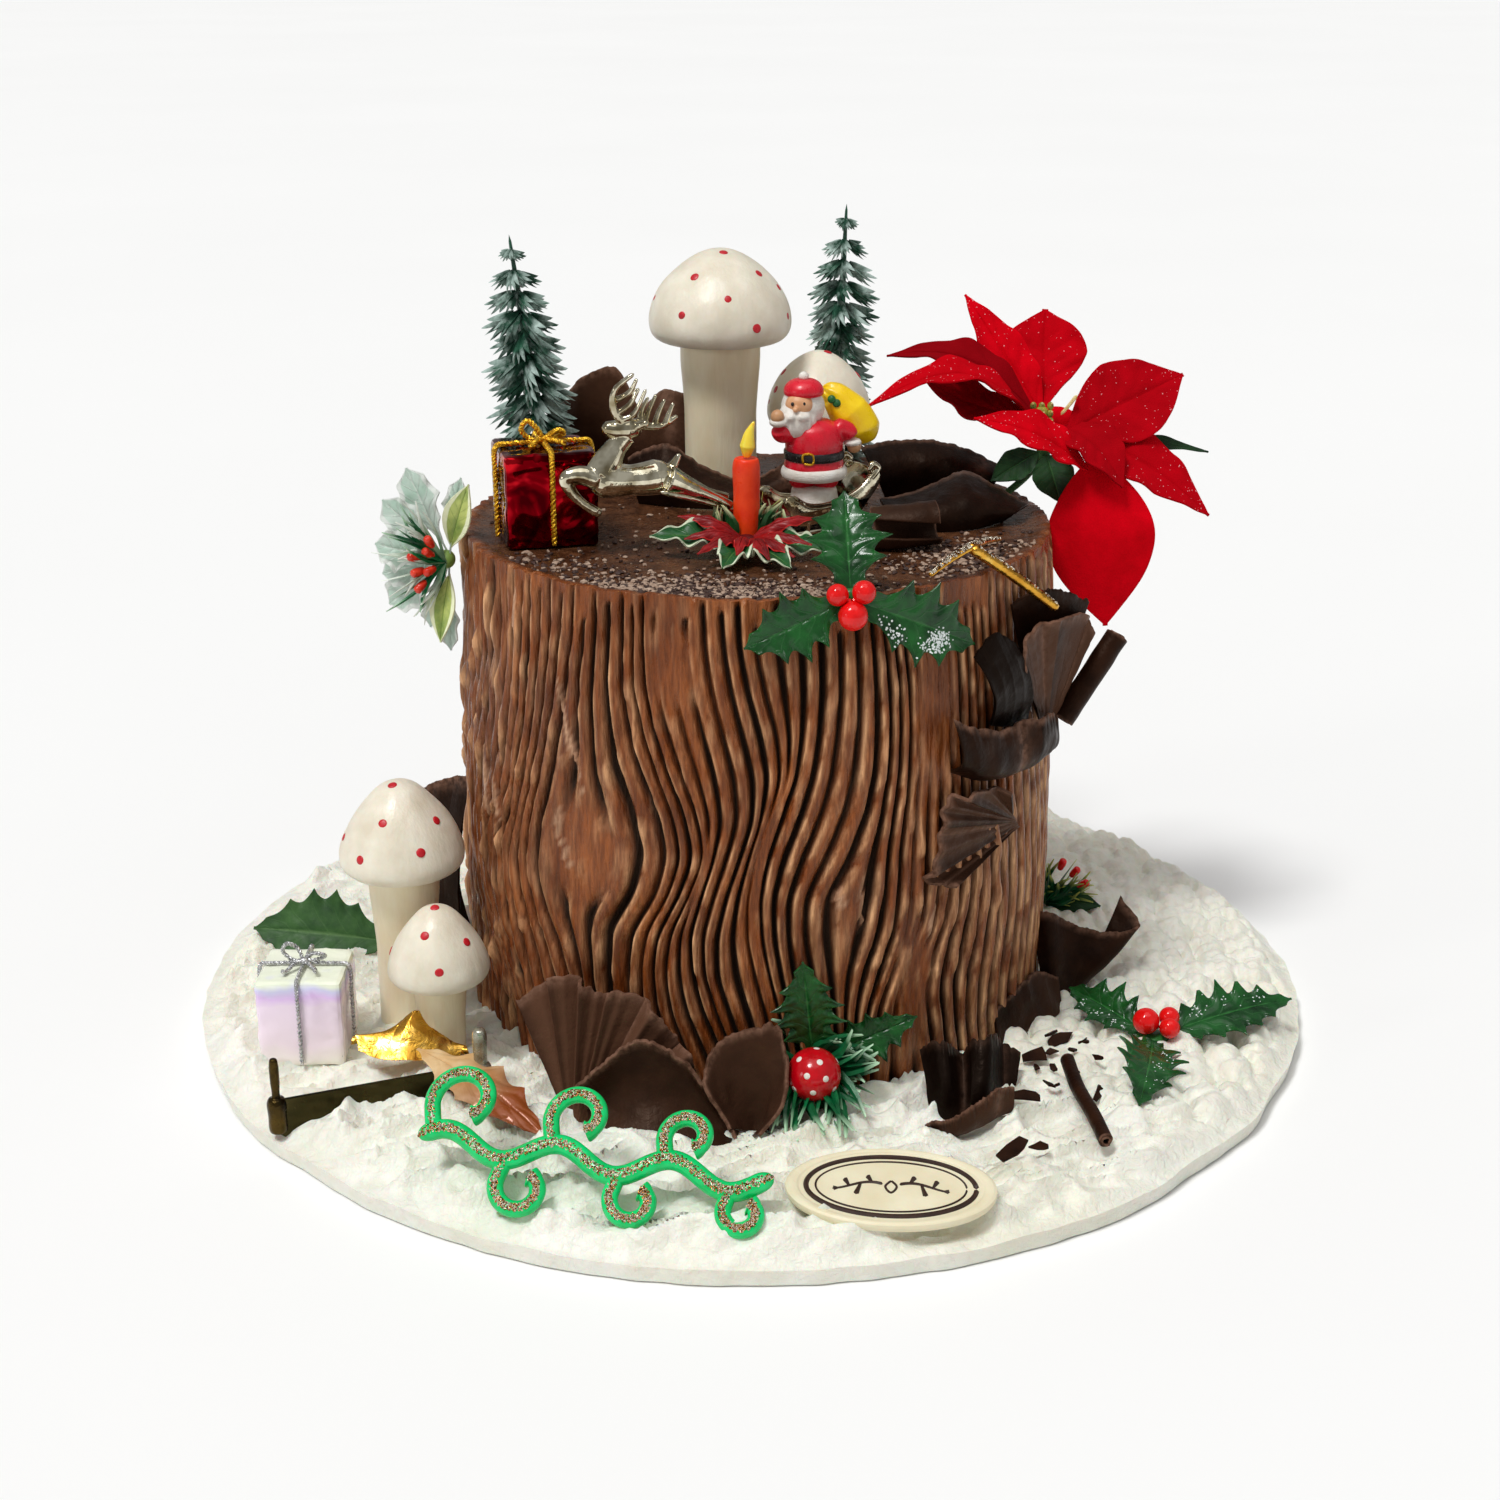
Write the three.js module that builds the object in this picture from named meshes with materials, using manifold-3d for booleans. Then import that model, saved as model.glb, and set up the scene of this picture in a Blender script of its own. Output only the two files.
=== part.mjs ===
// A tree stump cake: a round chocolate cake combed like bark, in a ring of whipped cream,
// dressed with moulded toppers, leaf picks and folded chocolate.
// Millimetres, +Z up. The origin is the middle of the cream's flat underside; -Y is the front.
import * as THREE from "three";
import { mergeVertices } from "three/addons/utils/BufferGeometryUtils.js";
import Module from "manifold-3d";

const wasm = await Module();
wasm.setup();

// Driving dimensions
const STUMP = { x: 1.7, y: -4.7, radius: 88.4, top: 157.8, lip: 1.4, lipWidth: 5 };
const BARK = { ridges: 46, rows: 5, groove: 2.2 };
const CREAM = { radius: 176.5, thick: 8.5, lump: 4.5, edge: 5.5, wobble: 3 };
const CLEAR = 0.3;
const LEAF = 0.8;
const SHAVING = 1.2;
const STAND = STUMP.top + CLEAR + 0.05;
const SUNK = 5;

// Surface looks, one for each material
const LOOKS = {
  ganache: [0x5c3420, 0.35, 0],
  cream: [0xf0f2ea, 0.6, 0],
  cap: [0xf2efe6, 0.4, 0],
  stem: [0xe6dfca, 0.45, 0],
  frosted_fir: [0x1d4a3c, 0.6, 0],
  red_foil: [0x8a0a12, 0.15, 0.8],
  gold_cord: [0xd8a020, 0.35, 0.9],
  pearl_foil: [0xf0e4f0, 0.15, 0.3],
  silver_cord: [0xb8b8bc, 0.3, 0.9],
  pale_gold: [0xcfc3a0, 0.12, 1],
  painted_figure: [0xc41226, 0.35, 0],
  sack: [0xf5cf10, 0.35, 0],
  candle: [0xf25a1a, 0.4, 0],
  flame: [0xf5cc20, 0.4, 0],
  red_leaf: [0xb0121a, 0.5, 0],
  green_leaf: [0x14532a, 0.35, 0],
  berry: [0xe01c14, 0.2, 0],
  velvet: [0xc00416, 0.8, 0],
  flower_centre: [0x5f7a1c, 0.6, 0],
  tinsel_green: [0x2f7d44, 0.5, 0],
  gold_foil: [0xd9a83a, 0.2, 0.9],
  amber_foil: [0xb06a2a, 0.25, 0.5],
  dark_mirror: [0x3d3418, 0.12, 0.9],
  green_glitter: [0x14d278, 0.4, 0],
  ivory: [0xebe1be, 0.4, 0],
  chocolate: [0x33201a, 0.45, 0],
};

const materials = Object.fromEntries(
  Object.entries(LOOKS).map(([slot, [color, roughness, metalness]]) => [
    slot,
    new THREE.MeshStandardMaterial({ color, roughness, metalness }),
  ]),
);

// Small tools for points, numbers and repeatable unevenness
const v = (x, y, z) => new THREE.Vector3(x, y, z);
const points = (...rows) => rows.map((row) => v(...row));
const mix = THREE.MathUtils.lerp;
const ease = (t) => t * t * (3 - 2 * t);
const turn = (degrees) => THREE.MathUtils.degToRad(degrees);
const beyond = (hub, tip, away) => tip.clone().sub(hub).setLength(away).add(hub);

function hash(i, j) {
  const s = Math.sin(i * 127.1 + j * 311.7) * 43758.5453;
  return s - Math.floor(s);
}

function bumps(x, y, cell) {
  const i = Math.floor(x / cell);
  const j = Math.floor(y / cell);
  const a = ease(x / cell - i);
  const b = ease(y / cell - j);
  const low = mix(hash(i, j), hash(i + 1, j), a);
  const high = mix(hash(i, j + 1), hash(i + 1, j + 1), a);
  return mix(low, high, b);
}

// Closed solids from points and triangles; a solid that came out inside out is turned round
function solid(corners, faces) {
  const triangles = [];
  let volume = 0;
  for (let i = 0; i < faces.length; i += 3) {
    const [a, b, c] = [faces[i], faces[i + 1], faces[i + 2]];
    if (a === b || b === c || c === a) continue;
    triangles.push([a, b, c]);
    volume += corners[a].dot(corners[b].clone().cross(corners[c]));
  }
  const order = volume < 0 ? [0, 2, 1] : [0, 1, 2];
  const vertProperties = new Float32Array(corners.flatMap((p) => [p.x, p.y, p.z]));
  const triVerts = new Uint32Array(triangles.flatMap((t) => order.map((k) => t[k])));
  return new wasm.Manifold(new wasm.Mesh({ numProp: 3, vertProperties, triVerts }));
}

function fromGeometry(geometry) {
  const bare = new THREE.BufferGeometry();
  bare.setAttribute("position", geometry.getAttribute("position"));
  bare.setIndex(geometry.index);
  const merged = mergeVertices(bare, 1e-4);
  const place = merged.getAttribute("position");
  const corners = [];
  for (let i = 0; i < place.count; i++) corners.push(v(0, 0, 0).fromBufferAttribute(place, i));
  return solid(corners, Array.from(merged.index.array));
}

const join = (parts) => wasm.Manifold.union(parts);

function largest(body) {
  const pieces = body.decompose();
  return pieces.reduce((best, piece) => (piece.volume() > best.volume() ? piece : best));
}

// Turned shapes: a profile of [radius, height] pairs about a vertical axis
function lathe(profile, sides, foot, grow = 0) {
  const heights = profile.map((p) => p[1]);
  const middle = (Math.min(...heights) + Math.max(...heights)) / 2;
  const outline = profile.map(
    ([r, h]) => new THREE.Vector2(r > 0 ? r + grow : 0, h + grow * Math.sign(h - middle)),
  );
  const turned = new THREE.LatheGeometry(outline, sides).rotateX(Math.PI / 2);
  return fromGeometry(turned.translate(foot.x, foot.y, foot.z));
}

function ball(centre, radii, around, high, grow = 0) {
  const [a, b, c] = radii.map((r) => r + grow);
  const round = new THREE.SphereGeometry(1, around, high).rotateX(Math.PI / 2);
  return fromGeometry(round.scale(a, b, c).translate(centre.x, centre.y, centre.z));
}

// A flat outline of [x, y] pairs given a thickness, centred on its own plane
function plate(outline, thick, grow = 0) {
  const shape = new THREE.Shape(outline.map(([x, y]) => new THREE.Vector2(x, y)));
  const options = { depth: thick, bevelEnabled: grow > 0, bevelSegments: 1 };
  options.bevelSize = grow;
  options.bevelThickness = grow;
  return new THREE.ExtrudeGeometry(shape, options).translate(0, 0, -thick / 2);
}

// A round rod along a smooth path
function rod(path, radius, sides, steps, grow = 0) {
  const rim = [];
  for (let k = 0; k < sides; k++) {
    const a = (2 * Math.PI * k) / sides;
    rim.push(new THREE.Vector2(Math.cos(a), Math.sin(a)).multiplyScalar(radius + grow));
  }
  const extrudePath = new THREE.CatmullRomCurve3(path);
  return fromGeometry(new THREE.ExtrudeGeometry(new THREE.Shape(rim), { steps, extrudePath }));
}

// A limb: rings of changing radius along a line of points
function limb(path, radii, sides, grow = 0) {
  const corners = [];
  const faces = [];
  const last = path.length - 1;
  let across = v(0.31, 0.53, 0.79);
  path.forEach((p, i) => {
    const ahead = path[Math.min(i + 1, last)].clone().sub(path[Math.max(i - 1, 0)]).normalize();
    across = across.clone().addScaledVector(ahead, -across.dot(ahead)).normalize();
    const other = ahead.clone().cross(across);
    for (let k = 0; k < sides; k++) {
      const a = (2 * Math.PI * k) / sides;
      const reach = radii[i] + grow;
      const spoke = across.clone().multiplyScalar(Math.cos(a) * reach);
      corners.push(p.clone().add(spoke).addScaledVector(other, Math.sin(a) * reach));
    }
  });
  for (let i = 0; i < last; i++)
    for (let k = 0; k < sides; k++) {
      const [a, b] = [i * sides + k, i * sides + ((k + 1) % sides)];
      faces.push(a, b, b + sides, a, b + sides, a + sides);
    }
  for (let k = 1; k < sides - 1; k++) {
    faces.push(0, k + 1, k);
    faces.push(last * sides, last * sides + k, last * sides + k + 1);
  }
  return solid(corners, faces);
}

// A sheet: a surface(u, t) given a thickness, with both faces split into triangles alike
function sheet(surface, columns, rows, thick, grow = 0) {
  const middle = [];
  for (let i = 0; i <= columns; i++)
    for (let j = 0; j <= rows; j++) middle.push(surface(i / columns, j / rows));
  const id = (i, j) => i * (rows + 1) + j;
  const at = (i, j) =>
    middle[id(Math.min(Math.max(i, 0), columns), Math.min(Math.max(j, 0), rows))];
  const front = [];
  const back = [];
  for (let i = 0; i <= columns; i++)
    for (let j = 0; j <= rows; j++) {
      const along = at(i + 1, j).clone().sub(at(i - 1, j)).normalize();
      const across = at(i, j + 1).clone().sub(at(i, j - 1)).normalize();
      const normal = along.clone().cross(across).normalize();
      const p = at(i, j).clone();
      p.addScaledVector(along, grow * ((i === columns) - (i === 0)));
      p.addScaledVector(across, grow * ((j === rows) - (j === 0)));
      front.push(p.clone().addScaledVector(normal, thick / 2 + grow));
      back.push(p.clone().addScaledVector(normal, -thick / 2 - grow));
    }
  const lift = front.length;
  const faces = [];
  for (let i = 0; i < columns; i++)
    for (let j = 0; j < rows; j++) {
      const [a, b, c, d] = [id(i, j), id(i + 1, j), id(i + 1, j + 1), id(i, j + 1)];
      faces.push(a, b, c, a, c, d);
      faces.push(lift + a, lift + c, lift + b, lift + a, lift + d, lift + c);
    }
  const rim = [];
  for (let i = 0; i < columns; i++) rim.push(id(i, 0));
  for (let j = 0; j < rows; j++) rim.push(id(columns, j));
  for (let i = columns; i > 0; i--) rim.push(id(i, rows));
  for (let j = rows; j > 0; j--) rim.push(id(0, j));
  rim.forEach((a, k) => {
    const b = rim[(k + 1) % rim.length];
    faces.push(a, lift + b, b, a, lift + a, lift + b);
  });
  return solid([...front, ...back], faces);
}

// The middle surface of a leaf from base to tip, its face turned to `up`
function leafSurface(leaf) {
  const { base, tip, up, width, arch = 0, bow = 0, cup = 0, teeth = 0, bite = 0, belly = 1 } = leaf;
  const run = tip.clone().sub(base);
  const side = run.clone().cross(up).normalize();
  const face = side.clone().cross(run).normalize();
  return (u, t) => {
    const s = 2 * t - 1;
    const full = Math.sin(Math.PI * Math.min(Math.max(u, 0.04), 0.975) ** belly);
    const tooth = teeth ? 1 - bite * Math.abs(((u * teeth) % 1) * 2 - 1) : 1;
    const half = Math.max((width / 2) * full * tooth, 0.5);
    const bend = Math.sin(Math.PI * u);
    const middle = base.clone().addScaledVector(run, u).addScaledVector(side, bow * bend);
    return middle.addScaledVector(side, s * half).addScaledVector(face, arch * bend + cup * s * s * full);
  };
}

const HOLLY = { teeth: 3, bite: 0.4, cup: 1.6 };
const hollyLeaf = (spec, grow) => sheet(leafSurface({ ...HOLLY, ...spec }), 6, 2, LEAF, grow);
const plainLeaf = (spec, grow) => sheet(leafSurface({ cup: 1, ...spec }), 3, 2, LEAF, grow);

// The middle surface of a folded shaving, ruled from its foot curve to its rim curve
function foldSurface({ foot, rim, bulge = v(0, 0, 0), pleats = 0, depth = 0 }) {
  const low = new THREE.CatmullRomCurve3(foot);
  const high = new THREE.CatmullRomCurve3(rim);
  return (u, t) => {
    const a = low.getPoint(u);
    const b = high.getPoint(u);
    const out = b.clone().sub(a).cross(high.getTangent(u)).normalize();
    const fold = depth * t * Math.cos(2 * Math.PI * pleats * u);
    return a.lerp(b, t).addScaledVector(bulge, Math.sin(Math.PI * t)).addScaledVector(out, fold);
  };
}

function shaving(spec, grow) {
  const columns = spec.columns ?? Math.max(2 * (spec.pleats ?? 0), 6);
  return sheet(foldSurface(spec), columns, 2, SHAVING, grow);
}

// The cake as a scene: pieces are cut clear of what was set down before them
const cake = new THREE.Group();
const onTop = new THREE.Group();
const onSide = new THREE.Group();
const onCream = new THREE.Group();
cake.add(onTop, onSide, onCream);
const placed = [];

const boxesMeet = (a, b) =>
  [0, 1, 2].every((k) => a.min[k] < b.max[k] && b.min[k] < a.max[k]);

function add(group, name, slot, make, envelope = make) {
  let body = make(0);
  for (const other of placed)
    if (boxesMeet(body.boundingBox(), other.boundingBox())) body = body.subtract(other);
  body = largest(body).simplify(0.03);
  placed.push(envelope(CLEAR));
  const { numProp, vertProperties, triVerts } = body.getMesh();
  const place = new Float32Array((vertProperties.length / numProp) * 3);
  for (let i = 0; i < place.length / 3; i++)
    place.set(vertProperties.subarray(i * numProp, i * numProp + 3), i * 3);
  const geometry = new THREE.BufferGeometry();
  geometry.setAttribute("position", new THREE.BufferAttribute(place, 3));
  geometry.setIndex(new THREE.BufferAttribute(new Uint32Array(triVerts), 1));
  geometry.computeVertexNormals();
  const mesh = new THREE.Mesh(geometry, materials[slot]);
  mesh.name = name;
  group.add(mesh);
}

// The stump: combed ridges that swing round knots in the bark, under a smooth top
const KNOTS = [
  { arc: -52, height: 74, swing: 9 },
  { arc: 22, height: 68, swing: 7 },
  { arc: 105, height: 100, swing: 8 },
  { arc: 185, height: 58, swing: 9 },
  { arc: -135, height: 92, swing: 8 },
  { arc: -215, height: 66, swing: 7 },
];
const KNOT_REACH = { across: 20, up: 24 };

function swing(arc, height) {
  const girth = 2 * Math.PI * STUMP.radius;
  let shift = 2 * Math.sin(height / 26 + arc / 34);
  for (const knot of KNOTS) {
    const away = arc - knot.arc - girth * Math.round((arc - knot.arc) / girth);
    const a = away / KNOT_REACH.across;
    const b = (height - knot.height) / KNOT_REACH.up;
    shift += knot.swing * Math.sign(away) * Math.min(Math.abs(a) * 2, 1) * Math.exp(-a * a - b * b);
  }
  return shift;
}

function bark() {
  const corners = [];
  const faces = [];
  const columns = 2 * BARK.ridges;
  const ring = (make) => {
    const first = corners.length;
    for (let i = 0; i < columns; i++) corners.push(make(i));
    return first;
  };
  const around = (arc, radius, z) => {
    const a = arc / STUMP.radius - Math.PI / 2;
    return v(STUMP.x + radius * Math.cos(a), STUMP.y + radius * Math.sin(a), z);
  };
  const arcOf = (i) => (2 * Math.PI * STUMP.radius * i) / columns;
  const starts = [];
  for (let j = 0; j <= BARK.rows; j++) {
    const z = (STUMP.top * j) / BARK.rows;
    starts.push(
      ring((i) => {
        const deep = BARK.groove * (i % 2) * (0.6 + 0.4 * hash(i, j));
        const lift = j === BARK.rows ? STUMP.lip * (0.4 + 0.6 * hash(i, 3)) : 0;
        return around(arcOf(i) + swing(arcOf(i), z), STUMP.radius - deep, z + lift);
      }),
    );
  }
  starts.push(ring((i) => around(arcOf(i), STUMP.radius - STUMP.lipWidth, STUMP.top)));
  for (let s = 1; s < starts.length; s++)
    for (let i = 0; i < columns; i++) {
      const next = (i + 1) % columns;
      const [a, b] = [starts[s - 1] + i, starts[s - 1] + next];
      faces.push(a, b, starts[s] + next, a, starts[s] + next, starts[s] + i);
    }
  const heart = corners.push(v(STUMP.x, STUMP.y, STUMP.top)) - 1;
  const under = corners.push(v(STUMP.x, STUMP.y, 0)) - 1;
  const inner = starts[starts.length - 1];
  for (let i = 0; i < columns; i++) {
    const next = (i + 1) % columns;
    faces.push(inner + i, inner + next, heart, next, i, under);
  }
  return solid(corners, faces);
}

function barkEnvelope(grow) {
  const sides = 72;
  const wide = (STUMP.radius + grow) / Math.cos(Math.PI / sides);
  const crest = STUMP.top + STUMP.lip + grow;
  const inner = STUMP.radius - STUMP.lipWidth - 1;
  const dish = STUMP.top + grow * 0.95;
  const profile = [[0, -1], [wide, -1], [wide, crest], [wide - 3, crest], [inner, dish], [0, dish]];
  return lathe(profile, sides, v(STUMP.x, STUMP.y, 0));
}

add(cake, "stump", "ganache", bark, barkEnvelope);

// The cream ring: whisked lumps, coarser at the right rear, thinning to its edge
function creamHeight(x, y, s) {
  const coarse = THREE.MathUtils.smoothstep(x + y, -40, 140);
  const lumps = bumps(x, y, 17) * 0.65 + bumps(x + 40, y, 8) * (0.35 + 0.3 * coarse);
  const full = CREAM.thick + CREAM.lump * (lumps - 0.3);
  return mix(full, CREAM.edge, THREE.MathUtils.smoothstep(s, 0.86, 1));
}

function creamRing(grow) {
  const columns = 44;
  const rings = 4;
  const hole = (STUMP.radius + 2 * CLEAR) / Math.cos(Math.PI / columns) - grow;
  const corners = [];
  const faces = [];
  for (let i = 0; i < columns; i++) {
    const a = (2 * Math.PI * i) / columns;
    const square = Math.sin(2 * a) ** 2;
    const dent = CREAM.wobble * square * bumps(90 * Math.cos(a), 90 * Math.sin(a), 13);
    const reach = CREAM.radius - dent + grow;
    const near = v(STUMP.x + hole * Math.cos(a), STUMP.y + hole * Math.sin(a), 0);
    const far = v(reach * Math.cos(a), reach * Math.sin(a), 0);
    corners.push(near.clone());
    for (let k = 0; k <= rings; k++) {
      const s = k / rings;
      const p = near.clone().lerp(far, s);
      corners.push(p.setZ(creamHeight(p.x, p.y, s) + grow));
    }
    corners.push(far.clone());
  }
  const loop = rings + 3;
  for (let i = 0; i < columns; i++)
    for (let k = 0; k < loop; k++) {
      const [a, b] = [i * loop + k, i * loop + ((k + 1) % loop)];
      const [c, d] = [((i + 1) % columns) * loop + k, ((i + 1) % columns) * loop + ((k + 1) % loop)];
      faces.push(a, b, d, a, d, c);
    }
  return solid(corners, faces);
}

add(cake, "cream_ring", "cream", creamRing);

// Mushrooms: a domed cap on a tapered stem
const MUSHROOMS = [
  { name: "tall", x: -9.8, y: 38, foot: STAND, cap: 22.4, low: 204.6, top: 233.4, stem: [9.6, 11.4] },
  { name: "rear", x: 21.6, y: 46, foot: STAND, cap: 16.6, low: 176, top: 200.3, stem: [7.4, 8.6] },
  { name: "left", x: -105, y: -45, foot: SUNK, cap: 18.8, low: 57.4, top: 89, stem: [7.8, 9.7] },
  { name: "small", x: -92, y: -70, foot: SUNK, cap: 14.9, low: 33.4, top: 59.6, stem: [6, 7.3] },
];
const CAP_PROFILE = [
  [0, 0], [0.62, 0], [0.92, 0.05], [1, 0.2], [0.95, 0.42], [0.72, 0.72], [0.36, 0.94], [0, 1],
];

for (const { name, x, y, foot, cap, low, top, stem } of MUSHROOMS) {
  const stemHeight = low - CLEAR - foot;
  const stemProfile = [[0, 0], [stem[0], 0], [stem[1], stemHeight], [0, stemHeight]];
  const capProfile = CAP_PROFILE.map(([r, h]) => [r * cap, h * (top - low)]);
  const group = foot === STAND ? onTop : onCream;
  add(group, `mushroom_stem_${name}`, "stem", (g) => lathe(stemProfile, 10, v(x, y, foot), g));
  add(group, `mushroom_cap_${name}`, "cap", (g) => lathe(capProfile, 12, v(x, y, low), g));
}

// Fir trees: star shaped tiers of drooping boughs on a trunk
const TREES = [
  { name: "left", x: -64, y: 30, top: 238.5, lean: -10, radius: 15 },
  { name: "right", x: 27.4, y: 74, top: 242.6, lean: 3.4, radius: 14.5 },
];
const TIERS = 6;
const BOUGHS = 6;

// Rings from the foot of the trunk up: each tier has a star of drooping tips over a narrow waist
function fir({ x, y, top, lean, radius }, grow) {
  const high = top - STAND;
  const sides = 2 * BOUGHS;
  const corners = [];
  const ring = (s, reach, notch, droop) => {
    const middle = v(x + lean * s, y, STAND + high * s);
    for (let k = 0; k < sides; k++) {
      const a = (Math.PI * k) / BOUGHS;
      const out = (k % 2 ? notch : reach) + grow;
      const drop = k % 2 ? 0 : droop;
      corners.push(v(middle.x + out * Math.cos(a), y + out * Math.sin(a), middle.z - drop));
    }
  };
  ring(0, 2.2, 2.2, 0);
  ring(0.1, 2.2, 2.2, 0);
  for (let k = 0; k < TIERS; k++) {
    const s = 0.13 + (0.76 * k) / TIERS;
    const reach = radius * (1 - 0.9 * (k / TIERS) ** 2.2);
    ring(s, reach, reach * 0.5, 4);
    ring(s + 0.08, reach * 0.4, reach * 0.32, 0);
  }
  ring(1, 0.5, 0.5, 0);
  const faces = [];
  const levels = corners.length / sides;
  for (let i = 0; i < levels - 1; i++)
    for (let k = 0; k < sides; k++) {
      const [a, b] = [i * sides + k, i * sides + ((k + 1) % sides)];
      faces.push(a, b, b + sides, a, b + sides, a + sides);
    }
  const roof = (levels - 1) * sides;
  for (let k = 1; k < sides - 1; k++) faces.push(0, k + 1, k, roof, roof + k, roof + k + 1);
  return solid(corners, faces);
}

for (const tree of TREES) add(onTop, `fir_${tree.name}`, "frosted_fir", (g) => fir(tree, g));

// Gift boxes: a box with softened edges, tied by a crossed cord with a bow
const GIFTS = [
  { name: "red", cord: "gold_cord", x: -60.5, y: -25, z: STAND, turn: 15, size: [27, 27, 27.5] },
  { name: "pearl", cord: "silver_cord", x: -132.5, y: -65.5, z: 11, turn: 0, size: [25.4, 25, 27] },
];
const CORD = { width: 1.4, thick: 0.9, loop: 6.5 };

function giftBox([w, d, h], grow) {
  const c = 0.9;
  const [a, b] = [w / 2 - c, d / 2 - c];
  const outline = [[-a, -b - c], [a, -b - c], [a + c, -b], [a + c, b], [a, b + c], [-a, b + c]];
  outline.push([-a - c, b], [-a - c, -b]);
  return fromGeometry(plate(outline, h, grow).translate(0, 0, h / 2));
}

function giftCord([w, d, h], grow) {
  const gap = CLEAR + 0.1;
  const { width, thick, loop } = CORD;
  const band = (half) => {
    const [near, far] = [half + gap, half + gap + thick];
    const outline = [[near, 0.5], [near, h + gap], [-near, h + gap], [-near, 0.5]];
    outline.push([-far, 0.5], [-far, h + gap + thick], [far, h + gap + thick], [far, 0.5]);
    return plate(outline, width, grow).rotateX(Math.PI / 2);
  };
  const high = h + gap + thick / 2;
  const parts = [fromGeometry(band(w / 2)), fromGeometry(band(d / 2).rotateZ(Math.PI / 2))];
  for (const side of [-1, 1]) {
    const petal = [[0, 0.5], [side * loop * 0.7, 2.4], [side * loop, 0.6], [side * loop * 0.6, -1.2]];
    const ribbon = plate(petal, 1.2, grow).rotateX(Math.PI / 2).rotateZ(turn(side * 12));
    parts.push(fromGeometry(ribbon.translate(0, -0.6, high + 1.6)));
    const tail = points([side, -1, high + 0.7], [side * 4.5, -7.5, high + 0.9]);
    parts.push(limb(tail, [0.7, 0.5], 3, grow));
  }
  parts.push(ball(v(0, -0.4, high + 0.9), [1.6, 1.6, 1.5], 6, 3, grow));
  return join(parts);
}

for (const gift of GIFTS) {
  const set = (body) => body.rotate([0, 0, gift.turn]).translate([gift.x, gift.y, gift.z]);
  const group = gift.z === STAND ? onTop : onCream;
  add(group, `gift_${gift.name}`, `${gift.name}_foil`, (g) => set(giftBox(gift.size, g)));
  add(group, `gift_cord_${gift.name}`, gift.cord, (g) => set(giftCord(gift.size, g)));
}

// The leaping reindeer, a plated moulding held up by the shafts of the sleigh; it faces left
const DEER = { x: -33, y: -39.4, slope: 0.255, leg: 2 };

function reindeer(grow) {
  const { x: middle, y, slope, leg } = DEER;
  const at = (x, z, side = 0) => v(x - side * slope, y + (x - middle) * slope + side, z);
  const parts = [
    limb([at(-44.8, 180.5), at(-42, 178.8), at(-33.5, 178.2), at(-26, 178), at(-22.4, 179.2)],
      [1.2, 3.5, 2.8, 3.5, 1.4], 6, grow),
    limb([at(-42.4, 179), at(-39.8, 185), at(-36, 190.6), at(-34.6, 192.8)], [3, 2.1, 1.7, 2.1], 4, grow),
    limb([at(-32, 193.4), at(-35, 192.9), at(-41.2, 194)], [1.1, 2.4, 0.9], 5, grow),
    limb([at(-23, 179.6), at(-21.4, 183.4)], [1.4, 0.5], 4, grow),
  ];
  for (const side of [-leg, leg]) {
    const step = side > 0 ? 1.5 : 0;
    parts.push(
      limb([at(-42.6, 178.4, side), at(-52 + step, 181 - step, side), at(-51 + step, 174.6, side),
        at(-44.6, 169.8 + step, side)], [2.2, 1.4, 1, 1.1], 4, grow),
      limb([at(-26, 177, side), at(-20.6, 172.8, side), at(-10.6, 168.2 + step, side)],
        [3, 1.5, 1], 4, grow),
      limb([at(-34.4, 194, side * 0.5), at(-37 + 6 * step, 201 - 3 * step, side),
        at(-32.8 + 8 * step, 209.4 - 6.4 * step, side * 1.6)], [1.1, 0.9, 0.5], 3, grow),
    );
    for (const tine of [0.3, 0.75]) {
      const x = mix(-37 + 5.5 * step, -34 + 7.5 * step, tine);
      const z = mix(199 - 2.4 * step, 207 - 5.4 * step, tine);
      parts.push(limb([at(x, z, side * 1.2), at(x + 4.6, z + 4, side * 2)], [0.9, 0.4], 3, grow));
    }
  }
  return join(parts);
}

add(onTop, "reindeer", "pale_gold", reindeer);

// The sleigh behind it: swept side plates, a floor, a scrolled back and two runners
const SLEIGH = { x: 6, y: -21, turn: 31, half: 7.5 };
const SLEIGH_SIDE = [
  [4, 3.5], [24, 3.5], [29, 8], [33, 13.5], [32, 17.5], [26, 11], [16, 8], [8, 8.5], [2, 12.6],
  [-0.5, 11], [2, 7],
];

function sleigh(grow) {
  const { x, y, turn: heading, half } = SLEIGH;
  const parts = [];
  for (const side of [-half, half]) {
    const board = plate(SLEIGH_SIDE, 1.2, grow).rotateX(Math.PI / 2).translate(0, side, 0);
    parts.push(fromGeometry(board));
    const runner = points([-5, side, 5], [-6.4, side, 2.6], [-4, side, 0.9], [2, side, 0.8]);
    parts.push(rod([...runner, v(27, side, 0.8), v(31, side, 2.4)], 0.8, 3, 5, grow));
    for (const post of [8, 21])
      parts.push(limb([v(post, side, 0.8), v(post, side, 4.2)], [0.7, 0.9], 3, grow));
    const shaft = points([4, side, 6], [-8, side, 6.6], [-21, side * 0.7 + 1, 12]);
    parts.push(rod([...shaft, v(-39, side * 0.62 + 2, 18)], 0.7, 3, 4, grow));
  }
  const floor = new THREE.BoxGeometry(24, 2 * half, 1.2).translate(14.5, 0, 4.1);
  const back = new THREE.BoxGeometry(1.2, 2 * half, 12).rotateY(turn(24)).translate(28.8, 0, 10.2);
  parts.push(fromGeometry(floor), fromGeometry(back));
  return join(parts).rotate([0, 0, heading]).translate([x, y, STAND]);
}

add(onTop, "sleigh", "pale_gold", sleigh);

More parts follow.
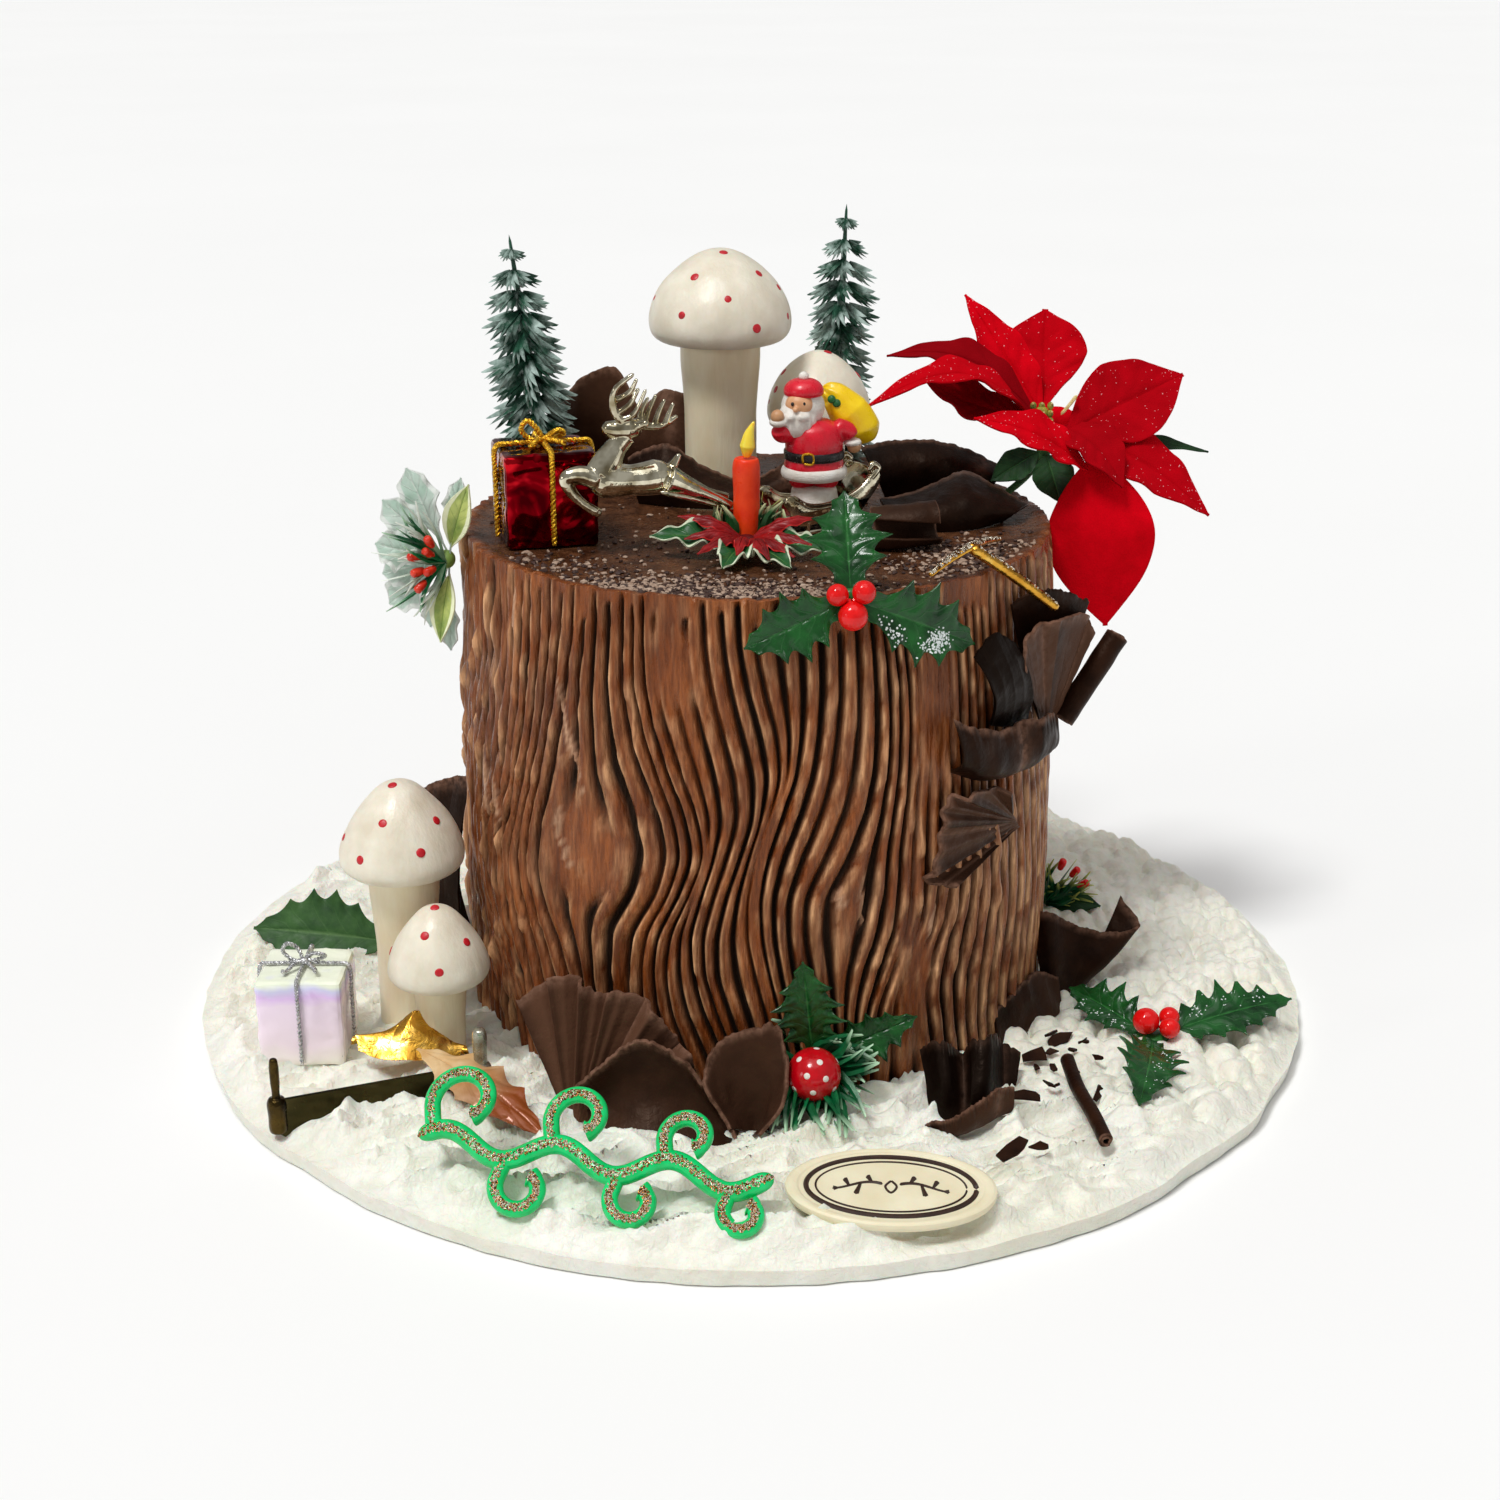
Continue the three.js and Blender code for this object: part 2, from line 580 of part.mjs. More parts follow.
// The bearded figurine in a belted coat, with a sack on the shoulder
const FIGURE = { x: 18.6, y: -11.4, foot: 163.6 };

function figurine(grow) {
  const { x, y, foot } = FIGURE;
  const at = (dx, dy, h) => v(x + dx, y + dy, foot + h);
  const coat = [[0, 9.5], [9.2, 9.5], [9.8, 13], [8.6, 16], [8.8, 20], [7.4, 25], [0, 27]];
  const parts = [
    lathe(coat, 7, at(0, 0, 0), grow),
    ball(at(-3.6, -1, 30), [6.6, 6.2, 6.8], 7, 4, grow),
    ball(at(-5.6, -3, 26.4), [6, 5, 6.4], 6, 4, grow),
    lathe([[0, 0], [6.2, 0], [6.8, 1.6], [5, 4.4], [0, 6.2]], 7, at(-3.2, 0, 33), grow),
    limb([at(-6, -3, 24), at(-10.6, -6.4, 25.4), at(-10.8, -7.4, 28.4)], [3, 2.8, 2.2], 5, grow),
    limb([at(6, 0, 24), at(10.4, 0.6, 22.6), at(11.6, 0.8, 20)], [3, 2.9, 2.4], 5, grow),
  ];
  for (const side of [-3.4, 3.4]) {
    parts.push(limb([at(side, 0, 1.4), at(side, 0, 10.4)], [3.2, 3.6], 5, grow));
    parts.push(ball(at(side - 0.8, -1.2, 1.9), [3.4, 4, 1.9], 6, 3, grow));
  }
  return join(parts);
}

function sack(grow) {
  const { x, y, foot } = FIGURE;
  const path = points([2.6, 9, 34], [6, 9.4, 32], [10.4, 9.6, 27], [14.2, 9.6, 21.5], [14.6, 9.4, 17]);
  return limb(path, [1.6, 4.2, 6.4, 6.2, 2.2], 9, grow).translate([x, y, foot]);
}

add(onTop, "figurine", "painted_figure", figurine);
add(onTop, "sack", "sack", sack);

// The candle pick: candle and flame, a ring of red leaves, pale edged leaves and needles
const CANDLE = { x: -1.4, y: -36, radius: 3.9, low: STAND + 1.2, top: 184.4 };

function needles(hub, tips, thick, grow) {
  const stalk = ball(hub, [2, 2, 2], 5, 3, grow);
  const needle = (tip) => limb([beyond(hub, tip, 1.5), tip], [thick, thick * 0.35], 3, grow);
  return join([stalk, ...tips.map(needle)]);
}

function candleNeedles(grow) {
  const hub = v(CANDLE.x + 1, CANDLE.y + 6.5, STAND + 2.4);
  const tips = [];
  for (let k = 0; k < 4; k++) {
    const a = turn(-40 + 260 * (k / 3));
    const reach = 9 + 5 * hash(k, 7);
    const rise = 9 + 6 * hash(k, 8);
    tips.push(v(hub.x + reach * Math.cos(a), hub.y + 0.55 * reach * Math.sin(a) - 1, hub.z + rise));
  }
  return needles(hub, tips, 0.8, grow);
}

function ringOfLeaves(hub, tips, width, grow) {
  const leaves = tips.map((place) => {
    const tip = v(...place);
    const base = beyond(hub, tip, 2.2);
    return plainLeaf({ base, tip, up: v(0, -0.5, 1), width, arch: 1.6 }, grow);
  });
  return join([ball(hub, [3.2, 3.2, 1.6], 7, 3, grow), ...leaves]);
}

const CANDLE_RED_TIPS = [
  [-21, -42, 168.6], [-15, -61, 162.6], [2, -64, 162.8], [16, -56, 163.6], [19, -42, 168],
];
const CANDLE_GREEN_TIPS = [[-29, -47, 164], [-8, -66, 159.6], [11, -66, 159.8], [22, -50, 160.4]];

function candleStick(g) {
  const { x, y, low, top, radius: r } = CANDLE;
  const high = top - low;
  const profile = [[0, 0], [r, 0], [r * 0.97, high - 1], [r * 0.8, high], [0, high - 0.6]];
  return lathe(profile, 10, v(x, y, low), g);
}

function candleFlame(g) {
  const { x, y, top } = CANDLE;
  const path = points([0, 0, 0], [0.4, 0, 3.4], [0.9, 0, 7], [2.2, 0, 10.6]);
  return limb(path, [0.8, 2.1, 1.7, 0.3], 7, g).translate([x, y, top]);
}

add(onTop, "candle", "candle", candleStick);
add(onTop, "candle_flame", "flame", candleFlame);
add(onTop, "candle_red_leaves", "red_leaf", (g) =>
  ringOfLeaves(v(CANDLE.x, CANDLE.y - 8, STAND + 4.4), CANDLE_RED_TIPS, 6.5, g));
add(onTop, "candle_green_leaves", "green_leaf", (g) =>
  join([
    ringOfLeaves(v(CANDLE.x, CANDLE.y - 8, STAND + 1.2), CANDLE_GREEN_TIPS, 10, g),
    candleNeedles(g),
    limb([v(CANDLE.x - 1, CANDLE.y - 8, STAND + 1.1), v(CANDLE.x - 6.4, CANDLE.y, STAND + 1.2),
      v(CANDLE.x + 1, CANDLE.y + 6.5, STAND + 2)], [1, 1, 1], 3, g),
  ]));

// Holly picks: toothed leaves and a cluster of berries
function berries(hub, list, grow) {
  const parts = list.map(([x, y, z, r]) => ball(v(x, y, z), [r, r, r], 7, 4, grow));
  return join([...parts, ...list.map(([x, y, z]) => limb([hub, v(x, y, z)], [0.9, 0.9], 3, grow))]);
}

const FRONT_HOLLY = [
  { base: v(26.4, -92, 160.4), tip: v(25, -75, 184), up: v(0, -1, 0.45), width: 24, arch: 1.5 },
  { base: v(24.8, -93.2, 158.6), tip: v(-2, -97.2, 146.6), up: v(0, -1, 0.1), width: 21, arch: 1.5 },
  { base: v(28.4, -93.2, 158.4), tip: v(61.4, -76.6, 141.4), up: v(0.5, -0.8, 0.15), width: 21, arch: 2 },
];
const RIGHT_HOLLY = [
  { base: v(119.4, -62.4, 13.4), tip: v(99, -38, 17), up: v(-0.2, -0.5, 1), width: 19, arch: 1.5 },
  { base: v(123, -63, 13.4), tip: v(166, -47, 17.6), up: v(0, -0.6, 1), width: 21, arch: 2.5 },
  { base: v(120.6, -65, 13.3), tip: v(110, -105, 13), up: v(0.3, 0, 1), width: 22, arch: 3 },
];
const FRONT_BERRIES = [
  [22.8, -96.4, 161.2, 3], [29.8, -96.2, 161.9, 3.2], [26.9, -97.6, 155.8, 4],
];
const RIGHT_BERRIES = [[118.4, -64.4, 19, 4], [125.6, -62.6, 19.4, 3.1], [125, -67.4, 18.2, 3.1]];

function hollyPick(leaves, hub, size, grow) {
  return join([ball(hub, size, 8, 4, grow), ...leaves.map((leaf) => hollyLeaf(leaf, grow))]);
}

add(onSide, "holly_front_leaves", "green_leaf", (g) =>
  hollyPick(FRONT_HOLLY, v(26.6, -92.6, 159.2), [4.4, 2, 3.2], g));
add(onSide, "holly_front_berries", "berry", (g) =>
  berries(v(26.6, -97, 159.4), FRONT_BERRIES, g));
add(onCream, "holly_right_leaves", "green_leaf", (g) =>
  hollyPick(RIGHT_HOLLY, v(121, -63.4, 13.4), [5.4, 4.6, 1.8], g));
add(onCream, "holly_right_berries", "berry", (g) =>
  berries(v(122.6, -65, 17), RIGHT_BERRIES, g));
add(onCream, "holly_left_leaf", "green_leaf", (g) =>
  hollyLeaf({ base: v(-119, 2, 14), tip: v(-164, 6, 17), up: v(0, -0.8, 0.62), width: 30, arch: 2.5 }, g));

// The pick with a dotted ball: two leaves and a spray of needles behind the ball
const BALL = { x: 17.7, y: -103, z: 22, radius: 7.7 };

function ballPickGreens(grow) {
  const hub = v(BALL.x, BALL.y + 9.6, BALL.z - 1);
  const tips = [];
  for (let k = 0; k < 7; k++) {
    const a = turn(-205 + 235 * (k / 6));
    const reach = 17 + 7 * hash(k, 21);
    const z = Math.max(hub.z + 0.62 * reach * Math.sin(a), 12);
    tips.push(v(hub.x + reach * Math.cos(a), hub.y - 6 - 9 * hash(k, 22), z));
  }
  const leaves = [
    { base: v(hub.x, hub.y, 22), tip: v(14.4, -97.6, 54.6), up: v(0, -1, 0.1), width: 22 },
    { base: v(hub.x + 1, hub.y, 21.4), tip: v(47.6, -90.4, 34), up: v(0.3, -0.9, 0.25), width: 17 },
  ];
  return join([needles(hub, tips, 0.9, grow), ...leaves.map((leaf) => hollyLeaf(leaf, grow))]);
}

add(onCream, "dotted_ball", "berry", (g) =>
  ball(v(BALL.x, BALL.y, BALL.z), [BALL.radius, BALL.radius, BALL.radius], 11, 7, g));
add(onCream, "ball_pick_greens", "tinsel_green", ballPickGreens);

// The poinsettia: velvet bracts round a green centre, leaves and a stem into the cake
const FLOWER = { x: 91, y: 18, z: 183 };
const BRACTS = [
  { tip: [66, 38, 219], layer: 1, up: [0.3, -1, 0.6], width: 14, arch: 2 },
  { tip: [89, 42, 213.6], layer: -1, up: [0, -1, 0.5], width: 25, arch: -2 },
  { tip: [133, 27, 197], layer: 0, up: [0, -0.8, 1], width: 24, arch: 4 },
  { tip: [34.6, 6, 189.6], layer: 0, up: [0, -0.3, 1], width: 15, arch: 13 },
  { tip: [42, 34, 201.6], layer: -1, up: [0, -0.5, 1], width: 16, arch: 7 },
  { tip: [68.4, -4, 186.4], layer: 1, up: [0, -0.3, 1], width: 15, arch: 4 },
  { tip: [111, -6, 170], layer: 1, up: [0.2, -0.6, 1], width: 19, arch: 5 },
  { tip: [142, 6, 155.6], layer: 0, up: [0.1, -0.8, 1], width: 20, arch: 6 },
  { tip: [113, -3, 122], layer: -1, up: [0, -1, 0.1], width: 33, arch: 8, bow: -5 },
];
const FLOWER_LEAVES = [
  { tip: [143, 24, 173], up: [0, -0.4, 1], width: 10, arch: 3 },
  { tip: [74, 12, 166], up: [0, -1, 0.6], width: 15, arch: 1 },
  { tip: [95, 6, 160.6], up: [0, -1, 0.3], width: 13, arch: 1 },
];

function bracts(grow) {
  const centre = v(FLOWER.x, FLOWER.y, FLOWER.z);
  const petals = BRACTS.map(({ tip, layer, up, ...rest }) => {
    const end = v(...tip);
    const base = beyond(centre, end, 3.4).add(v(0, -1.5, 0.9).multiplyScalar(layer));
    return sheet(leafSurface({ base, tip: end, up: v(...up), cup: 1.5, belly: 0.9, ...rest }),
      4, 2, LEAF, grow);
  });
  return join([ball(centre, [5.2, 4.2, 4.8], 8, 4, grow), ...petals]);
}

function flowerLeaves(grow) {
  const hub = v(FLOWER.x, FLOWER.y + 1, FLOWER.z - 8.5);
  const leaves = FLOWER_LEAVES.map(({ tip, up, ...rest }) => {
    const base = beyond(hub, v(...tip), 1.8);
    return plainLeaf({ base, tip: v(...tip), up: v(...up), ...rest }, grow);
  });
  const stem = limb(
    points([hub.x, hub.y, hub.z], [86, 17, 167], [79, 14, 161.6], [74, 12, 158.6]),
    [1.6, 1.2, 1.1, 1], 5, grow);
  return join([ball(hub, [2.6, 2.6, 2.6], 6, 3, grow), stem, ...leaves]);
}

function flowerCentre(grow) {
  const hub = v(FLOWER.x - 1, FLOWER.y - 4.6, FLOWER.z + 3.6);
  const buds = [];
  for (let k = 0; k < 5; k++) {
    const a = (2 * Math.PI * k) / 5;
    const bud = v(hub.x + 2.7 * Math.cos(a), hub.y - 0.6 + Math.sin(a), hub.z + 2.3 * Math.sin(a));
    buds.push(ball(bud, [1.6, 1.6, 2], 4, 3, grow));
  }
  return join([ball(hub, [2.6, 2, 2.6], 6, 3, grow), ...buds]);
}

add(onTop, "poinsettia_bracts", "velvet", bracts);
add(onTop, "poinsettia_leaves", "green_leaf", flowerLeaves);
add(onTop, "poinsettia_centre", "flower_centre", flowerCentre);

// Needle sprays at the left rim and on the cream at the right rear
const stalked = (hub, list, grow) =>
  list.flatMap(([x, y, z]) => [
    limb([beyond(hub, v(x, y, z), 1.5), v(x, y, z)], [0.6, 0.6], 3, grow),
    ball(v(x, y, z), [1.3, 1.3, 2.2], 5, 3, grow),
  ]);
const LEFT_FRONDS = [
  { tip: [-84.6, -26, 176.1], back: 0 }, { tip: [-101.4, -20, 177.6], back: 3 },
  { tip: [-111, -25, 158], back: 0 }, { tip: [-108.6, -20, 136], back: 3 },
  { tip: [-89.4, -30, 124.6], back: 0 },
];
const LEFT_SPRAY_BERRIES = [[-95.6, -34, 156.4], [-99.4, -35, 150], [-97.4, -34.8, 145]];
const REAR_SPRAY_BERRIES = [[106, 30, 31], [112, 29, 26]];

function leftSpray(grow) {
  const hub = v(-89.4, -25, 151);
  const tips = [];
  for (let k = 0; k < 5; k++) {
    const a = turn(120 + 120 * (k / 4));
    const reach = 17 + 6 * hash(k, 31);
    tips.push(v(hub.x + reach * Math.cos(a), hub.y - 11 - 4 * hash(k, 32), hub.z + reach * Math.sin(a)));
  }
  const fronds = LEFT_FRONDS.map(({ tip, back }) => {
    const end = v(...tip);
    const base = beyond(v(hub.x, hub.y + back, hub.z), end, 2);
    return plainLeaf({ base, tip: end, up: v(-0.3, -1, 0.2), width: 11, arch: 1 }, grow);
  });
  const knot = ball(v(hub.x - 1, hub.y + 1, hub.z), [3, 3.6, 3], 6, 3, grow);
  const front = v(hub.x - 1, hub.y - 2.4, hub.z);
  const fruit = stalked(front, LEFT_SPRAY_BERRIES, grow);
  return join([knot, needles(front, tips, 0.9, grow), ...fruit, ...fronds]);
}

function rearSpray(grow) {
  const hub = v(100.4, 36, 12.6);
  const tips = [];
  for (let k = 0; k < 5; k++) {
    const a = turn(-25 + 150 * (k / 4));
    const reach = 17 + 9 * hash(k, 41);
    tips.push(v(hub.x + reach * Math.cos(a), hub.y - 5 + 10 * hash(k, 42),
      Math.max(hub.z + 0.85 * reach * Math.sin(a), 12)));
  }
  const leaf = { base: hub, tip: v(124, 31, 13), up: v(0, -0.8, 1), width: 10, arch: 2 };
  const fruit = stalked(hub, REAR_SPRAY_BERRIES, grow);
  return join([needles(hub, tips, 0.9, grow), ...fruit, plainLeaf(leaf, grow)]);
}

add(onSide, "spray_left", "tinsel_green", leftSpray);
add(onCream, "spray_rear", "tinsel_green", rearSpray);

// Gold pieces on the left of the cream: the two-handled saw, a curled leaf, a draped leaf
const SAW = { from: [-133.4, -110.4], to: [-78, -92.2], low: SUNK, top: 19, thick: 1.2 };

function saw(grow) {
  const { from, to, low, top, thick } = SAW;
  const [dx, dy] = [to[0] - from[0], to[1] - from[1]];
  const long = Math.hypot(dx, dy);
  const outline = [[-1, low + 2], [long * 0.5, low], [long + 1, low + 2], [long + 1, top + 0.5]];
  outline.push([long * 0.5, top + 1.4], [-1, top]);
  const blade = plate(outline, thick, grow).rotateX(Math.PI / 2).rotateZ(Math.atan2(dy, dx));
  const parts = [fromGeometry(blade.translate(from[0], from[1], 0))];
  for (const [x, y] of [from, to]) {
    const grip = [[0, low], [2.3, low], [2.4, 18.5], [1.6, 19.4], [1.7, 29.4], [0.9, 31], [0, 31]];
    parts.push(lathe(grip, 7, v(x, y, 0), grow));
  }
  return join(parts);
}

const CURLED_LEAF = {
  foot: points([-113.6, -83.4, 12.5], [-106, -86.4, 11.5], [-97, -87, 11.5], [-85, -84, 12]),
  rim: points([-116, -81, 17.4], [-107, -79.6, 21], [-98, -79.4, 28.6], [-91.4, -80, 21.6],
    [-83.6, -81, 16.6]),
  bulge: v(0, 1.6, 2), pleats: 2, depth: 0.9,
};
const DRAPED_LEAF = {
  base: v(-97, -85.6, 20.8), tip: v(-57.6, -118.6, 10.4), up: v(0.1, -0.3, 1), width: 19, arch: 3.6,
  teeth: 3, bite: 0.25, cup: -1,
};

add(onCream, "saw", "dark_mirror", saw);
add(onCream, "gold_leaf", "gold_foil", (g) =>
  sheet(foldSurface(CURLED_LEAF), 12, 2, LEAF, g));
add(onCream, "amber_leaf", "amber_foil", (g) => sheet(leafSurface(DRAPED_LEAF), 6, 2, LEAF, g));

// The glitter flourish: a vine of spirals on one long wave, leaning back out of the cream
const VINE = { x: -91, y: -149, z: 12.6, heading: -10.5, tilt: 42, long: 97, stroke: 1.9 };
const VINE_CURLS = [
  { at: 4, foot: 15, radius: 9.5, side: 1 }, { at: 25, foot: 12, radius: 7.4, side: -1 },
  { at: 37, foot: 14, radius: 8.2, side: 1 }, { at: 56, foot: 10, radius: 6.6, side: -1 },
  { at: 68, foot: 11, radius: 6.8, side: 1 }, { at: 86, foot: 8, radius: 5.6, side: -1 },
];
const vineMiddle = (s) => 13 - 4 * (s / VINE.long) + 3.2 * Math.sin((2 * Math.PI * s) / 31);

function vine(grow) {
  const stroke = VINE.stroke;
  const wave = [];
  for (let s = 0; s <= VINE.long; s += VINE.long / 16) wave.push(v(s, vineMiddle(s), 0));
  const parts = [rod(wave, stroke, 4, 13, grow)];
  for (const { at, radius, side } of VINE_CURLS) {
    const start = v(at, vineMiddle(at), 0);
    const eye = v(at + radius * 0.75, start.y + side * radius * 0.95, 0);
    const spiral = [start];
    for (let k = 0; k <= 6; k++) {
      const a = side * (Math.PI * 1.15 - (k * Math.PI * 1.5) / 6);
      const r = radius * (1 - 0.5 * (k / 6));
      spiral.push(v(eye.x + r * Math.cos(a), eye.y + r * Math.sin(a), 0));
    }
    const swell = spiral.map((p, k) => stroke * (k === spiral.length - 1 ? 1.3 : 0.85));
    parts.push(limb(spiral, swell, 4, grow));
  }
  return join(parts)
    .rotate([VINE.tilt, 0, 0]).rotate([0, 0, VINE.heading]).translate([VINE.x, VINE.y, VINE.z]);
}

add(onCream, "glitter_flourish", "green_glitter", vine);

// The oval plaque: a plain oval of white chocolate with a low raised border
const PLAQUE = { x: 36.8, y: -152.6, z: 14.8, long: 28, wide: 15.5, thick: 3, tilt: 9, heading: -4 };

function plaque(grow) {
  const { x, y, z, long, wide, thick, tilt, heading } = PLAQUE;
  const h = thick / 2;
  const profile = [[0, -h], [0.95, -h], [1, 0], [0.98, h], [0.88, h], [0.86, h - 0.5], [0, h - 0.5]];
  const oval = lathe(profile.map(([r, up]) => [r * wide, up]), 20, v(0, 0, 0), grow);
  return oval.scale([long / wide, 1, 1]).rotate([tilt, 0, heading]).translate([x, y, z]);
}

add(onCream, "oval_plaque", "ivory", plaque);

// The gilded star pick on the right rim: two short arms and a long one
const STAR_HUB = v(60.2, -69.4, 167);
const STAR_ARMS = [[48.3, -78.6, 161.4], [71.8, -39.6, 161.2], [86.6, -57, 145.6]];

add(onTop, "gilded_pick", "gold_foil", (g) =>
  join(STAR_ARMS.map((end) => limb([STAR_HUB, v(...end)], [1.5, 0.8], 4, g))));

// Folded chocolate: shavings on the top, down the right side and round the foot
const SHAVINGS = [
  { name: "fan_front", group: onCream,
    foot: points([-57, -103, 9], [-53, -104.4, 8], [-49, -104, 8]),
    rim: points([-64, -85.6, 42], [-56, -88.6, 49], [-44, -93.6, 46], [-32, -97.6, 44.6],
      [-24, -99.6, 36], [-17, -101, 25]),
    pleats: 5, depth: 1.9 },
  { name: "scoop_front", group: onCream,
    foot: points([-46, -110.6, 9], [-34, -118, 7], [-20, -120.4, 6], [-7, -117.6, 7]),
    rim: points([-52.6, -110.4, 18], [-42, -108.6, 27.6], [-31, -108.4, 35.4], [-18, -109.4, 28.6],
      [-9.4, -113, 17], [-4.4, -118.4, 10.4]),
    bulge: v(2, 6, -1) },
  { name: "cup_front", group: onCream,
    foot: points([-2, -109, 7], [1.5, -106.8, 6.4], [4.6, -109, 6.4], [2, -112, 7], [-1, -112.4, 7]),
    rim: points([-6, -117.6, 12.6], [-12.6, -112, 27], [-9.4, -104.4, 34.4], [1, -101.4, 38.6],
      [7.4, -101.6, 40], [8.6, -106, 31], [6.4, -114.6, 18], [1.4, -119, 12.4]),
    columns: 8 },
  { name: "cluster_right", group: onCream,
    foot: points([51, -102, 6], [58, -105, 6], [66, -103, 6], [73, -95, 6]),
    rim: points([50, -90, 24], [55, -95.4, 27.6], [61, -91, 23], [67, -92.4, 28.6], [72, -85.4, 24],
      [77, -82, 18]),
    bulge: v(0.5, -3, 0), pleats: 2, depth: 1.6 },
  { name: "curl_right", group: onCream,
    foot: points([51.4, -107.4, 8], [57, -109.4, 7.6], [65, -105.6, 8], [72, -100.4, 9]),
    rim: points([49, -112.6, 13], [54.4, -116.6, 15.4], [61, -114.6, 17.4], [68.6, -110.4, 20],
      [73.4, -104.6, 19.6]),
    bulge: v(0.6, -2.4, -2) },
  { name: "cone_right", group: onCream,
    foot: points([92, -33, 8], [96, -31.4, 7], [98.6, -27, 7], [101, -22, 7.6]),
    rim: points([87, -23, 34], [92, -25.4, 37.4], [99, -22, 32.6], [107, -21, 29], [116, -22, 28.6],
      [123, -19, 29.6], [118, -11, 36]),
    bulge: v(1, -2, 0), columns: 8 },
  { name: "strip_right", group: onCream,
    foot: points([74.6, -63.6, 9], [83, -54.6, 8], [92, -44, 8], [97.4, -36.6, 8]),
    rim: points([72.6, -59.6, 20], [80, -50, 21.6], [88.6, -38.6, 22.6], [95.6, -34, 19]),
    columns: 6, pleats: 1, depth: 1 },
  { name: "fan_side_upper", group: onSide,
    foot: points([84, -49.4, 109], [86.6, -46.6, 107.4], [89, -43, 106.4]),
    rim: points([75.6, -68, 131], [77, -67.6, 139.6], [84, -61.6, 143], [91.6, -53, 142.4],
      [99, -42, 138.4], [98.4, -38, 129.6]),
    pleats: 4, depth: 1.5 },
  { name: "plate_side", group: onSide,
    foot: points([67.5, -69, 115], [73.4, -62.3, 112.4], [79, -55.4, 111]),
    rim: points([61.3, -78, 138], [66.6, -75.6, 144], [73.6, -68.6, 139]),
    bulge: v(3, -3, 0) },
  { name: "ruffle_side", group: onSide,
    foot: points([64, -72.4, 100], [71, -64.4, 97.6], [78, -56, 97.4], [83.6, -47, 100]),
    rim: points([55.4, -84, 120], [62, -80, 115.4], [71.2, -73, 114], [79.3, -64.5, 114.6],
      [86, -55, 114], [89, -48, 110]),
    bulge: v(3, -3, -3) },
  { name: "fan_side_lower", group: onSide,
    foot: points([78.6, -54.6, 78], [77.6, -56.4, 80.4], [76.6, -58, 82.6]),
    rim: points([57.6, -80, 69.6], [50.4, -84.6, 74], [53.4, -84.8, 85], [53.8, -84.8, 95.4],
      [62, -80, 98.6], [73.6, -68, 94.6]),
    pleats: 5, depth: 1.7 },
  { name: "ruffle_top_left", group: onTop,
    foot: points([-58, 49, STAND], [-48, 55.4, STAND], [-36, 50, STAND], [-25, 54, STAND],
      [-18, 50, STAND]),
    rim: points([-61.6, 54, 181], [-53.6, 50, 191.4], [-44, 56, 192.6], [-36, 51, 178.6],
      [-28, 55, 185.6], [-18.6, 52, 184]),
    bulge: v(0, -4, 0), columns: 8 },
  { name: "petals_top", group: onTop,
    foot: points([-35, 16, STAND], [-22, 10.6, STAND], [-8, 8, STAND], [8, 12.4, STAND], [18, 20, STAND]),
    rim: points([-38, 22, 171], [-26, 17, 176], [-14, 17.6, 168.6], [0, 17, 165.6], [14, 20, 172],
      [22, 26, 174]),
    bulge: v(0, -3, 2), pleats: 3, depth: 1.5, columns: 12 },
  { name: "ruffle_top_rear", group: onTop,
    foot: points([42, 22, STAND], [52, 26, STAND], [62, 24, STAND], [73, 27, STAND]),
    rim: points([33.6, 27, 171.6], [41, 31, 179.6], [53, 30, 181.6], [64, 31, 179], [74.6, 29, 173],
      [80.6, 30, 168]),
    bulge: v(0, -5, 3), pleats: 2, depth: 1.4, columns: 8 },
  { name: "ruffle_top_front", group: onTop,
    foot: points([45, -14, STAND], [55, -19, STAND], [66, -16, STAND], [76, -6, STAND]),
    rim: points([38.6, 2, 163.6], [47, 1, 169.6], [58, 3.4, 174], [69, 6, 171.6], [79, 5, 168.6],
      [84.4, 2, 163]),
    bulge: v(-1, -7, 1), pleats: 2, depth: 1.3, columns: 8 },
  { name: "ruffle_rear_left", group: onCream,
    foot: points([-97, 4, SUNK], [-104, 12, SUNK], [-99.6, 22, SUNK], [-94, 29, SUNK]),
    rim: points([-92.4, 2, 70], [-97, 8, 77], [-103.4, 15, 69], [-100, 26, 61], [-93, 34, 48]),
    bulge: v(-4, 0, 0), pleats: 2, depth: 1.5 },
];

for (const { name, group, ...shape } of SHAVINGS)
  add(group, `chocolate_${name}`, "chocolate", (g) => shaving(shape, g));

add(onSide, "chocolate_roll_side", "chocolate", (g) =>
  limb(points([91.6, -42, 107], [98.6, -38.6, 117.4], [108, -34, 131]), [3.2, 3.6, 3.2], 8, g));
add(onCream, "chocolate_curl_stick", "chocolate", (g) =>
  rod(points([92.3, -84.7, 17], [93.2, -100.2, 16.4], [95.6, -113.5, 15.6], [97.7, -126.2, 14]),
    2, 6, 6, g));

export default cake;
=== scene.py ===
# %% [markdown]
# # A tree stump cake, dressed for winter
# The real thing is a round chocolate cake combed like bark. It stands in a ring of whipped cream, and carries
# moulded toppers, leaf picks and folded chocolate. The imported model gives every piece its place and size, and
# this lesson makes the surface of each one again, with the detail that the eye expects up close.

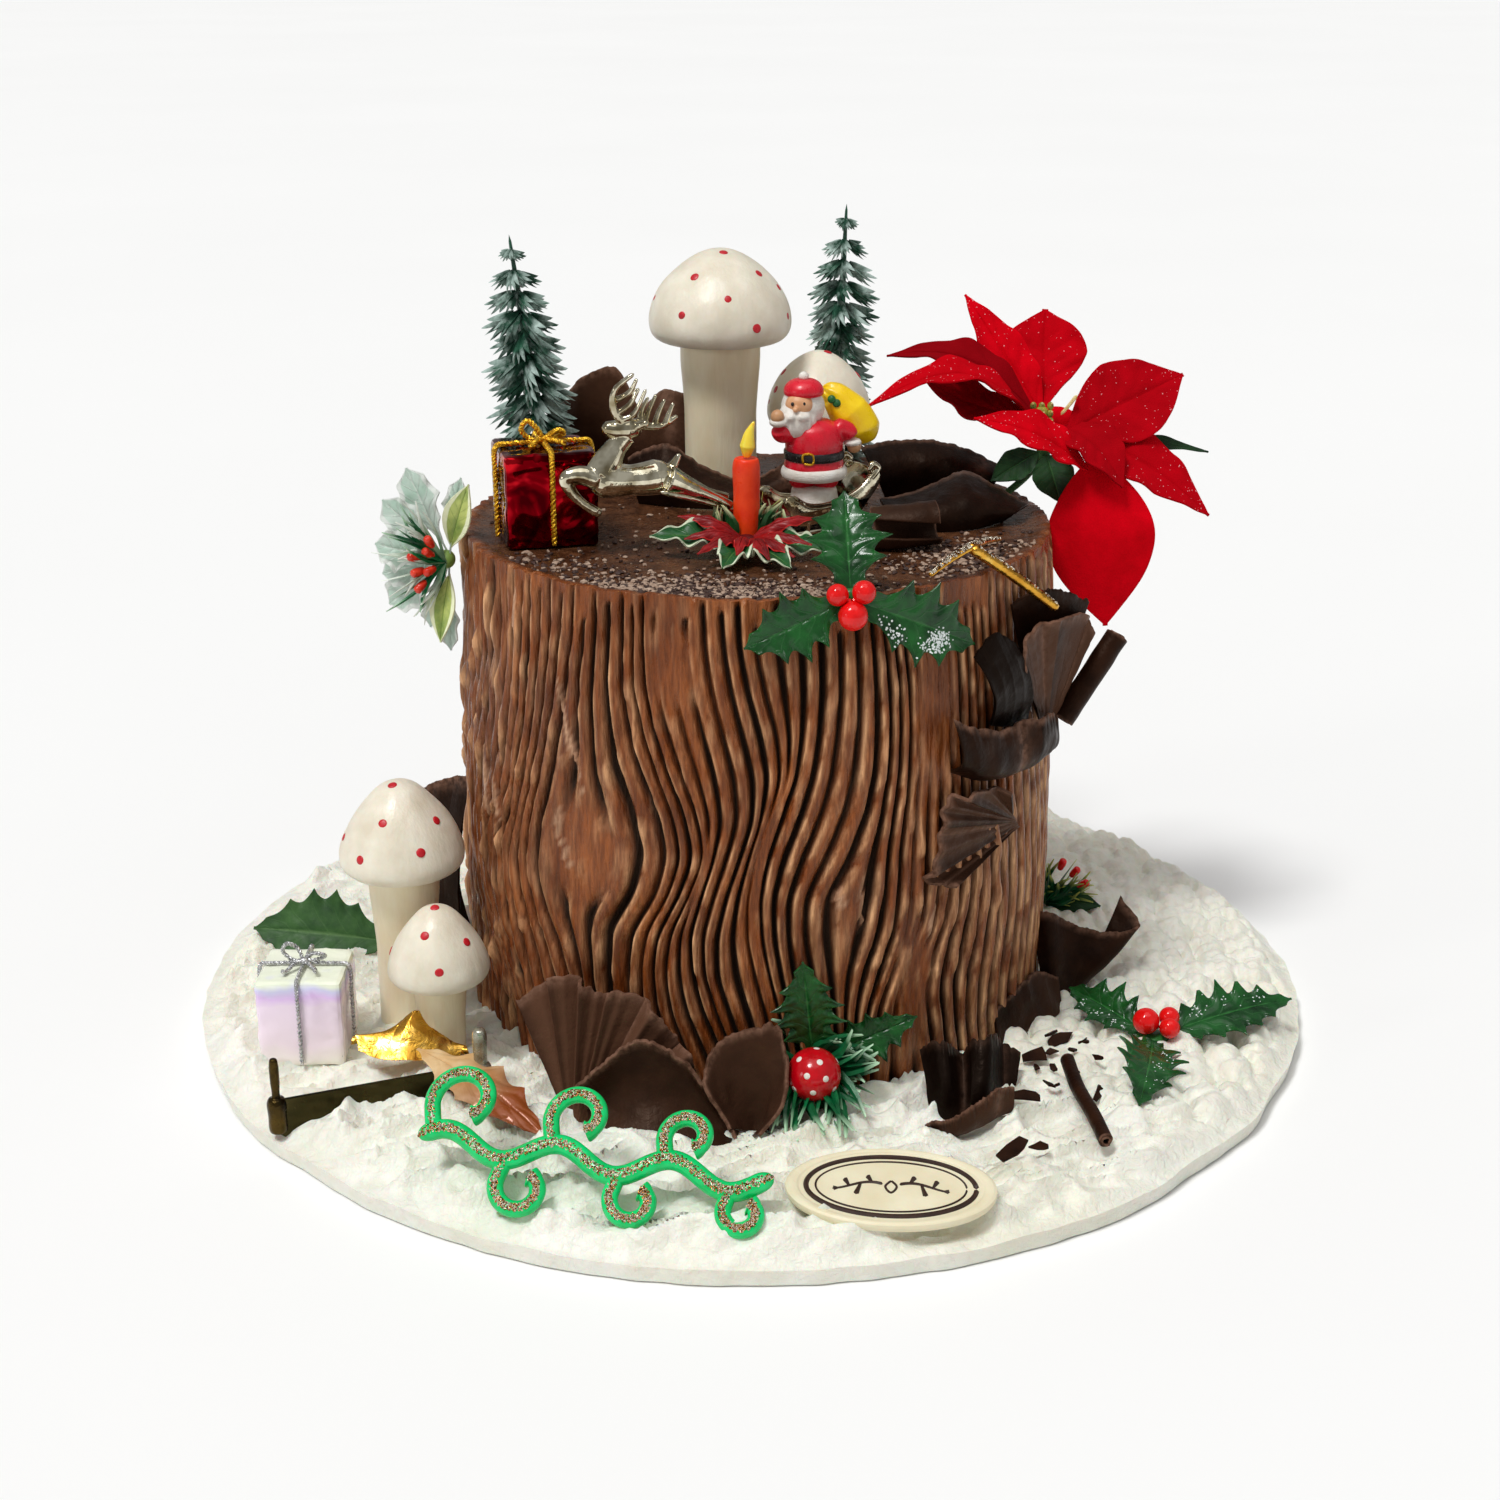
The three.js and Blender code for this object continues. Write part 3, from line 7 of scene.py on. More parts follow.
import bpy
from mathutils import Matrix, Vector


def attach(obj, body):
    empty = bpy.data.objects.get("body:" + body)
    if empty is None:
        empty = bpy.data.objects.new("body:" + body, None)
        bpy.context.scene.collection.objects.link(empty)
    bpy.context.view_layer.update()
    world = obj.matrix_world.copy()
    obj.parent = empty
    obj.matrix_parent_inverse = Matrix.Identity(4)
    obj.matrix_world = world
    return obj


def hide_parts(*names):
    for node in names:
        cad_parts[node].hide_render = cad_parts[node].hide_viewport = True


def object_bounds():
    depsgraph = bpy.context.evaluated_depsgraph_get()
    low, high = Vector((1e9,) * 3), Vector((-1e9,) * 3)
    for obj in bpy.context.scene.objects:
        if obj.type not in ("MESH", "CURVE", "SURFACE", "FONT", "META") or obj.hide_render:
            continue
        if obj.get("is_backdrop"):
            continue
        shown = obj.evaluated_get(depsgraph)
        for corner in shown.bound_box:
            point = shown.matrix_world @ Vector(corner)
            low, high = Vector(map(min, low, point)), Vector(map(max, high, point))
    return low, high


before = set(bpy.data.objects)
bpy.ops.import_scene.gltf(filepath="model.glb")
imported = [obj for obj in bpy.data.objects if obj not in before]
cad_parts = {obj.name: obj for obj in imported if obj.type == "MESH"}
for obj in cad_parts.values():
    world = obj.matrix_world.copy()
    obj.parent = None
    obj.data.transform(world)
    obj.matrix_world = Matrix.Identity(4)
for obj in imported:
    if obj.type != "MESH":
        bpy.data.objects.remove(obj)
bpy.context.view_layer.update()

# %% [markdown]
# ## Numbers and small tools
# All sizes are written in millimetres, because a cake decorator thinks in them, and are turned into metres when a
# mesh is placed. Nearly every piece starts from one of Blender's own primitives. Many of them are a flat grid whose
# vertices are then moved on to a curved surface, as a sheet of sugar paste is laid over a form. A few flat plates
# are cut to an outline instead.

# %% Tools for meshes
from math import atan2, cos, hypot, pi, radians, sin

import bpy
import numpy as np
from mathutils import Matrix

MM = 0.001
TAU = 2 * pi
SEAM = 1e-6  # metres, within which vertices are one
THIN = 0.5  # a sheet up to this thick keeps its sharp edge
seeded = np.random.default_rng
pieces = []


def vec(*numbers):
    return np.array(numbers, float)


def xyz(*columns):
    """Points from their coordinates, each a number or one value a point."""
    return np.stack(np.broadcast_arrays(*columns), -1)


def spin(x, y, angle):
    """A place turned about the vertical, by an angle in radians."""
    c, s = cos(angle), sin(angle)
    return x * c - y * s, x * s + y * c


def unit(v):
    return v / np.maximum(np.linalg.norm(v, axis=-1, keepdims=True), 1e-9)


def ease(t):
    t = np.clip(t, 0, 1)
    return t * t * (3 - 2 * t)


def lattice(i, j, k=0):
    s = np.sin(i * 127.1 + j * 311.7 + k * 74.7) * 43758.5453
    return s - np.floor(s)


def lumps(p, cell):
    """Smooth unevenness from 0 to 1 in space: p is N points, cell is one size or three."""
    q = np.asarray(p, float) / np.asarray(cell, float)
    base = np.floor(q)
    f = ease(q - base)
    total = 0
    for corner in range(8):
        step = np.array([corner & 1, corner >> 1 & 1, corner >> 2 & 1])
        weight = np.prod(np.where(step, f, 1 - f), axis=-1)
        total = total + weight * lattice(*np.moveaxis(base + step, -1, 0))
    return total


def curve(points):
    """A smooth curve through points, as the CAD draws it: give it u from 0 to 1."""
    p = np.asarray(points, float)
    p = np.vstack([2 * p[0] - p[1], p, 2 * p[-1] - p[-2]])

    def at(u):
        place = np.clip(np.asarray(u, float), 0, 1) * (len(p) - 3)
        i = np.minimum(place.astype(int), len(p) - 4)
        w = (place - i)[..., None]
        a, b, c, d = p[i], p[i + 1], p[i + 2], p[i + 3]
        k0, k1, k2 = (np.sqrt(np.linalg.norm(m - n, axis=-1, keepdims=True)) for m, n in ((b, a), (c, b), (d, c)))
        s = ((b - a) / k0 - (c - a) / (k0 + k1)) * k1 + (c - b)
        e = ((d - c) / k2 - (d - b) / (k1 + k2)) * k1 + (c - b)
        return b + s * w + (3 * (c - b) - 2 * s - e) * w ** 2 + (2 * (b - c) + s + e) * w ** 3

    return at


def select_only(*objects):
    bpy.ops.object.select_all(action="DESELECT")
    for o in objects:
        o.select_set(True)
    bpy.context.view_layer.objects.active = objects[0]


def apply_modifier(piece, kind, **settings):
    select_only(piece)
    modifier = piece.modifiers.new(kind.title(), kind)
    for key, value in settings.items():
        setattr(modifier, key, value)
    bpy.ops.object.modifier_apply(modifier=modifier.name)


def close_up(piece):
    """Merges the vertices that meet at seams and poles, and turns every face outwards."""
    select_only(piece)
    bpy.ops.object.mode_set(mode="EDIT")
    bpy.ops.mesh.select_all(action="SELECT")
    bpy.ops.mesh.remove_doubles(threshold=SEAM)
    bpy.ops.mesh.normals_make_consistent(inside=False)
    bpy.ops.object.mode_set(mode="OBJECT")


def drape(name, surface, columns, rows, thick=0.0, marks=None):
    """A grid laid on surface(u, t). With no thickness it must close on itself; with one it is a sheet."""
    bpy.ops.object.select_all(action="DESELECT")
    bpy.ops.mesh.primitive_grid_add(x_subdivisions=columns, y_subdivisions=rows, size=1)
    piece = bpy.context.object
    piece.name = name
    mesh = piece.data
    flat = np.empty(len(mesh.vertices) * 3)
    mesh.vertices.foreach_get("co", flat)
    u, t = flat[0::3] + 0.5, flat[1::3] + 0.5
    mesh.vertices.foreach_set("co", (surface(u, t) * MM).ravel())
    for label, mark in (marks or {}).items():
        layer = mesh.attributes.new(label, "FLOAT", "POINT")
        layer.data.foreach_set("value", np.broadcast_to(mark(u, t), u.shape).astype(np.float32))
    mesh.update()
    if thick:
        apply_modifier(piece, "SOLIDIFY", thickness=thick * MM, offset=0)
        if thick > THIN:
            apply_modifier(piece, "BEVEL", width=thick * 0.2 * MM, segments=1, limit_method="ANGLE",
                angle_limit=radians(60))
    else:
        close_up(piece)
    return piece


def tube_surface(path, radii, cap=0.04, squash=None):
    """A rounded rod along a smooth path, thick as radii say; squash flattens it along one direction."""
    line, widths = curve(path), np.asarray(radii, float)

    def surface(u, t):
        stops, spot = np.unique(u.round(6), return_inverse=True)
        middle = line(stops)
        ahead = unit(line(stops + 0.004) - line(stops - 0.004))
        across = np.empty_like(ahead)
        side = vec(0.31, 0.53, 0.79)
        for i, way in enumerate(ahead):
            side = unit(side - way * (side @ way))
            across[i] = side
        other = np.cross(ahead, across)
        wide = np.interp(stops, np.linspace(0, 1, len(widths)), widths)
        wide = wide * np.sqrt(np.clip(1 - (1 - np.clip(np.minimum(stops, 1 - stops) / cap, 0, 1)) ** 2, 0, 1))
        spoke = across[spot] * np.cos(TAU * t)[:, None] + other[spot] * np.sin(TAU * t)[:, None]
        spoke = spoke * wide[spot][:, None]
        if squash is not None:
            way, share = unit(vec(*squash[:3])), squash[3]
            spoke = spoke - (1 - share) * (spoke @ way)[:, None] * way
        return middle[spot] + spoke

    return surface


def tube(name, path, radii, columns=24, sides=12, **how):
    return drape(name, tube_surface(path, radii, **how), columns, sides)


def blob(name, centre, radii, columns=32, rows=20, shape=None):
    """A closed round body; shape(direction) swells or dents it."""
    def surface(u, t):
        around, up = TAU * u, pi * t
        way = xyz(np.sin(up) * np.cos(around), np.sin(up) * np.sin(around), -np.cos(up))
        swell = 1 if shape is None else shape(way)[:, None]
        return vec(*centre) + way * vec(*radii) * swell
    return drape(name, surface, columns, rows)


def turned(name, profile, foot, columns=48, rows=40, uneven=0.0):
    """A turned body: a smooth profile of (radius, height) pairs about a vertical axis through foot."""
    line = curve([(r, h, 0) for r, h in profile])

    def surface(u, t):
        rh = line(t)
        wide = np.maximum(rh[:, 0], 0)
        p = vec(*foot) + xyz(wide * np.cos(TAU * u), wide * np.sin(TAU * u), rh[:, 1])
        if uneven:
            bump = uneven * (lumps(p, 7) - 0.5) * np.minimum(wide, 1)
            p[:, 0] += bump * np.cos(TAU * u)
            p[:, 1] += bump * np.sin(TAU * u)
        return p
    return drape(name, surface, columns, rows)


def joined(name, parts):
    select_only(*parts)
    bpy.ops.object.join()
    parts[0].name = name
    return parts[0]


def stand(name, mesh):
    piece = bpy.data.objects.new(name, mesh)
    bpy.context.scene.collection.objects.link(piece)
    return piece


def flat_plate(name, rim, thick, bevel, **how):
    """A thin plate cut to an outline."""
    mesh = bpy.data.meshes.new(name)
    mesh.from_pydata((np.asarray(rim) * MM).tolist(), [], [list(range(len(rim)))])
    plate = stand(name, mesh)
    apply_modifier(plate, "SOLIDIFY", thickness=thick * MM, offset=0)
    apply_modifier(plate, "BEVEL", width=bevel * MM, **how)
    return plate


def transform(piece, rows):
    piece.data.transform(Matrix(np.asarray(rows).tolist()))


def set_down(piece, where, heading):
    """Turns a piece about the vertical, by degrees, and moves it to its place."""
    turn = np.eye(4)
    turn[:2, :2] = np.transpose([spin(1, 0, radians(heading)), spin(0, 1, radians(heading))])
    turn[:3, 3] = vec(*where) * MM
    transform(piece, turn)
    return piece


def copies(name, model, places):
    """One mesh of many copies of a small model, each with its own 4 x 4 placement in millimetres."""
    mesh = model.data
    corners = np.array([v.co[:] for v in mesh.vertices])
    faces = [tuple(p.vertices) for p in mesh.polygons]
    places = np.asarray(places)
    spread = np.einsum("kij,nj->kni", places[:, :3, :3], corners) + places[:, None, :3, 3]
    made = bpy.data.meshes.new(name)
    n = len(corners)
    made.from_pydata((spread.reshape(-1, 3) * MM).tolist(), [],
        [[v + k * n for v in f] for k in range(len(places)) for f in faces])
    marks = {a.name: [d.value for d in a.data] for a in mesh.attributes
        if a.data_type == "FLOAT" and a.domain == "POINT"}
    for label, values in marks.items():
        made.attributes.new(label, "FLOAT", "POINT").data.foreach_set("value", values * len(places))
    return stand(name, made)


def aim(start, end, thick, roll=0.0, flat=1.0):
    """Places a model that stands on the origin, one millimetre high and wide, from start to end."""
    start, end = vec(*start), vec(*end)
    z = unit(end - start)
    x = unit(np.cross(z, vec(0.3, 0.9, 0.2) if abs(z[1]) < 0.9 else vec(1, 0, 0)))
    y = np.cross(z, x)
    c, s = cos(roll), sin(roll)
    place = np.eye(4)
    place[:3, 0] = (x * c + y * s) * thick
    place[:3, 1] = (y * c - x * s) * thick * flat
    place[:3, 2] = end - start
    place[:3, 3] = start
    return place


def drop(model):
    bpy.data.objects.remove(model)


def keep(piece, node, finish, smooth=40):
    """A finished piece: its material and its shading; it hangs on the root, and the imported part it stands for is
    hidden.
    """
    piece.data.materials.clear()
    piece.data.materials.append(finish.material)
    select_only(piece)
    if smooth:
        bpy.ops.object.shade_smooth_by_angle(angle=radians(smooth))
    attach(piece, "root")
    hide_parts(node)
    pieces.append(piece)

# %% [markdown]
# ## How finishes are mixed
# A finish is a Principled shader with its colours, gloss and fine relief worked out by nodes. Colours are given as
# they are seen, from 0 to 255, and turned into the linear values that the shader wants. Patterns are measured in
# the piece's own space, so they stay put when the piece is seen from another side.

# %% Tools for finishes
def rgb(colour):
    c = np.array(colour[:3]) / 255
    linear = np.where(c <= 0.04045, c / 12.92, ((c + 0.055) / 1.055) ** 2.4)
    return (*linear.tolist(), 1.0)


class Finish:
    """A material with short ways to add noise, colour ramps, attributes and relief.

    A source is a socket, or else a tuple that describes a noise: its size, its detail and how it's stretched.
    """

    def __init__(self, name, colour, rough=0.5, metal=0.0, **sockets):
        self.material = bpy.data.materials.new(name)
        self.material.use_nodes = True
        self.tree = self.material.node_tree
        self.shader = self.tree.nodes["Principled BSDF"]
        self.relief_so_far = None
        for key, value in {"Base_Color": rgb(colour), "Roughness": rough, "Metallic": metal, **sockets}.items():
            self.feed(self.shader, key, value)

    def feed(self, node, socket, value):
        inlet = node.inputs[socket if isinstance(socket, int) else socket.replace("_", " ")]
        if isinstance(value, bpy.types.NodeSocket):
            self.tree.links.new(value, inlet)
        else:
            inlet.default_value = value

    def node(self, kind, **inputs):
        made = self.tree.nodes.new(kind)
        for key, value in inputs.items():
            self.feed(made, key, value)
        return made

    def place(self, stretch=(1, 1, 1)):
        where = self.node("ShaderNodeTexCoord").outputs["Object"]
        return self.node("ShaderNodeMapping", Vector=where, Scale=[1000 * s for s in stretch]).outputs[0]

    def noise(self, size, detail=3, stretch=(1, 1, 1), warp=0.0):
        return self.node("ShaderNodeTexNoise", Vector=self.place(stretch), Scale=1 / size, Detail=detail,
            Roughness=0.55, Distortion=warp).outputs[0]

    def socket(self, source):
        return self.noise(*source) if isinstance(source, tuple) else source

    def mark(self, name):
        made = self.node("ShaderNodeAttribute")
        made.attribute_name = name
        return made.outputs["Fac"]

    def ramp(self, source, *stops):
        made = self.node("ShaderNodeValToRGB", Fac=self.socket(source))
        row = made.color_ramp.elements
        while len(row) < len(stops):
            row.new(0.5)
        for element, (at, colour) in zip(row, stops):
            element.position = at
            element.color = (colour, colour, colour, 1) if np.isscalar(colour) else rgb(colour)
        return made.outputs[0]

    def mix(self, factor, a, b, blend="MIX"):
        made = self.node("ShaderNodeMix")
        made.data_type, made.blend_type = "RGBA", blend
        for socket, value in ((0, factor), (6, a), (7, b)):
            self.feed(made, socket, rgb(value) if isinstance(value, tuple) else value)
        return made.outputs[2]

    def maths(self, kind, a, b=0.0, clamp=False):
        made = self.node("ShaderNodeMath")
        made.operation, made.use_clamp = kind, clamp
        self.feed(made, 0, self.socket(a))
        self.feed(made, 1, self.socket(b))
        return made.outputs[0]

    def colour(self, source, *stops):
        self.feed(self.shader, "Base Color", self.ramp(source, *stops) if stops else source)
        return self

    def gloss(self, source, *stops):
        self.feed(self.shader, "Roughness", self.ramp(source, *stops) if stops else source)
        return self

    def relief(self, source, millimetres):
        bump = self.node("ShaderNodeBump", Height=self.socket(source), Strength=1.0, Distance=millimetres * MM)
        if self.relief_so_far is not None:
            self.feed(bump, "Normal", self.relief_so_far)
        self.relief_so_far = bump.outputs[0]
        self.feed(self.shader, "Normal", self.relief_so_far)
        return self


def tinted(name, colour, shade, size, rough=0.5, metal=0.0, grain=0.15, **sockets):
    """A plain finish whose colour drifts between two shades, with a fine grain in its relief and its gloss."""
    made = Finish(name, colour, rough, metal, **sockets)
    made.colour((size, 4), (0.3, shade), (0.68, colour))
    made.gloss((size * 0.4, 3), (0.3, max(rough - 0.08, 0.03)), (0.7, min(rough + 0.1, 1)))
    return made.relief((size * 0.12, 3), grain)


# %% [markdown]
# ## Camera, floor and light
# The photograph looks down on the cake by about twenty degrees with a long lens. The camera stands where the round
# edges of the cream and of the stump come out as they do there. The light is soft and comes from all around, with a
# larger, brighter source above on the left, as in a small studio.

# %% Camera
FOCAL_SHARE, SENSOR = 2234 / 1500, 36
CAMERA_AT, LOOKS_DOWN = (0, -0.6642, 0.3281), 20.48
bpy.ops.object.camera_add(location=CAMERA_AT, rotation=(radians(90 - LOOKS_DOWN), 0, 0))
camera = bpy.context.object
camera.data.sensor_width = SENSOR
camera.data.lens = SENSOR * FOCAL_SHARE
camera.data.shift_x, camera.data.shift_y = -0.0009, 0.0035
bpy.context.scene.camera = camera
print("lens", round(camera.data.lens, 2), "mm")

# %% Floor and light
bpy.ops.mesh.primitive_plane_add(size=60, location=(0, 0, -0.0006))
floor = bpy.context.object
floor.name = "floor"
paper = tinted("white_paper", (247, 247, 246), (245, 245, 244), 900, rough=0.95, grain=0.02)
floor.data.materials.append(paper.material)
floor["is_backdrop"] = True

world = bpy.data.worlds.new("studio")
bpy.context.scene.world = world
world.use_nodes = True
sky = world.node_tree.nodes["Background"].inputs
sky["Color"].default_value, sky["Strength"].default_value = (1, 1, 1, 1), 0.3


def soft_light(name, towards_camera_left, up, degrees, strength):
    """A wide soft light from far off: where it stands as seen from the cake, how wide it looks, how strong."""
    bpy.ops.object.light_add(type="SUN", location=(0, 0, 1))
    lamp = bpy.context.object
    lamp.name = name
    lamp.data.angle = radians(degrees)
    lamp.data.energy = strength
    lamp.rotation_euler = (radians(90 - up), 0, radians(towards_camera_left))


soft_light("window_left", -42, 62, 14, 1.88)
soft_light("low_window", -58, 16, 9, 0.16)
soft_light("overhead", 10, 80, 50, 0.65)
soft_light("fill_right", 55, 30, 50, 0.06)
bpy.context.scene.view_settings.view_transform = "Standard"

# %% [markdown]
# ## The stump
# The cake is coated with ganache and combed with a toothed scraper while it's soft. The comb swings from side to
# side on its way up, and parts round places that are meant as knots. Each guide line below is one path of the comb,
# given as its place round the side at every twelve millimetres of height, and the ridges are shared out between the
# guides. Where guides draw together the ridges pinch out, and where they part the ganache stays smooth.

# %% Paths of the comb
STUMP_X, STUMP_Y, STUMP_R, STUMP_TOP = 1.7, -4.7, 88.4, 157.8
STAND = STUMP_TOP + 0.3  # where things rest on the top
GIRTH = TAU * STUMP_R
# ridges counted so far, then the arc from the front in millimetres, from the foot of the cake upwards
COMB = [(0, -103, -103, -104, -106, -109, -112, -114, -114, -112, -109, -105, -102, -101, -103),
    (6, -77, -78, -82, -87, -93, -96, -94, -90, -86, -83, -81, -79, -79, -79),
    (9, -70, -71, -72, -75, -78, -82, -83, -79, -75, -72, -69, -68, -67, -67),
    (12, -54, -54, -55, -56, -61, -67, -70, -69, -65, -62, -59, -57, -55, -54),
    (13, -51, -51, -52, -52, -53, -58, -62, -60, -56, -53, -52, -52, -51, -50),
    (14, -48, -48, -48, -49, -50, -50, -43, -40.5, -44, -48, -48, -48, -47, -47),
    (16, -34, -34, -36, -37, -37, -35, -28, -25, -27, -32, -36, -38, -38, -38),
    (19, -15.5, -17, -21, -25, -26.5, -24.5, -19, -14.5, -16.5, -21, -25, -28, -29, -29),
    (21, -4, -5, -10, -15, -18, -19, -16, -12.5, -10, -12, -15, -18, -20, -20),
    (23, 2.4, 1, -4, -8, -11.7, -11.5, -8.6, -4.7, -1, -1, -4, -7, -9, -10),
    (25, 7.2, 7, 5.5, 3, 0, -2.5, -2.5, -0.4, 3, 6.5, 5.5, 2, -0.7, -1),
    (27, 10, 10, 8.5, 6, 3.2, 1, 0.4, 2.2, 6, 10, 12, 12.6, 12.2, 11.6),
    (29, 16, 16, 15, 13, 10.2, 8.5, 8.3, 12, 17, 20.5, 22, 23, 23, 22.3),
    (31, 23.6, 23.6, 23, 22.3, 20.5, 18.2, 18.5, 25.8, 30.8, 33.3, 34, 33.6, 32.8, 32.2),
    (32, 26, 26, 25.5, 25, 26, 30, 32.4, 33.3, 35.5, 37.3, 37.8, 37.2, 36, 35),
    (35, 33, 33, 33.6, 35.4, 40.4, 44.6, 45, 45, 46, 46.7, 46.8, 46.2, 45, 44.3),
    (38, 57, 56, 53.6, 51, 52.6, 57, 59, 59, 58.4, 58, 57.7, 57.3, 56.6, 56),
    (43, 81, 79, 76.4, 77, 80, 81, 80, 78.6, 77, 76, 75, 74.4, 73, 72.5),
    (48, 106, 106.6, 107.3, 107.6, 108.3, 107, 105, 103, 101, 99, 97, 95, 94, 94),]
front = np.array(COMB, float)
# the far side repeats the same kind of paths, upside down and mirrored, with a swing between the two sets
swing = 8 * np.sin(np.arange(14) / 2.1 + 1)
far = np.column_stack([15 + 48 + 48 - front[::-1, 0], GIRTH / 2 - front[::-1, :0:-1]])
guides = np.vstack([front, [[55, *(141 + swing)]], far, [[117, *(414 - swing)]], [[124, *(front[0, 1:] + GIRTH)]]])
RIDGES = int(guides[-1, 0])
heights = np.arange(0, 170)
window = np.hanning(15) / np.hanning(15).sum()
paths = np.array([np.convolve(np.pad(np.interp(heights, np.arange(14) * 12, row), 7, mode="edge"), window, "valid")
        for row in guides[:, 1:]])
# where the ganache was smoothed: arc, height, reach along the arc, reach up the side
PATCHES = [(-24, 139, 7, 12), (52, 126, 7, 30), (46, 38, 6, 24), (92, 128, 9, 16), (150, 60, 8, 22),
    (-132, 120, 7, 20), (-190, 60, 10, 20), (-232, 110, 9, 24), (228, 132, 10, 16)]
# smooth raised streaks, painted pale as glossy highlights: two ends as arc and height, and the width
HIGHLIGHT_STREAKS = [((-59.5, 131), (-50, 100), 1.1), ((-58.5, 93), (-59, 82), 1.3), ((-58, 84), (-54.5, 73), 1.1),
    ((22, 75), (24.5, 68), 1.6), ((30, 79), (30, 61), 1.0), ((53, 64), (51, 55), 1.4),
    ((-77.5, 152), (-77, 139), 1.8), ((-98, 100), (-95, 80), 2), ((-90, 92), (-88, 80), 1.3),
    ((190, 90), (196, 70), 1.6), ((-150, 110), (-146, 90), 1.6), ((230, 60), (228, 46), 1.5)]


def paths_at(q, z):
    """The arc at ridge coordinate q and height z, and how wide a ridge is there."""
    arc, pitch = np.empty_like(q), np.empty_like(q)
    for level in np.unique(z):
        here = z == level
        row = [np.interp(level, heights, path) for path in paths]
        steps = np.arange(0, RIDGES + 0.5, 0.5)
        eased = np.interp(steps, guides[:, 0], row)
        eased[1:-1] = 0.25 * eased[:-2] + 0.5 * eased[1:-1] + 0.25 * eased[2:]
        arc[here] = np.interp(q[here], steps, eased)
        pitch[here] = np.interp(q[here], steps, np.gradient(eased, 0.5))
    return arc, pitch


def away_from(arc, spot):
    return arc - spot - GIRTH * np.round((arc - spot) / GIRTH)


def smooth_patch(arc, z):
    return np.minimum(sum(np.exp(-(away_from(arc, spot) / across) ** 4 - ((z - height) / up) ** 4)
            for spot, height, across, up in PATCHES), 1)


def highlight_streak_mark(arc, z):
    best = np.zeros_like(arc)
    for (a0, z0), (a1, z1), wide in HIGHLIGHT_STREAKS:
        run = vec(a1 - a0, z1 - z0)
        x, y = away_from(arc, a0), z - z0
        s = np.clip((x * run[0] + y * run[1]) / (run @ run), 0, 1)
        gap = np.hypot(x - run[0] * s + 0.9 * np.sin(s * 3), y - run[1] * s) / (wide * (0.35 + 0.8 * np.sin(pi * s)))
        best = np.maximum(best, 1 - ease((gap - 0.45) / 0.4))
    return best


def around_stump(arc, z, out):
    a = arc / STUMP_R - pi / 2
    return xyz(STUMP_X + out * np.cos(a), STUMP_Y + out * np.sin(a), z)


def comb_marks(q, z, arc, pitch):
    """How deep the groove is and how much painted highlight the lit crest and its torn edge get, from 0 to 1, and how
    far the surface stands out.
    """
    p = around_stump(arc, z, STUMP_R)
    scuffed = np.clip(ease((lumps(p, (34, 34, 60)) - 0.5) * 5) * 0.5 + ease((-p[..., 0] - 56) / 16) * 0.85, 0, 1)
    side = q - np.round(q + 0.12 * (lumps(xyz(q * 2, z / 9, 0), 1) - 0.5))
    d, own = abs(side), lattice(np.round(q), 5)
    begins = STUMP_TOP - 0.5 - 9 * lattice(np.round(q), 9) ** 2
    strength = ease((pitch - 1.3) / 1.6) * (1 - 0.8 * ease((pitch - 8) / 5)) * (0.72 + 0.5 * own)
    strength = strength * ease((begins - z) / 3 + 0.5) * (0.8 + 0.4 * lumps(p, (9, 9, 22)))
    strength = strength * (1 - 0.92 * smooth_patch(arc, z)) * (1 - 0.8 * highlight_streak_mark(arc, z))
    strength = np.clip(strength - 0.35 * scuffed * lumps(p + 50, (5, 5, 16)), 0.02, 1.2)
    groove = np.exp(-(d / 0.2) ** 2) * strength
    broken = np.clip(1.9 * lumps(p + 3, (2.4, 2.4, 4.5)) - 0.45, 0, 1)
    crest_and_highlight = (np.exp(-((side - 0.28) / 0.085) ** 2) + 0.5 * np.exp(-((side + 0.3) / 0.06) ** 2)) * strength * broken
    crown = 0.85 * np.cos(pi * (0.5 - d)) * strength * np.minimum(pitch / 5, 1.3)
    scratch = scuffed * 1.9 * (lumps(p + 9, (1.7, 1.7, 15)) - 0.6)
    torn = (0.3 + scuffed) * 1.5 * np.maximum(lumps(p + 21, (2.6, 2.6, 8)) - 0.62, 0) / 0.38
    fine = 0.35 * (lumps(p, (1.3, 1.3, 9)) - 0.5) + 0.4 * (lumps(p, (5, 5, 14)) - 0.5)
    relief = 0.55 * crest_and_highlight + crown + scratch + torn + fine - 2.5 * groove + 0.4 * highlight_streak_mark(arc, z)
    return groove, np.clip(crest_and_highlight + 0.5 * torn, 0, 1), relief


# %% The side, the rim and the top in one grid
WALL_ROWS, TOP_ROWS = 80, 13
row_reach = np.concatenate([[0, 0.97], np.ones(WALL_ROWS), [0.988, 0.974, 0.958, 0.943],
        np.linspace(0.92, 0, TOP_ROWS)])
row_height = np.concatenate([[0, 0], np.linspace(0, STUMP_TOP, WALL_ROWS), np.full(4 + TOP_ROWS, STUMP_TOP)])
row_rough = np.concatenate([[0, 0.5], np.ones(WALL_ROWS), [0.8, 0.5, 0.25, 0.1], np.zeros(TOP_ROWS)])
row_lip = np.concatenate([np.zeros(WALL_ROWS), [0.2, 0.8, 1, 0.9, 0.5, 0.2], np.zeros(TOP_ROWS)])
ROWS = len(row_reach) - 1


def stump_rows(t, table):
    return np.interp(t * ROWS, np.arange(ROWS + 1), table)


def comb_at(u, t):
    q, z = u * RIDGES, stump_rows(t, row_height)
    arc, pitch = paths_at(q, z)
    return (arc, z, *comb_marks(q, z, arc, pitch))


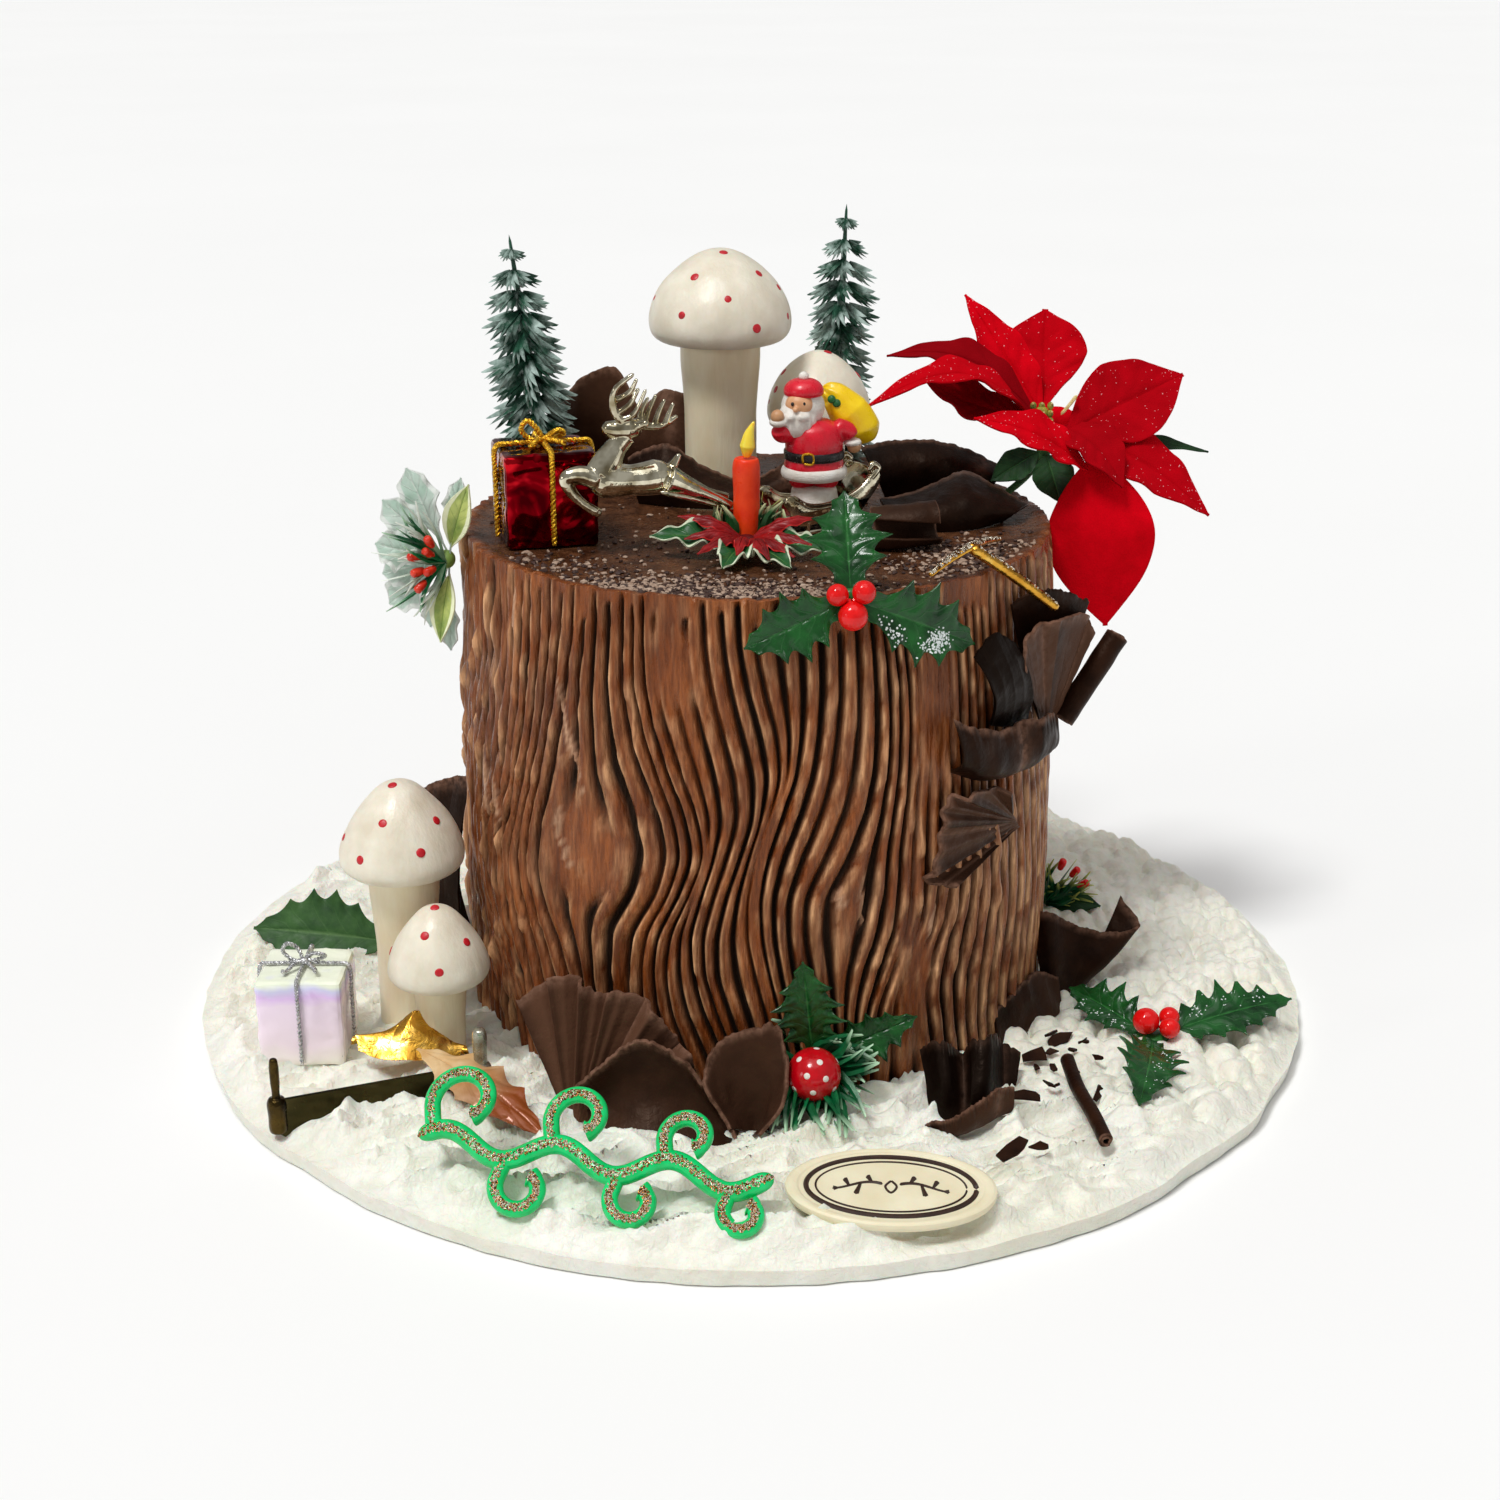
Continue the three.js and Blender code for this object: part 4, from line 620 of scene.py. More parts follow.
def stump_surface(u, t):
    arc, z, groove, _, relief = comb_at(u, t)
    rough, lip = stump_rows(t, row_rough), stump_rows(t, row_lip)
    bulge = 2.8 * np.sin(pi * np.clip(z + 25, 0, 175) / 175) ** 0.8 * rough
    out = stump_rows(t, row_reach) * STUMP_R + (relief - 0.3) * rough + bulge
    ragged = lumps(xyz(arc / 3, 0, 0), 1) * 1.5 + 0.5
    p = around_stump(arc, z, out)
    flat = t > (WALL_ROWS + 2) / ROWS
    trowel = 0.5 * (lumps(p + 70, (30, 12, 30)) - 0.5) + 0.25 * (lumps(p, (9, 4, 9)) - 0.5)
    p[:, 2] += lip * (ragged - 1.2 * groove) * 0.8 + np.where(flat, trowel, 0)
    return p


ganache = Finish("combed_ganache", (110, 60, 30), 0.3, Specular_IOR_Level=0.5, Specular_Tint=(1, 0.74, 0.56, 1))
brown = ganache.ramp((14, 4, (1, 1, 0.4)), (0.3, (104, 46, 14)), (0.55, (136, 70, 28)), (0.75, (166, 94, 46)))
# painted highlight: the crest on the lit side of each ridge and its torn edge are mixed towards pale tan
brown = ganache.mix(ganache.maths("MULTIPLY", ganache.mark("crest_and_highlight"), 1.0), brown, (255, 198, 146))
# painted highlight: the smooth streaks are mixed towards pale brown where glossy highlights lie
brown = ganache.mix(ganache.mark("chip"), brown, (196, 152, 120))
brown = ganache.mix(ganache.mark("top"), brown,
    ganache.ramp(ganache.noise(9, 5, warp=1.2), (0.3, (52, 27, 14)), (0.7, (112, 72, 46))))
# painted shade: the grooves are mixed towards near black, as shade deep in them
groove_shade = ganache.ramp(ganache.mark("groove"), (0.12, 0.0), (0.72, 1.0))
streak = ganache.ramp((1.0, 3, (1, 1, 0.13)), (0.38, (184, 170, 160)), (0.62, (255, 255, 255)))
brown = ganache.mix(0.8, brown, streak, blend="MULTIPLY")
ganache.colour(ganache.mix(groove_shade, brown, (26, 10, 3)))
shine = ganache.ramp((5, 4, (1, 1, 0.3)), (0.3, 0.2), (0.7, 0.38))
ganache.gloss(ganache.maths("MAXIMUM", shine, ganache.maths("MULTIPLY", groove_shade, 0.75)))
ganache.relief((1.3, 4, (1, 1, 0.16)), 0.7)
ganache.relief((0.5, 3), 0.1)
stump = drape("stump_cake", stump_surface, RIDGES * 8, ROWS,
    marks={"groove": lambda u, t: comb_at(u, t)[2] * stump_rows(t, row_rough),
        "crest_and_highlight": lambda u, t: comb_at(u, t)[3] * stump_rows(t, row_rough),
        # the chip mark carries the painted highlight streaks
        "chip": lambda u, t: highlight_streak_mark(comb_at(u, t)[0], stump_rows(t, row_height)) * stump_rows(t, row_rough),
        "top": lambda u, t: ease((t * ROWS - WALL_ROWS - 1) / 4)})
keep(stump, "stump", ganache, smooth=70)
print("stump faces", len(stump.data.polygons))

# %% [markdown]
# ## Crumbs on the top
# Grated chocolate has fallen on the top near the front rim and on the right. A crumb is modelled once, as a
# crumpled ball with twenty faces, and a few thousand copies of it are turned, sized and dropped by seeded chance.

# %% Chocolate crumbs
def crumb_model(rough=0.35, seed=1):
    bpy.ops.mesh.primitive_ico_sphere_add(subdivisions=1, radius=1)
    crumb = bpy.context.object
    for k, corner in enumerate(crumb.data.vertices):
        corner.co *= 1 - rough + 2 * rough * lattice(k, seed)
    return crumb


def tumbled(place, size, draw, flat=0.6):
    a, b, c = draw.uniform(0, TAU, 3)
    turn_x = np.array([[1, 0, 0], [0, cos(a), -sin(a)], [0, sin(a), cos(a)]])
    turn_z = np.array([[cos(b), -sin(b), 0], [sin(b), cos(b), 0], [0, 0, 1]])
    made = np.eye(4)
    made[:3, :3] = np.diag([1, 1, flat]) @ turn_z @ turn_x @ np.diag([size * (1 + 0.6 * cos(c)), size, size])
    made[:3, 3] = place
    return made


draw = seeded(7)
heaps = [((-26, -78), (26, 7), 1500), ((2, -84), (22, 4), 900), ((66, -52), (15, 13), 900),
    ((-56, -58), (12, 9), 260), ((0, -40), (50, 30), 300), ((20, 40), (50, 30), 260)]
crumbs, dark_crumbs = [], []
for (x, y), (wide, deep_y), count in heaps:
    for dx, dy, size in zip(draw.normal(0, wide, count), draw.normal(0, deep_y, count),
            draw.uniform(0.2, 0.8, count)):
        px, py = x + dx, y + dy
        if hypot(px - STUMP_X, py - STUMP_Y) < STUMP_R - 2.5:
            heap = crumbs if draw.random() < 0.55 else dark_crumbs
            heap.append(tumbled((px, py, STUMP_TOP + size * 0.45), size, draw))
crumb = crumb_model()
pale_crumb = tinted("cocoa_dust", (190, 166, 146), (138, 108, 88), 2, rough=0.8)
dark_crumb = tinted("chocolate_crumb", (74, 46, 36), (46, 27, 21), 2, rough=0.6)
keep(copies("crumbs_pale", crumb, crumbs), "stump", pale_crumb)
keep(copies("crumbs_dark", crumb, dark_crumbs), "stump", dark_crumb)
drop(crumb)
print("crumbs", len(crumbs) + len(dark_crumbs))

# %% [markdown]
# ## The cream ring
# Whipped cream is spread round the foot of the cake with a palette knife. At the right and the back it was dabbed
# into pebbles, and in front it was smeared in long folds. One grid goes round the ring, over the top from the
# inside to the outer edge and back underneath, and its height is made of those marks.

# %% Whipped cream
CREAM_R, CREAM_THICK, CREAM_LUMP, CREAM_EDGE = 176.5, 8.5, 4.5, 5.5
RING_IN = STUMP_R + 0.7


def pebbles(p, cell, seed):
    """Round dabs: the height of the nearest one of a jittered grid of domes."""
    q = p[..., :2] / cell
    base = np.floor(q)
    best = np.full(q.shape[:-1], 9.0)
    for di in (-1, 0, 1):
        for dj in (-1, 0, 1):
            i, j = base[..., 0] + di, base[..., 1] + dj
            gap = np.hypot(q[..., 0] - i - 0.2 - 0.6 * lattice(i, j, seed),
                q[..., 1] - j - 0.2 - 0.6 * lattice(i, j, seed + 1))
            best = np.minimum(best, gap / (0.62 + 0.3 * lattice(i, j, seed + 2)))
    return np.sqrt(np.clip(1 - best ** 2, 0, 1))


def cream_height(p, s):
    x, y = p[..., 0], p[..., 1]
    flat = xyz(x, y, 0)
    dabbed = ease((x * 0.9 + y + 55) / 110)
    swept = xyz(x * 0.94 + y * 0.34, (y * 0.94 - x * 0.34) * 3.1, 0)
    fold = 1 - abs(2 * lumps(swept + 31, 26) - 1)
    fine = 1 - abs(2 * lumps(swept + 7 + 6 * lumps(flat, 9)[..., None], 10) - 1)
    smeared = 6.6 * fold ** 2 + 3.6 * fine ** 2 - 3.7
    dabs = 8.4 * pebbles(flat, 10.5, 3) + 3.6 * pebbles(flat + 40, 5, 11) - 6.6
    broad = CREAM_LUMP * (lumps(flat, 22) * 0.75 - 0.35)
    high = CREAM_THICK + broad + smeared * (1 - dabbed) + dabs * dabbed + 0.5 * (lumps(flat, 2.6) - 0.5)
    edge = CREAM_EDGE + 1.2 * lumps(flat, 12) - 0.8
    return high + (edge - high) * ease((s - 0.88) / 0.12)


ring_rows = np.concatenate([[0, 0.0], np.linspace(0, 1, 114), [1.0, 1.0, 0]])
ring_lift = np.concatenate([[0, 0.5], np.ones(114), [0.6, 0, 0]])


def cream_surface(u, t):
    a = TAU * u
    j = t * (len(ring_rows) - 1)
    s = np.interp(j, np.arange(len(ring_rows)), ring_rows)
    lift = np.interp(j, np.arange(len(ring_rows)), ring_lift)
    edge = xyz(90 * np.cos(a), 90 * np.sin(a), 0)
    reach = CREAM_R - 3 * np.sin(2 * a) ** 2 * lumps(edge, 13) - 1.1 * lumps(edge + 5, 3.5)
    near = xyz(STUMP_X + RING_IN * np.cos(a), STUMP_Y + RING_IN * np.sin(a), 0)
    far = xyz(reach * np.cos(a), reach * np.sin(a), 0)
    p = near + (far - near) * s[:, None]
    p[:, 2] = np.maximum(cream_height(p, s), 3.2) * lift
    p[:, :2] *= (1 - 0.006 * (s > 0.999) * (1 - lift))[:, None]
    return p


# how deep a hollow lies, from which shade is painted into the hollows of the cream
def cream_hollow_shade(u, t):
    p = cream_surface(u, t)
    return 0.8 * ease((7.5 - p[:, 2]) / 5) * (np.hypot(p[:, 0], p[:, 1]) < CREAM_R - 16)


cream = Finish("whipped_cream", (240, 241, 234), 0.42, IOR=1.45, Subsurface_Weight=0.25, Subsurface_Scale=0.004)
soft = cream.ramp((60, 2), (0.35, (243, 242, 233)), (0.7, (238, 236, 220)))
soft = cream.mix(cream.ramp((7, 4), (0.35, 0.5), (0.65, 0.0)), soft, (224, 223, 206))
# painted shade: the hollows of the cream are mixed towards grey
cream.colour(cream.mix(cream.mark("low"), soft, (196, 196, 178)))
cream.gloss((9, 4), (0.35, 0.3), (0.65, 0.55))
cream.relief(cream.noise(2.4, 5, warp=0.6), 0.8)
cream_ring = drape("cream", cream_surface, 820, len(ring_rows) - 1, marks={"low": cream_hollow_shade})
keep(cream_ring, "cream_ring", cream, smooth=75)
print("cream faces", len(cream_ring.data.polygons))

# %% [markdown]
# ## Mushrooms
# The mushrooms are moulded from white sugar paste, with a domed cap and a plain stem, and painted with small red
# dots. A turned profile gives each part. A dot is a flat button set on the cap, square to its surface.

# %% Mushroom caps, stems and dots
DOME = [(0, 0.06), (0.3, 0.04), (0.6, 0.005), (0.84, 0.02), (0.965, 0.1), (1, 0.23), (0.945, 0.43), (0.81, 0.62),
    (0.6, 0.79), (0.36, 0.92), (0.15, 0.985), (0, 1)]
CONE = [(0, 0.2), (0.3, 0.18), (0.6, 0.13), (0.86, 0.12), (0.975, 0.18), (1, 0.27), (0.925, 0.44), (0.77, 0.62),
    (0.56, 0.79), (0.33, 0.93), (0.14, 0.985), (0, 1)]
# name, cap shape, x, y, foot, cap radius, underside and top of the cap, stem radii at the foot and the top,
# dots as (degrees around, share of the height)
MUSHROOMS = [("tall", DOME, -9.8, 38, 157.8, 22.4, 204.6, 233.4, (11.3, 11.8),
        [(-74, .97), (-121, .75), (-171, .49), (-82, .55), (-32, .76), (-11, .59), (-122, .38), (-59, .25),
        (-17, .31), (40, .4), (75, .72), (110, .33), (150, .66)]),
    ("rear", DOME, 21.6, 46, 157.8, 16.6, 176, 200.3, (8.3, 8.6),
        [(-15, .98), (-174, .72), (-167, .34), (-160, .52), (3, .67), (-70, .5), (60, .4), (115, .6)]),
    ("left", CONE, -105, -45, 5, 18.8, 57.4, 89, (9.2, 9.7),
        [(-116, .98), (-105, .71), (-167, .47), (-124, .38), (-62, .46), (-28, .67), (30, .4), (85, .6), (140, .35)]),
    ("small", CONE, -92, -70, 5, 14.9, 33.4, 59.6, (7, 7.3),
        [(-91, .99), (-105, .77), (178, .43), (-31, .65), (-81, .42), (40, .4), (110, .6)]),]
sugar = Finish("sugar_paste_cap", (238, 234, 222), 0.38, Subsurface_Weight=0.15, Subsurface_Scale=0.003)
sugar.colour((9, 4), (0.3, (220, 210, 188)), (0.7, (238, 231, 213)))
sugar.gloss((5, 4), (0.3, 0.3), (0.7, 0.5))
sugar.relief((3.5, 3, (1, 1, 0.25)), 0.35).relief((0.8, 3), 0.06)
stem_paste = Finish("sugar_paste_stem", (240, 233, 214), 0.42, Subsurface_Weight=0.15, Subsurface_Scale=0.003)
stem_paste.colour((8, 4, (1, 1, 0.3)), (0.3, (236, 219, 182)), (0.7, (252, 242, 214)))
stem_paste.relief((2.4, 3, (1, 1, 0.12)), 0.3)
red_dot = tinted("red_food_paint", (205, 24, 40), (176, 12, 26), 1.5, rough=0.35, grain=0.05)

bpy.ops.mesh.primitive_uv_sphere_add(segments=14, ring_count=8, radius=1)
button = bpy.context.object


def stud(place, normal, radius, proud):
    return aim(vec(*place), vec(*place) + unit(vec(*normal)) * proud, radius)


def cap_point(shape, x, y, cap, low, top, degrees, share):
    """A point on the cap and the direction square to it, from the turned profile."""
    upper = np.array(shape[4:])
    r = np.interp(share, upper[:, 1], upper[:, 0])
    slope = (np.interp(share + 0.02, upper[:, 1], upper[:, 0])
        - np.interp(share - 0.02, upper[:, 1], upper[:, 0])) / 0.04
    a, high = radians(degrees), top - low
    out = vec(cos(a), sin(a), 0)
    normal = unit(out - vec(0, 0, slope * cap / high))
    return vec(x, y, low + share * high) + out * r * cap, normal


for name, shape, x, y, foot, cap, low, top, stem, dots in MUSHROOMS:
    stem_high = low - foot + shape[1][1] * (top - low)
    stem_profile = [(0, 0), (stem[0] * 0.6, 0), (stem[0] * 0.97, 0.2), (stem[0], 1.4),
        (stem[0] * 1.01, stem_high * 0.3), ((stem[0] + stem[1]) / 2, stem_high * 0.6), (stem[1], stem_high),
        (stem[1] * 0.6, stem_high + 0.9), (0, stem_high + 0.9)]
    keep(turned(f"stem_{name}", stem_profile, (x, y, foot), 48, 60, uneven=0.4), f"mushroom_stem_{name}",
        stem_paste)
    keep(turned(f"cap_{name}", [(r * cap, h * (top - low)) for r, h in shape], (x, y, low), 72, 70, uneven=0.5),
        f"mushroom_cap_{name}", sugar)
    spots = [cap_point(shape, x, y, cap, low, top, *dot) for dot in dots]
    keep(copies(f"dots_{name}", button,
            [stud(p, n, 1.25 + 0.25 * lattice(k, cap), 0.35) for k, (p, n) in enumerate(spots)]),
        f"mushroom_cap_{name}", red_dot)
print("mushrooms", len(MUSHROOMS))

# %% [markdown]
# ## Firs
# The firs are moulded plastic. Boughs with thin fingers droop from the trunk in uneven tiers, with gaps between them,
# and are frosted in patches towards their tips. One bough is modelled and copied round the trunk. A mark that grows
# from its root to its tip tells the finish where the frost lies.

# %% One bough
FINGERS = [([(0, 0, 0), (0, 0.5, 0.5), (0, 0, 1)], [0.34, 0.3, 0.05], 0, 1)]
for s in (-1, 1):
    FINGERS += [([(0, 0.3, 0.2), (0.62 * s, 0.3, 0.45), (1.1 * s, -0.2, 0.76)], [0.26, 0.22, 0.04], 0.25, 1),
        ([(0, 0.4, 0.45), (0.5 * s, 0.4, 0.7), (0.72 * s, -0.1, 0.97)], [0.2, 0.18, 0.04], 0.5, 1)]


def finger(path, radii, root, end):
    return drape("finger", tube_surface(np.array(path) / MM, np.array(radii) / MM), 4, 4,
        marks={"tip": lambda u, t: root + (end - root) * u})


bough = joined("bough", [finger(*one) for one in FINGERS])
fir_green = Finish("frosted_moulding", (24, 78, 60), 0.5, Specular_IOR_Level=0.3)
needle_green = fir_green.ramp((5, 3), (0.3, (12, 44, 32)), (0.7, (44, 92, 70)))
frost = fir_green.maths("ADD", fir_green.maths("MULTIPLY", fir_green.mark("tip"), 0.22), (7, 4))
fir_green.colour(fir_green.mix(fir_green.ramp(frost, (0.58, 0.0), (0.82, 0.85)), needle_green, (192, 212, 204)))
fir_green.gloss(frost, (0.6, 0.36), (0.9, 0.7))
fir_green.relief((0.8, 3), 0.3)

# %% Boughs round the trunk
TREES = [("left", -64, 30, 238.5, -10, 13.6), ("right", 27.4, 74, 242.6, 3.4, 12.6)]
TIERS = 12
for seed, (name, x, y, top, lean, radius) in enumerate(TREES):
    draw = seeded(20 + seed)
    high = top - STAND
    places = []
    for tier in range(TIERS):
        s = 0.06 + 0.88 * tier / (TIERS - 1)
        reach = radius * min(1, (1 - s) * high / 26) ** 0.7
        count, turned_by = (8, 7, 6, 5)[min(tier // 4, 3)], draw.uniform(0, TAU)
        for k in range(count):
            a = turned_by + TAU * (k + draw.uniform(-0.22, 0.22)) / count
            out = reach * draw.uniform(0.76, 1.1)
            root = vec(x + lean * s, y, STAND + high * s + 0.1 * reach)
            tip = root + vec(out * cos(a), out * sin(a), -0.62 * out - draw.uniform(0, 1.6))
            tip[2] = max(tip[2], STAND + 0.5)
            places.append(aim(root, tip, 0.15 * reach * draw.uniform(0.9, 1.25) + 0.9))
    places += [aim((x + lean * 0.93, y, top - 8), (x + lean + 1.3 * cos(a), y + 1.3 * sin(a), top - 4.5), 0.9)
        for a in (0.4, 2.5, 4.6)]
    tree = copies(f"boughs_{name}", bough, places)
    trunk = tube("trunk", [(x, y, 158), (x + lean * 0.5, y, 158 + high * 0.5), (x + lean, y, top)], [2.6, 1.7, 0.4],
        40, 8)
    keep(joined(f"fir_{name}_moulding", [tree, trunk]), f"fir_{name}", fir_green, smooth=50)
    print("fir", name, len(places), "boughs")
drop(bough)

# %% [markdown]
# ## Gifts
# Two small boxes are wrapped in thin foil. The foil is creased, mostly near the edges, and catches the light in
# broken patches. A cube is bevelled, divided finely and pushed along those creases. The cord round it is twisted
# from two strands, so each strand is a thin tube that winds round the cord's own line.

# %% Foil boxes
def foil_box(name, where, heading, size, crease):
    bpy.ops.object.select_all(action="DESELECT")
    bpy.ops.mesh.primitive_cube_add(size=1)
    box = bpy.context.object
    box.name = name
    transform(box, np.diag([size[0] * MM, size[1] * MM, size[2] * MM, 1]))
    apply_modifier(box, "BEVEL", width=1.3 * MM, segments=2)
    apply_modifier(box, "SUBSURF", subdivision_type="SIMPLE", levels=4, render_levels=4)
    co = np.array([v.co[:] for v in box.data.vertices]) / MM
    half = np.array(size) / 2
    face = (abs(co) / half).max(1, keepdims=True)
    out = unit(co * (abs(co) / half > face - 0.05))
    near_edge = np.sort(abs(co) / half, axis=1)[:, 1:2]
    fold = 1 - abs(2 * lumps(co + 11, (9, 9, 6)) - 1)
    sharp = 1 - abs(2 * lumps(co * [1, 1, 2.2] + co[:, [1, 2, 0]] * 0.8 + 3, 6.5) - 1)
    push = crease * ((fold ** 3)[:, None] * 0.9 + (sharp ** 4)[:, None] * near_edge ** 2 * 0.8 - 0.7)
    co = co + out * push
    co[:, 2] += half[2]
    co = xyz(*spin(co[:, 0], co[:, 1], radians(heading)), co[:, 2]) + vec(*where)
    box.data.vertices.foreach_set("co", (co * MM).ravel())
    box.data.update()
    return box


red_foil = Finish("red_foil", (110, 2, 10), 0.1, 1.0)
# painted reflections: the foil's colour drifts in broad patches from near black to bright red, for a dark room and
# bright highlights mirrored in it
red_foil.colour(red_foil.noise(12, 2, warp=1.6), (0.35, (62, 0, 5)), (0.55, (112, 0, 10)), (0.7, (206, 22, 34)))
red_foil.gloss((6, 2), (0.3, 0.06), (0.7, 0.16))
red_foil.relief(red_foil.noise(17, 2, warp=1.4), 1.1)
pearl_foil = Finish("pearl_foil", (240, 224, 232), 0.16, 0.0, Coat_Weight=0.3)
height = pearl_foil.node("ShaderNodeSeparateXYZ", Vector=pearl_foil.place()).outputs["Z"]
wobble = pearl_foil.maths("MULTIPLY", (12, 2), 7.0)
band = pearl_foil.maths("DIVIDE", pearl_foil.maths("ADD", height, wobble), 49.0)
pearl_foil.colour(band, (0.3, (254, 248, 236)), (0.45, (255, 236, 246)), (0.7, (252, 232, 250)),
    (0.75, (238, 204, 252)), (0.8, (222, 220, 252)), (0.83, (242, 248, 224)), (0.93, (252, 250, 240)))
pearl_foil.gloss((6, 2), (0.3, 0.08), (0.7, 0.22))
pearl_foil.relief(pearl_foil.noise(9, 2, warp=1.0), 0.3)
gold_thread = tinted("gold_cord", (246, 200, 60), (196, 136, 20), 1.2, rough=0.28, metal=0.85, grain=0.1)
silver_thread = tinted("silver_cord", (226, 226, 226), (150, 150, 154), 1.2, rough=0.28, metal=0.9, grain=0.1)


def twisted(name, path, radius, turns, columns):
    """Two strands wound round a path."""
    line = curve(path)
    u = np.linspace(0, 1, columns + 1)
    middle = line(u)
    ahead = unit(np.gradient(middle, axis=0))
    side = unit(np.cross(ahead, vec(0.21, 0.35, 0.91)))
    other = np.cross(ahead, side)
    strands = []
    for k in range(2):
        a = (TAU * turns * u + pi * k)[:, None]
        strand = middle + radius * 0.55 * (side * np.cos(a) + other * np.sin(a))
        strands.append(tube(f"{name}_{k}", strand, [radius * 0.62] * 2, columns, 6, cap=0.01))
    return joined(name, strands)


def tied_cord(name, where, heading, size, radius, flip):
    w, d, h = (s / 2 for s in size)
    h *= 2
    gap = 0.75
    loops = []
    for half, quarter in ((w, 0), (d, 1)):
        side = half + gap
        row = [(-side, 0, 0.8), (-side, 0, h * 0.35), (-side, 0, h * 0.7), (-side, 0, h - 1.2),
            (-side + 0.9, 0, h + gap - 0.2), (-side + 3.5, 0, h + gap), (0, 0, h + gap + 0.2)]
        row += [(-px, 0, pz) for px, _, pz in reversed(row[:-1])]
        row = [(-py, px, pz) if quarter else (px, py, pz) for px, py, pz in row]
        loops.append((row, 40))
    knot = h + gap
    for s in (-1, 1):
        loops.append(([(0, -0.4, knot + 0.6), (s * 2, -1.2 * flip, knot + 3.4 - s),
                (s * 4.6, -0.6, knot + 5 - 1.6 * s), (s * 6.2, 0.4, knot + 3 - 0.8 * s), (s * 3.4, 0.2, knot + 1),
                (0, -0.4, knot + 1)], 9))
        loops.append(([(0, -0.6, knot + 0.9), (s * 2.2, -3, knot + 1.2), (s * 4.2, -6.2, knot + 0.6 + s * 0.5),
                (s * 4.9, -8.2, knot + 1.2)], 6))
    parts = [twisted(f"{name}_{k}", row, radius, turns, 240 if turns > 20 else 60)
        for k, (row, turns) in enumerate(loops)]
    parts.append(blob(f"{name}_knot", (0, -0.5, knot + 0.9), (1.5, 1.4, 1.3), 16, 10))
    return set_down(joined(name, parts), where, heading)


GIFTS = [("red", (-60.5, -25, 158.15), 15, (27, 27, 27.5), red_foil, gold_thread, "gold_cord", 0.8, 1),
    ("pearl", (-132.5, -65.5, 11), 0, (25.4, 25, 27), pearl_foil, silver_thread, "silver_cord", 0.6, -1)]
for name, place, heading, size, foil, thread, cord_slot, cord_radius, flip in GIFTS:
    keep(foil_box(f"box_{name}", place, heading, size, 0.42), f"gift_{name}", foil, smooth=32)
    keep(tied_cord(f"cord_{name}", place, heading, size, cord_radius, flip), f"gift_cord_{name}", thread)
print("gifts", len(GIFTS))

# %% [markdown]
# ## The plated reindeer and its sleigh
# Both are moulded in plastic and plated pale gold. Rounded rods follow the legs, neck and antlers. They are joined,
# remeshed into one skin and smoothed a little, which rounds every joint as a mould does.

# %% Reindeer
def fused(name, parts, voxel, rounds=4):
    """Many overlapping bodies made into one smooth skin."""
    piece = joined(name, parts)
    apply_modifier(piece, "REMESH", mode="VOXEL", voxel_size=voxel * MM)
    apply_modifier(piece, "SMOOTH", factor=0.5, iterations=rounds)
    return piece


DEER_X, DEER_Y, DEER_SLOPE, DEER_LEG = -33, -39.4, 0.255, 2


def deer_point(x, z, side=0.0):
    return (x - side * DEER_SLOPE, DEER_Y + (x - DEER_X) * DEER_SLOPE + side, z)


def deer(*stops, side=0.0):
    return [deer_point(x, z, side) for x, z in stops]


rods = [tube("body", deer((-45.8, 181), (-42, 179.4), (-34.4, 178.7), (-27, 179.2), (-22.4, 180.6)),
        [3.2, 5.4, 4.4, 5.2, 3.3], 34, 20, cap=0.14),
    tube("neck", deer((-43, 180.6), (-40.4, 185), (-38, 188.6), (-35, 192)), [5, 4.2, 3.2, 2.9], 24, 16),
    tube("head", deer((-30.9, 193.2), (-35, 193.5), (-38.8, 193.5), (-42.2, 194.4)), [1.9, 3.5, 2.7, 1.7], 24, 16,
        cap=0.14), tube("tail", deer((-22.8, 181.4), (-20.4, 185.6)), [1.8, 0.7], 12, 10),]
ANTLERS = [(-2, [(-34.9, 194.8), (-37, 196), (-39.3, 200.2), (-38.8, 205.2), (-33.4, 209.9)],
        [[(-38.1, 198.4), (-34.8, 200.8), (-32.1, 205.7)], [(-39, 201.9), (-34.8, 204.3), (-32.6, 208.4)],
        [(-37.2, 196.4), (-33.8, 198), (-30.1, 205.4)]]),
    (2, [(-34, 194.8), (-29.6, 193.6), (-24.7, 193.4), (-20.3, 196)],
        [[(-30, 193.6), (-28.8, 197.2), (-26.2, 202.6)], [(-27.2, 193.5), (-25.9, 197), (-23.8, 201)],
        [(-24.3, 193.5), (-23, 196.4), (-21.4, 199.8)], [(-31.4, 193.9), (-30.6, 198.1), (-28.4, 201.8)]])]
for side, beam, tines in ANTLERS:
    rods.append(tube("antler", [deer_point(x, z, side * (0.4 + 0.3 * k)) for k, (x, z) in enumerate(beam)],
            [1.4, 1.2, 1.05, 0.85, 0.7], 40, 10))
    rods += [tube("tine", [deer_point(x, z, side * (0.8 + 0.3 * k)) for k, (x, z) in enumerate(tine)],
            [0.95, 0.8, 0.55], 20, 8) for tine in tines]
for side in (-DEER_LEG, DEER_LEG):
    step = 1.6 if side > 0 else 0
    rods += [tube("foreleg",
            [deer_point(x + step, z - step, side)
            for x, z in ((-43.6, 179.6), (-49.2, 181.6), (-53.2, 180.6), (-51.7, 176.8), (-49, 173.7), (-44, 170))],
            [3.2, 2.6, 1.8, 1.5, 1.25, 1.5], 40, 12),
        tube("hind", deer((-25, 178.8), (-19, 176), (-12, 172.9), (-5.8, 169.6 + step), side=side),
            [4.7, 3, 1.7, 1.3], 30, 12),
        tube("ear", [deer_point(-33, 194, side * 0.6), deer_point(-30, 195.8, side * 1.9)], [1.6, 0.9], 10, 8),]
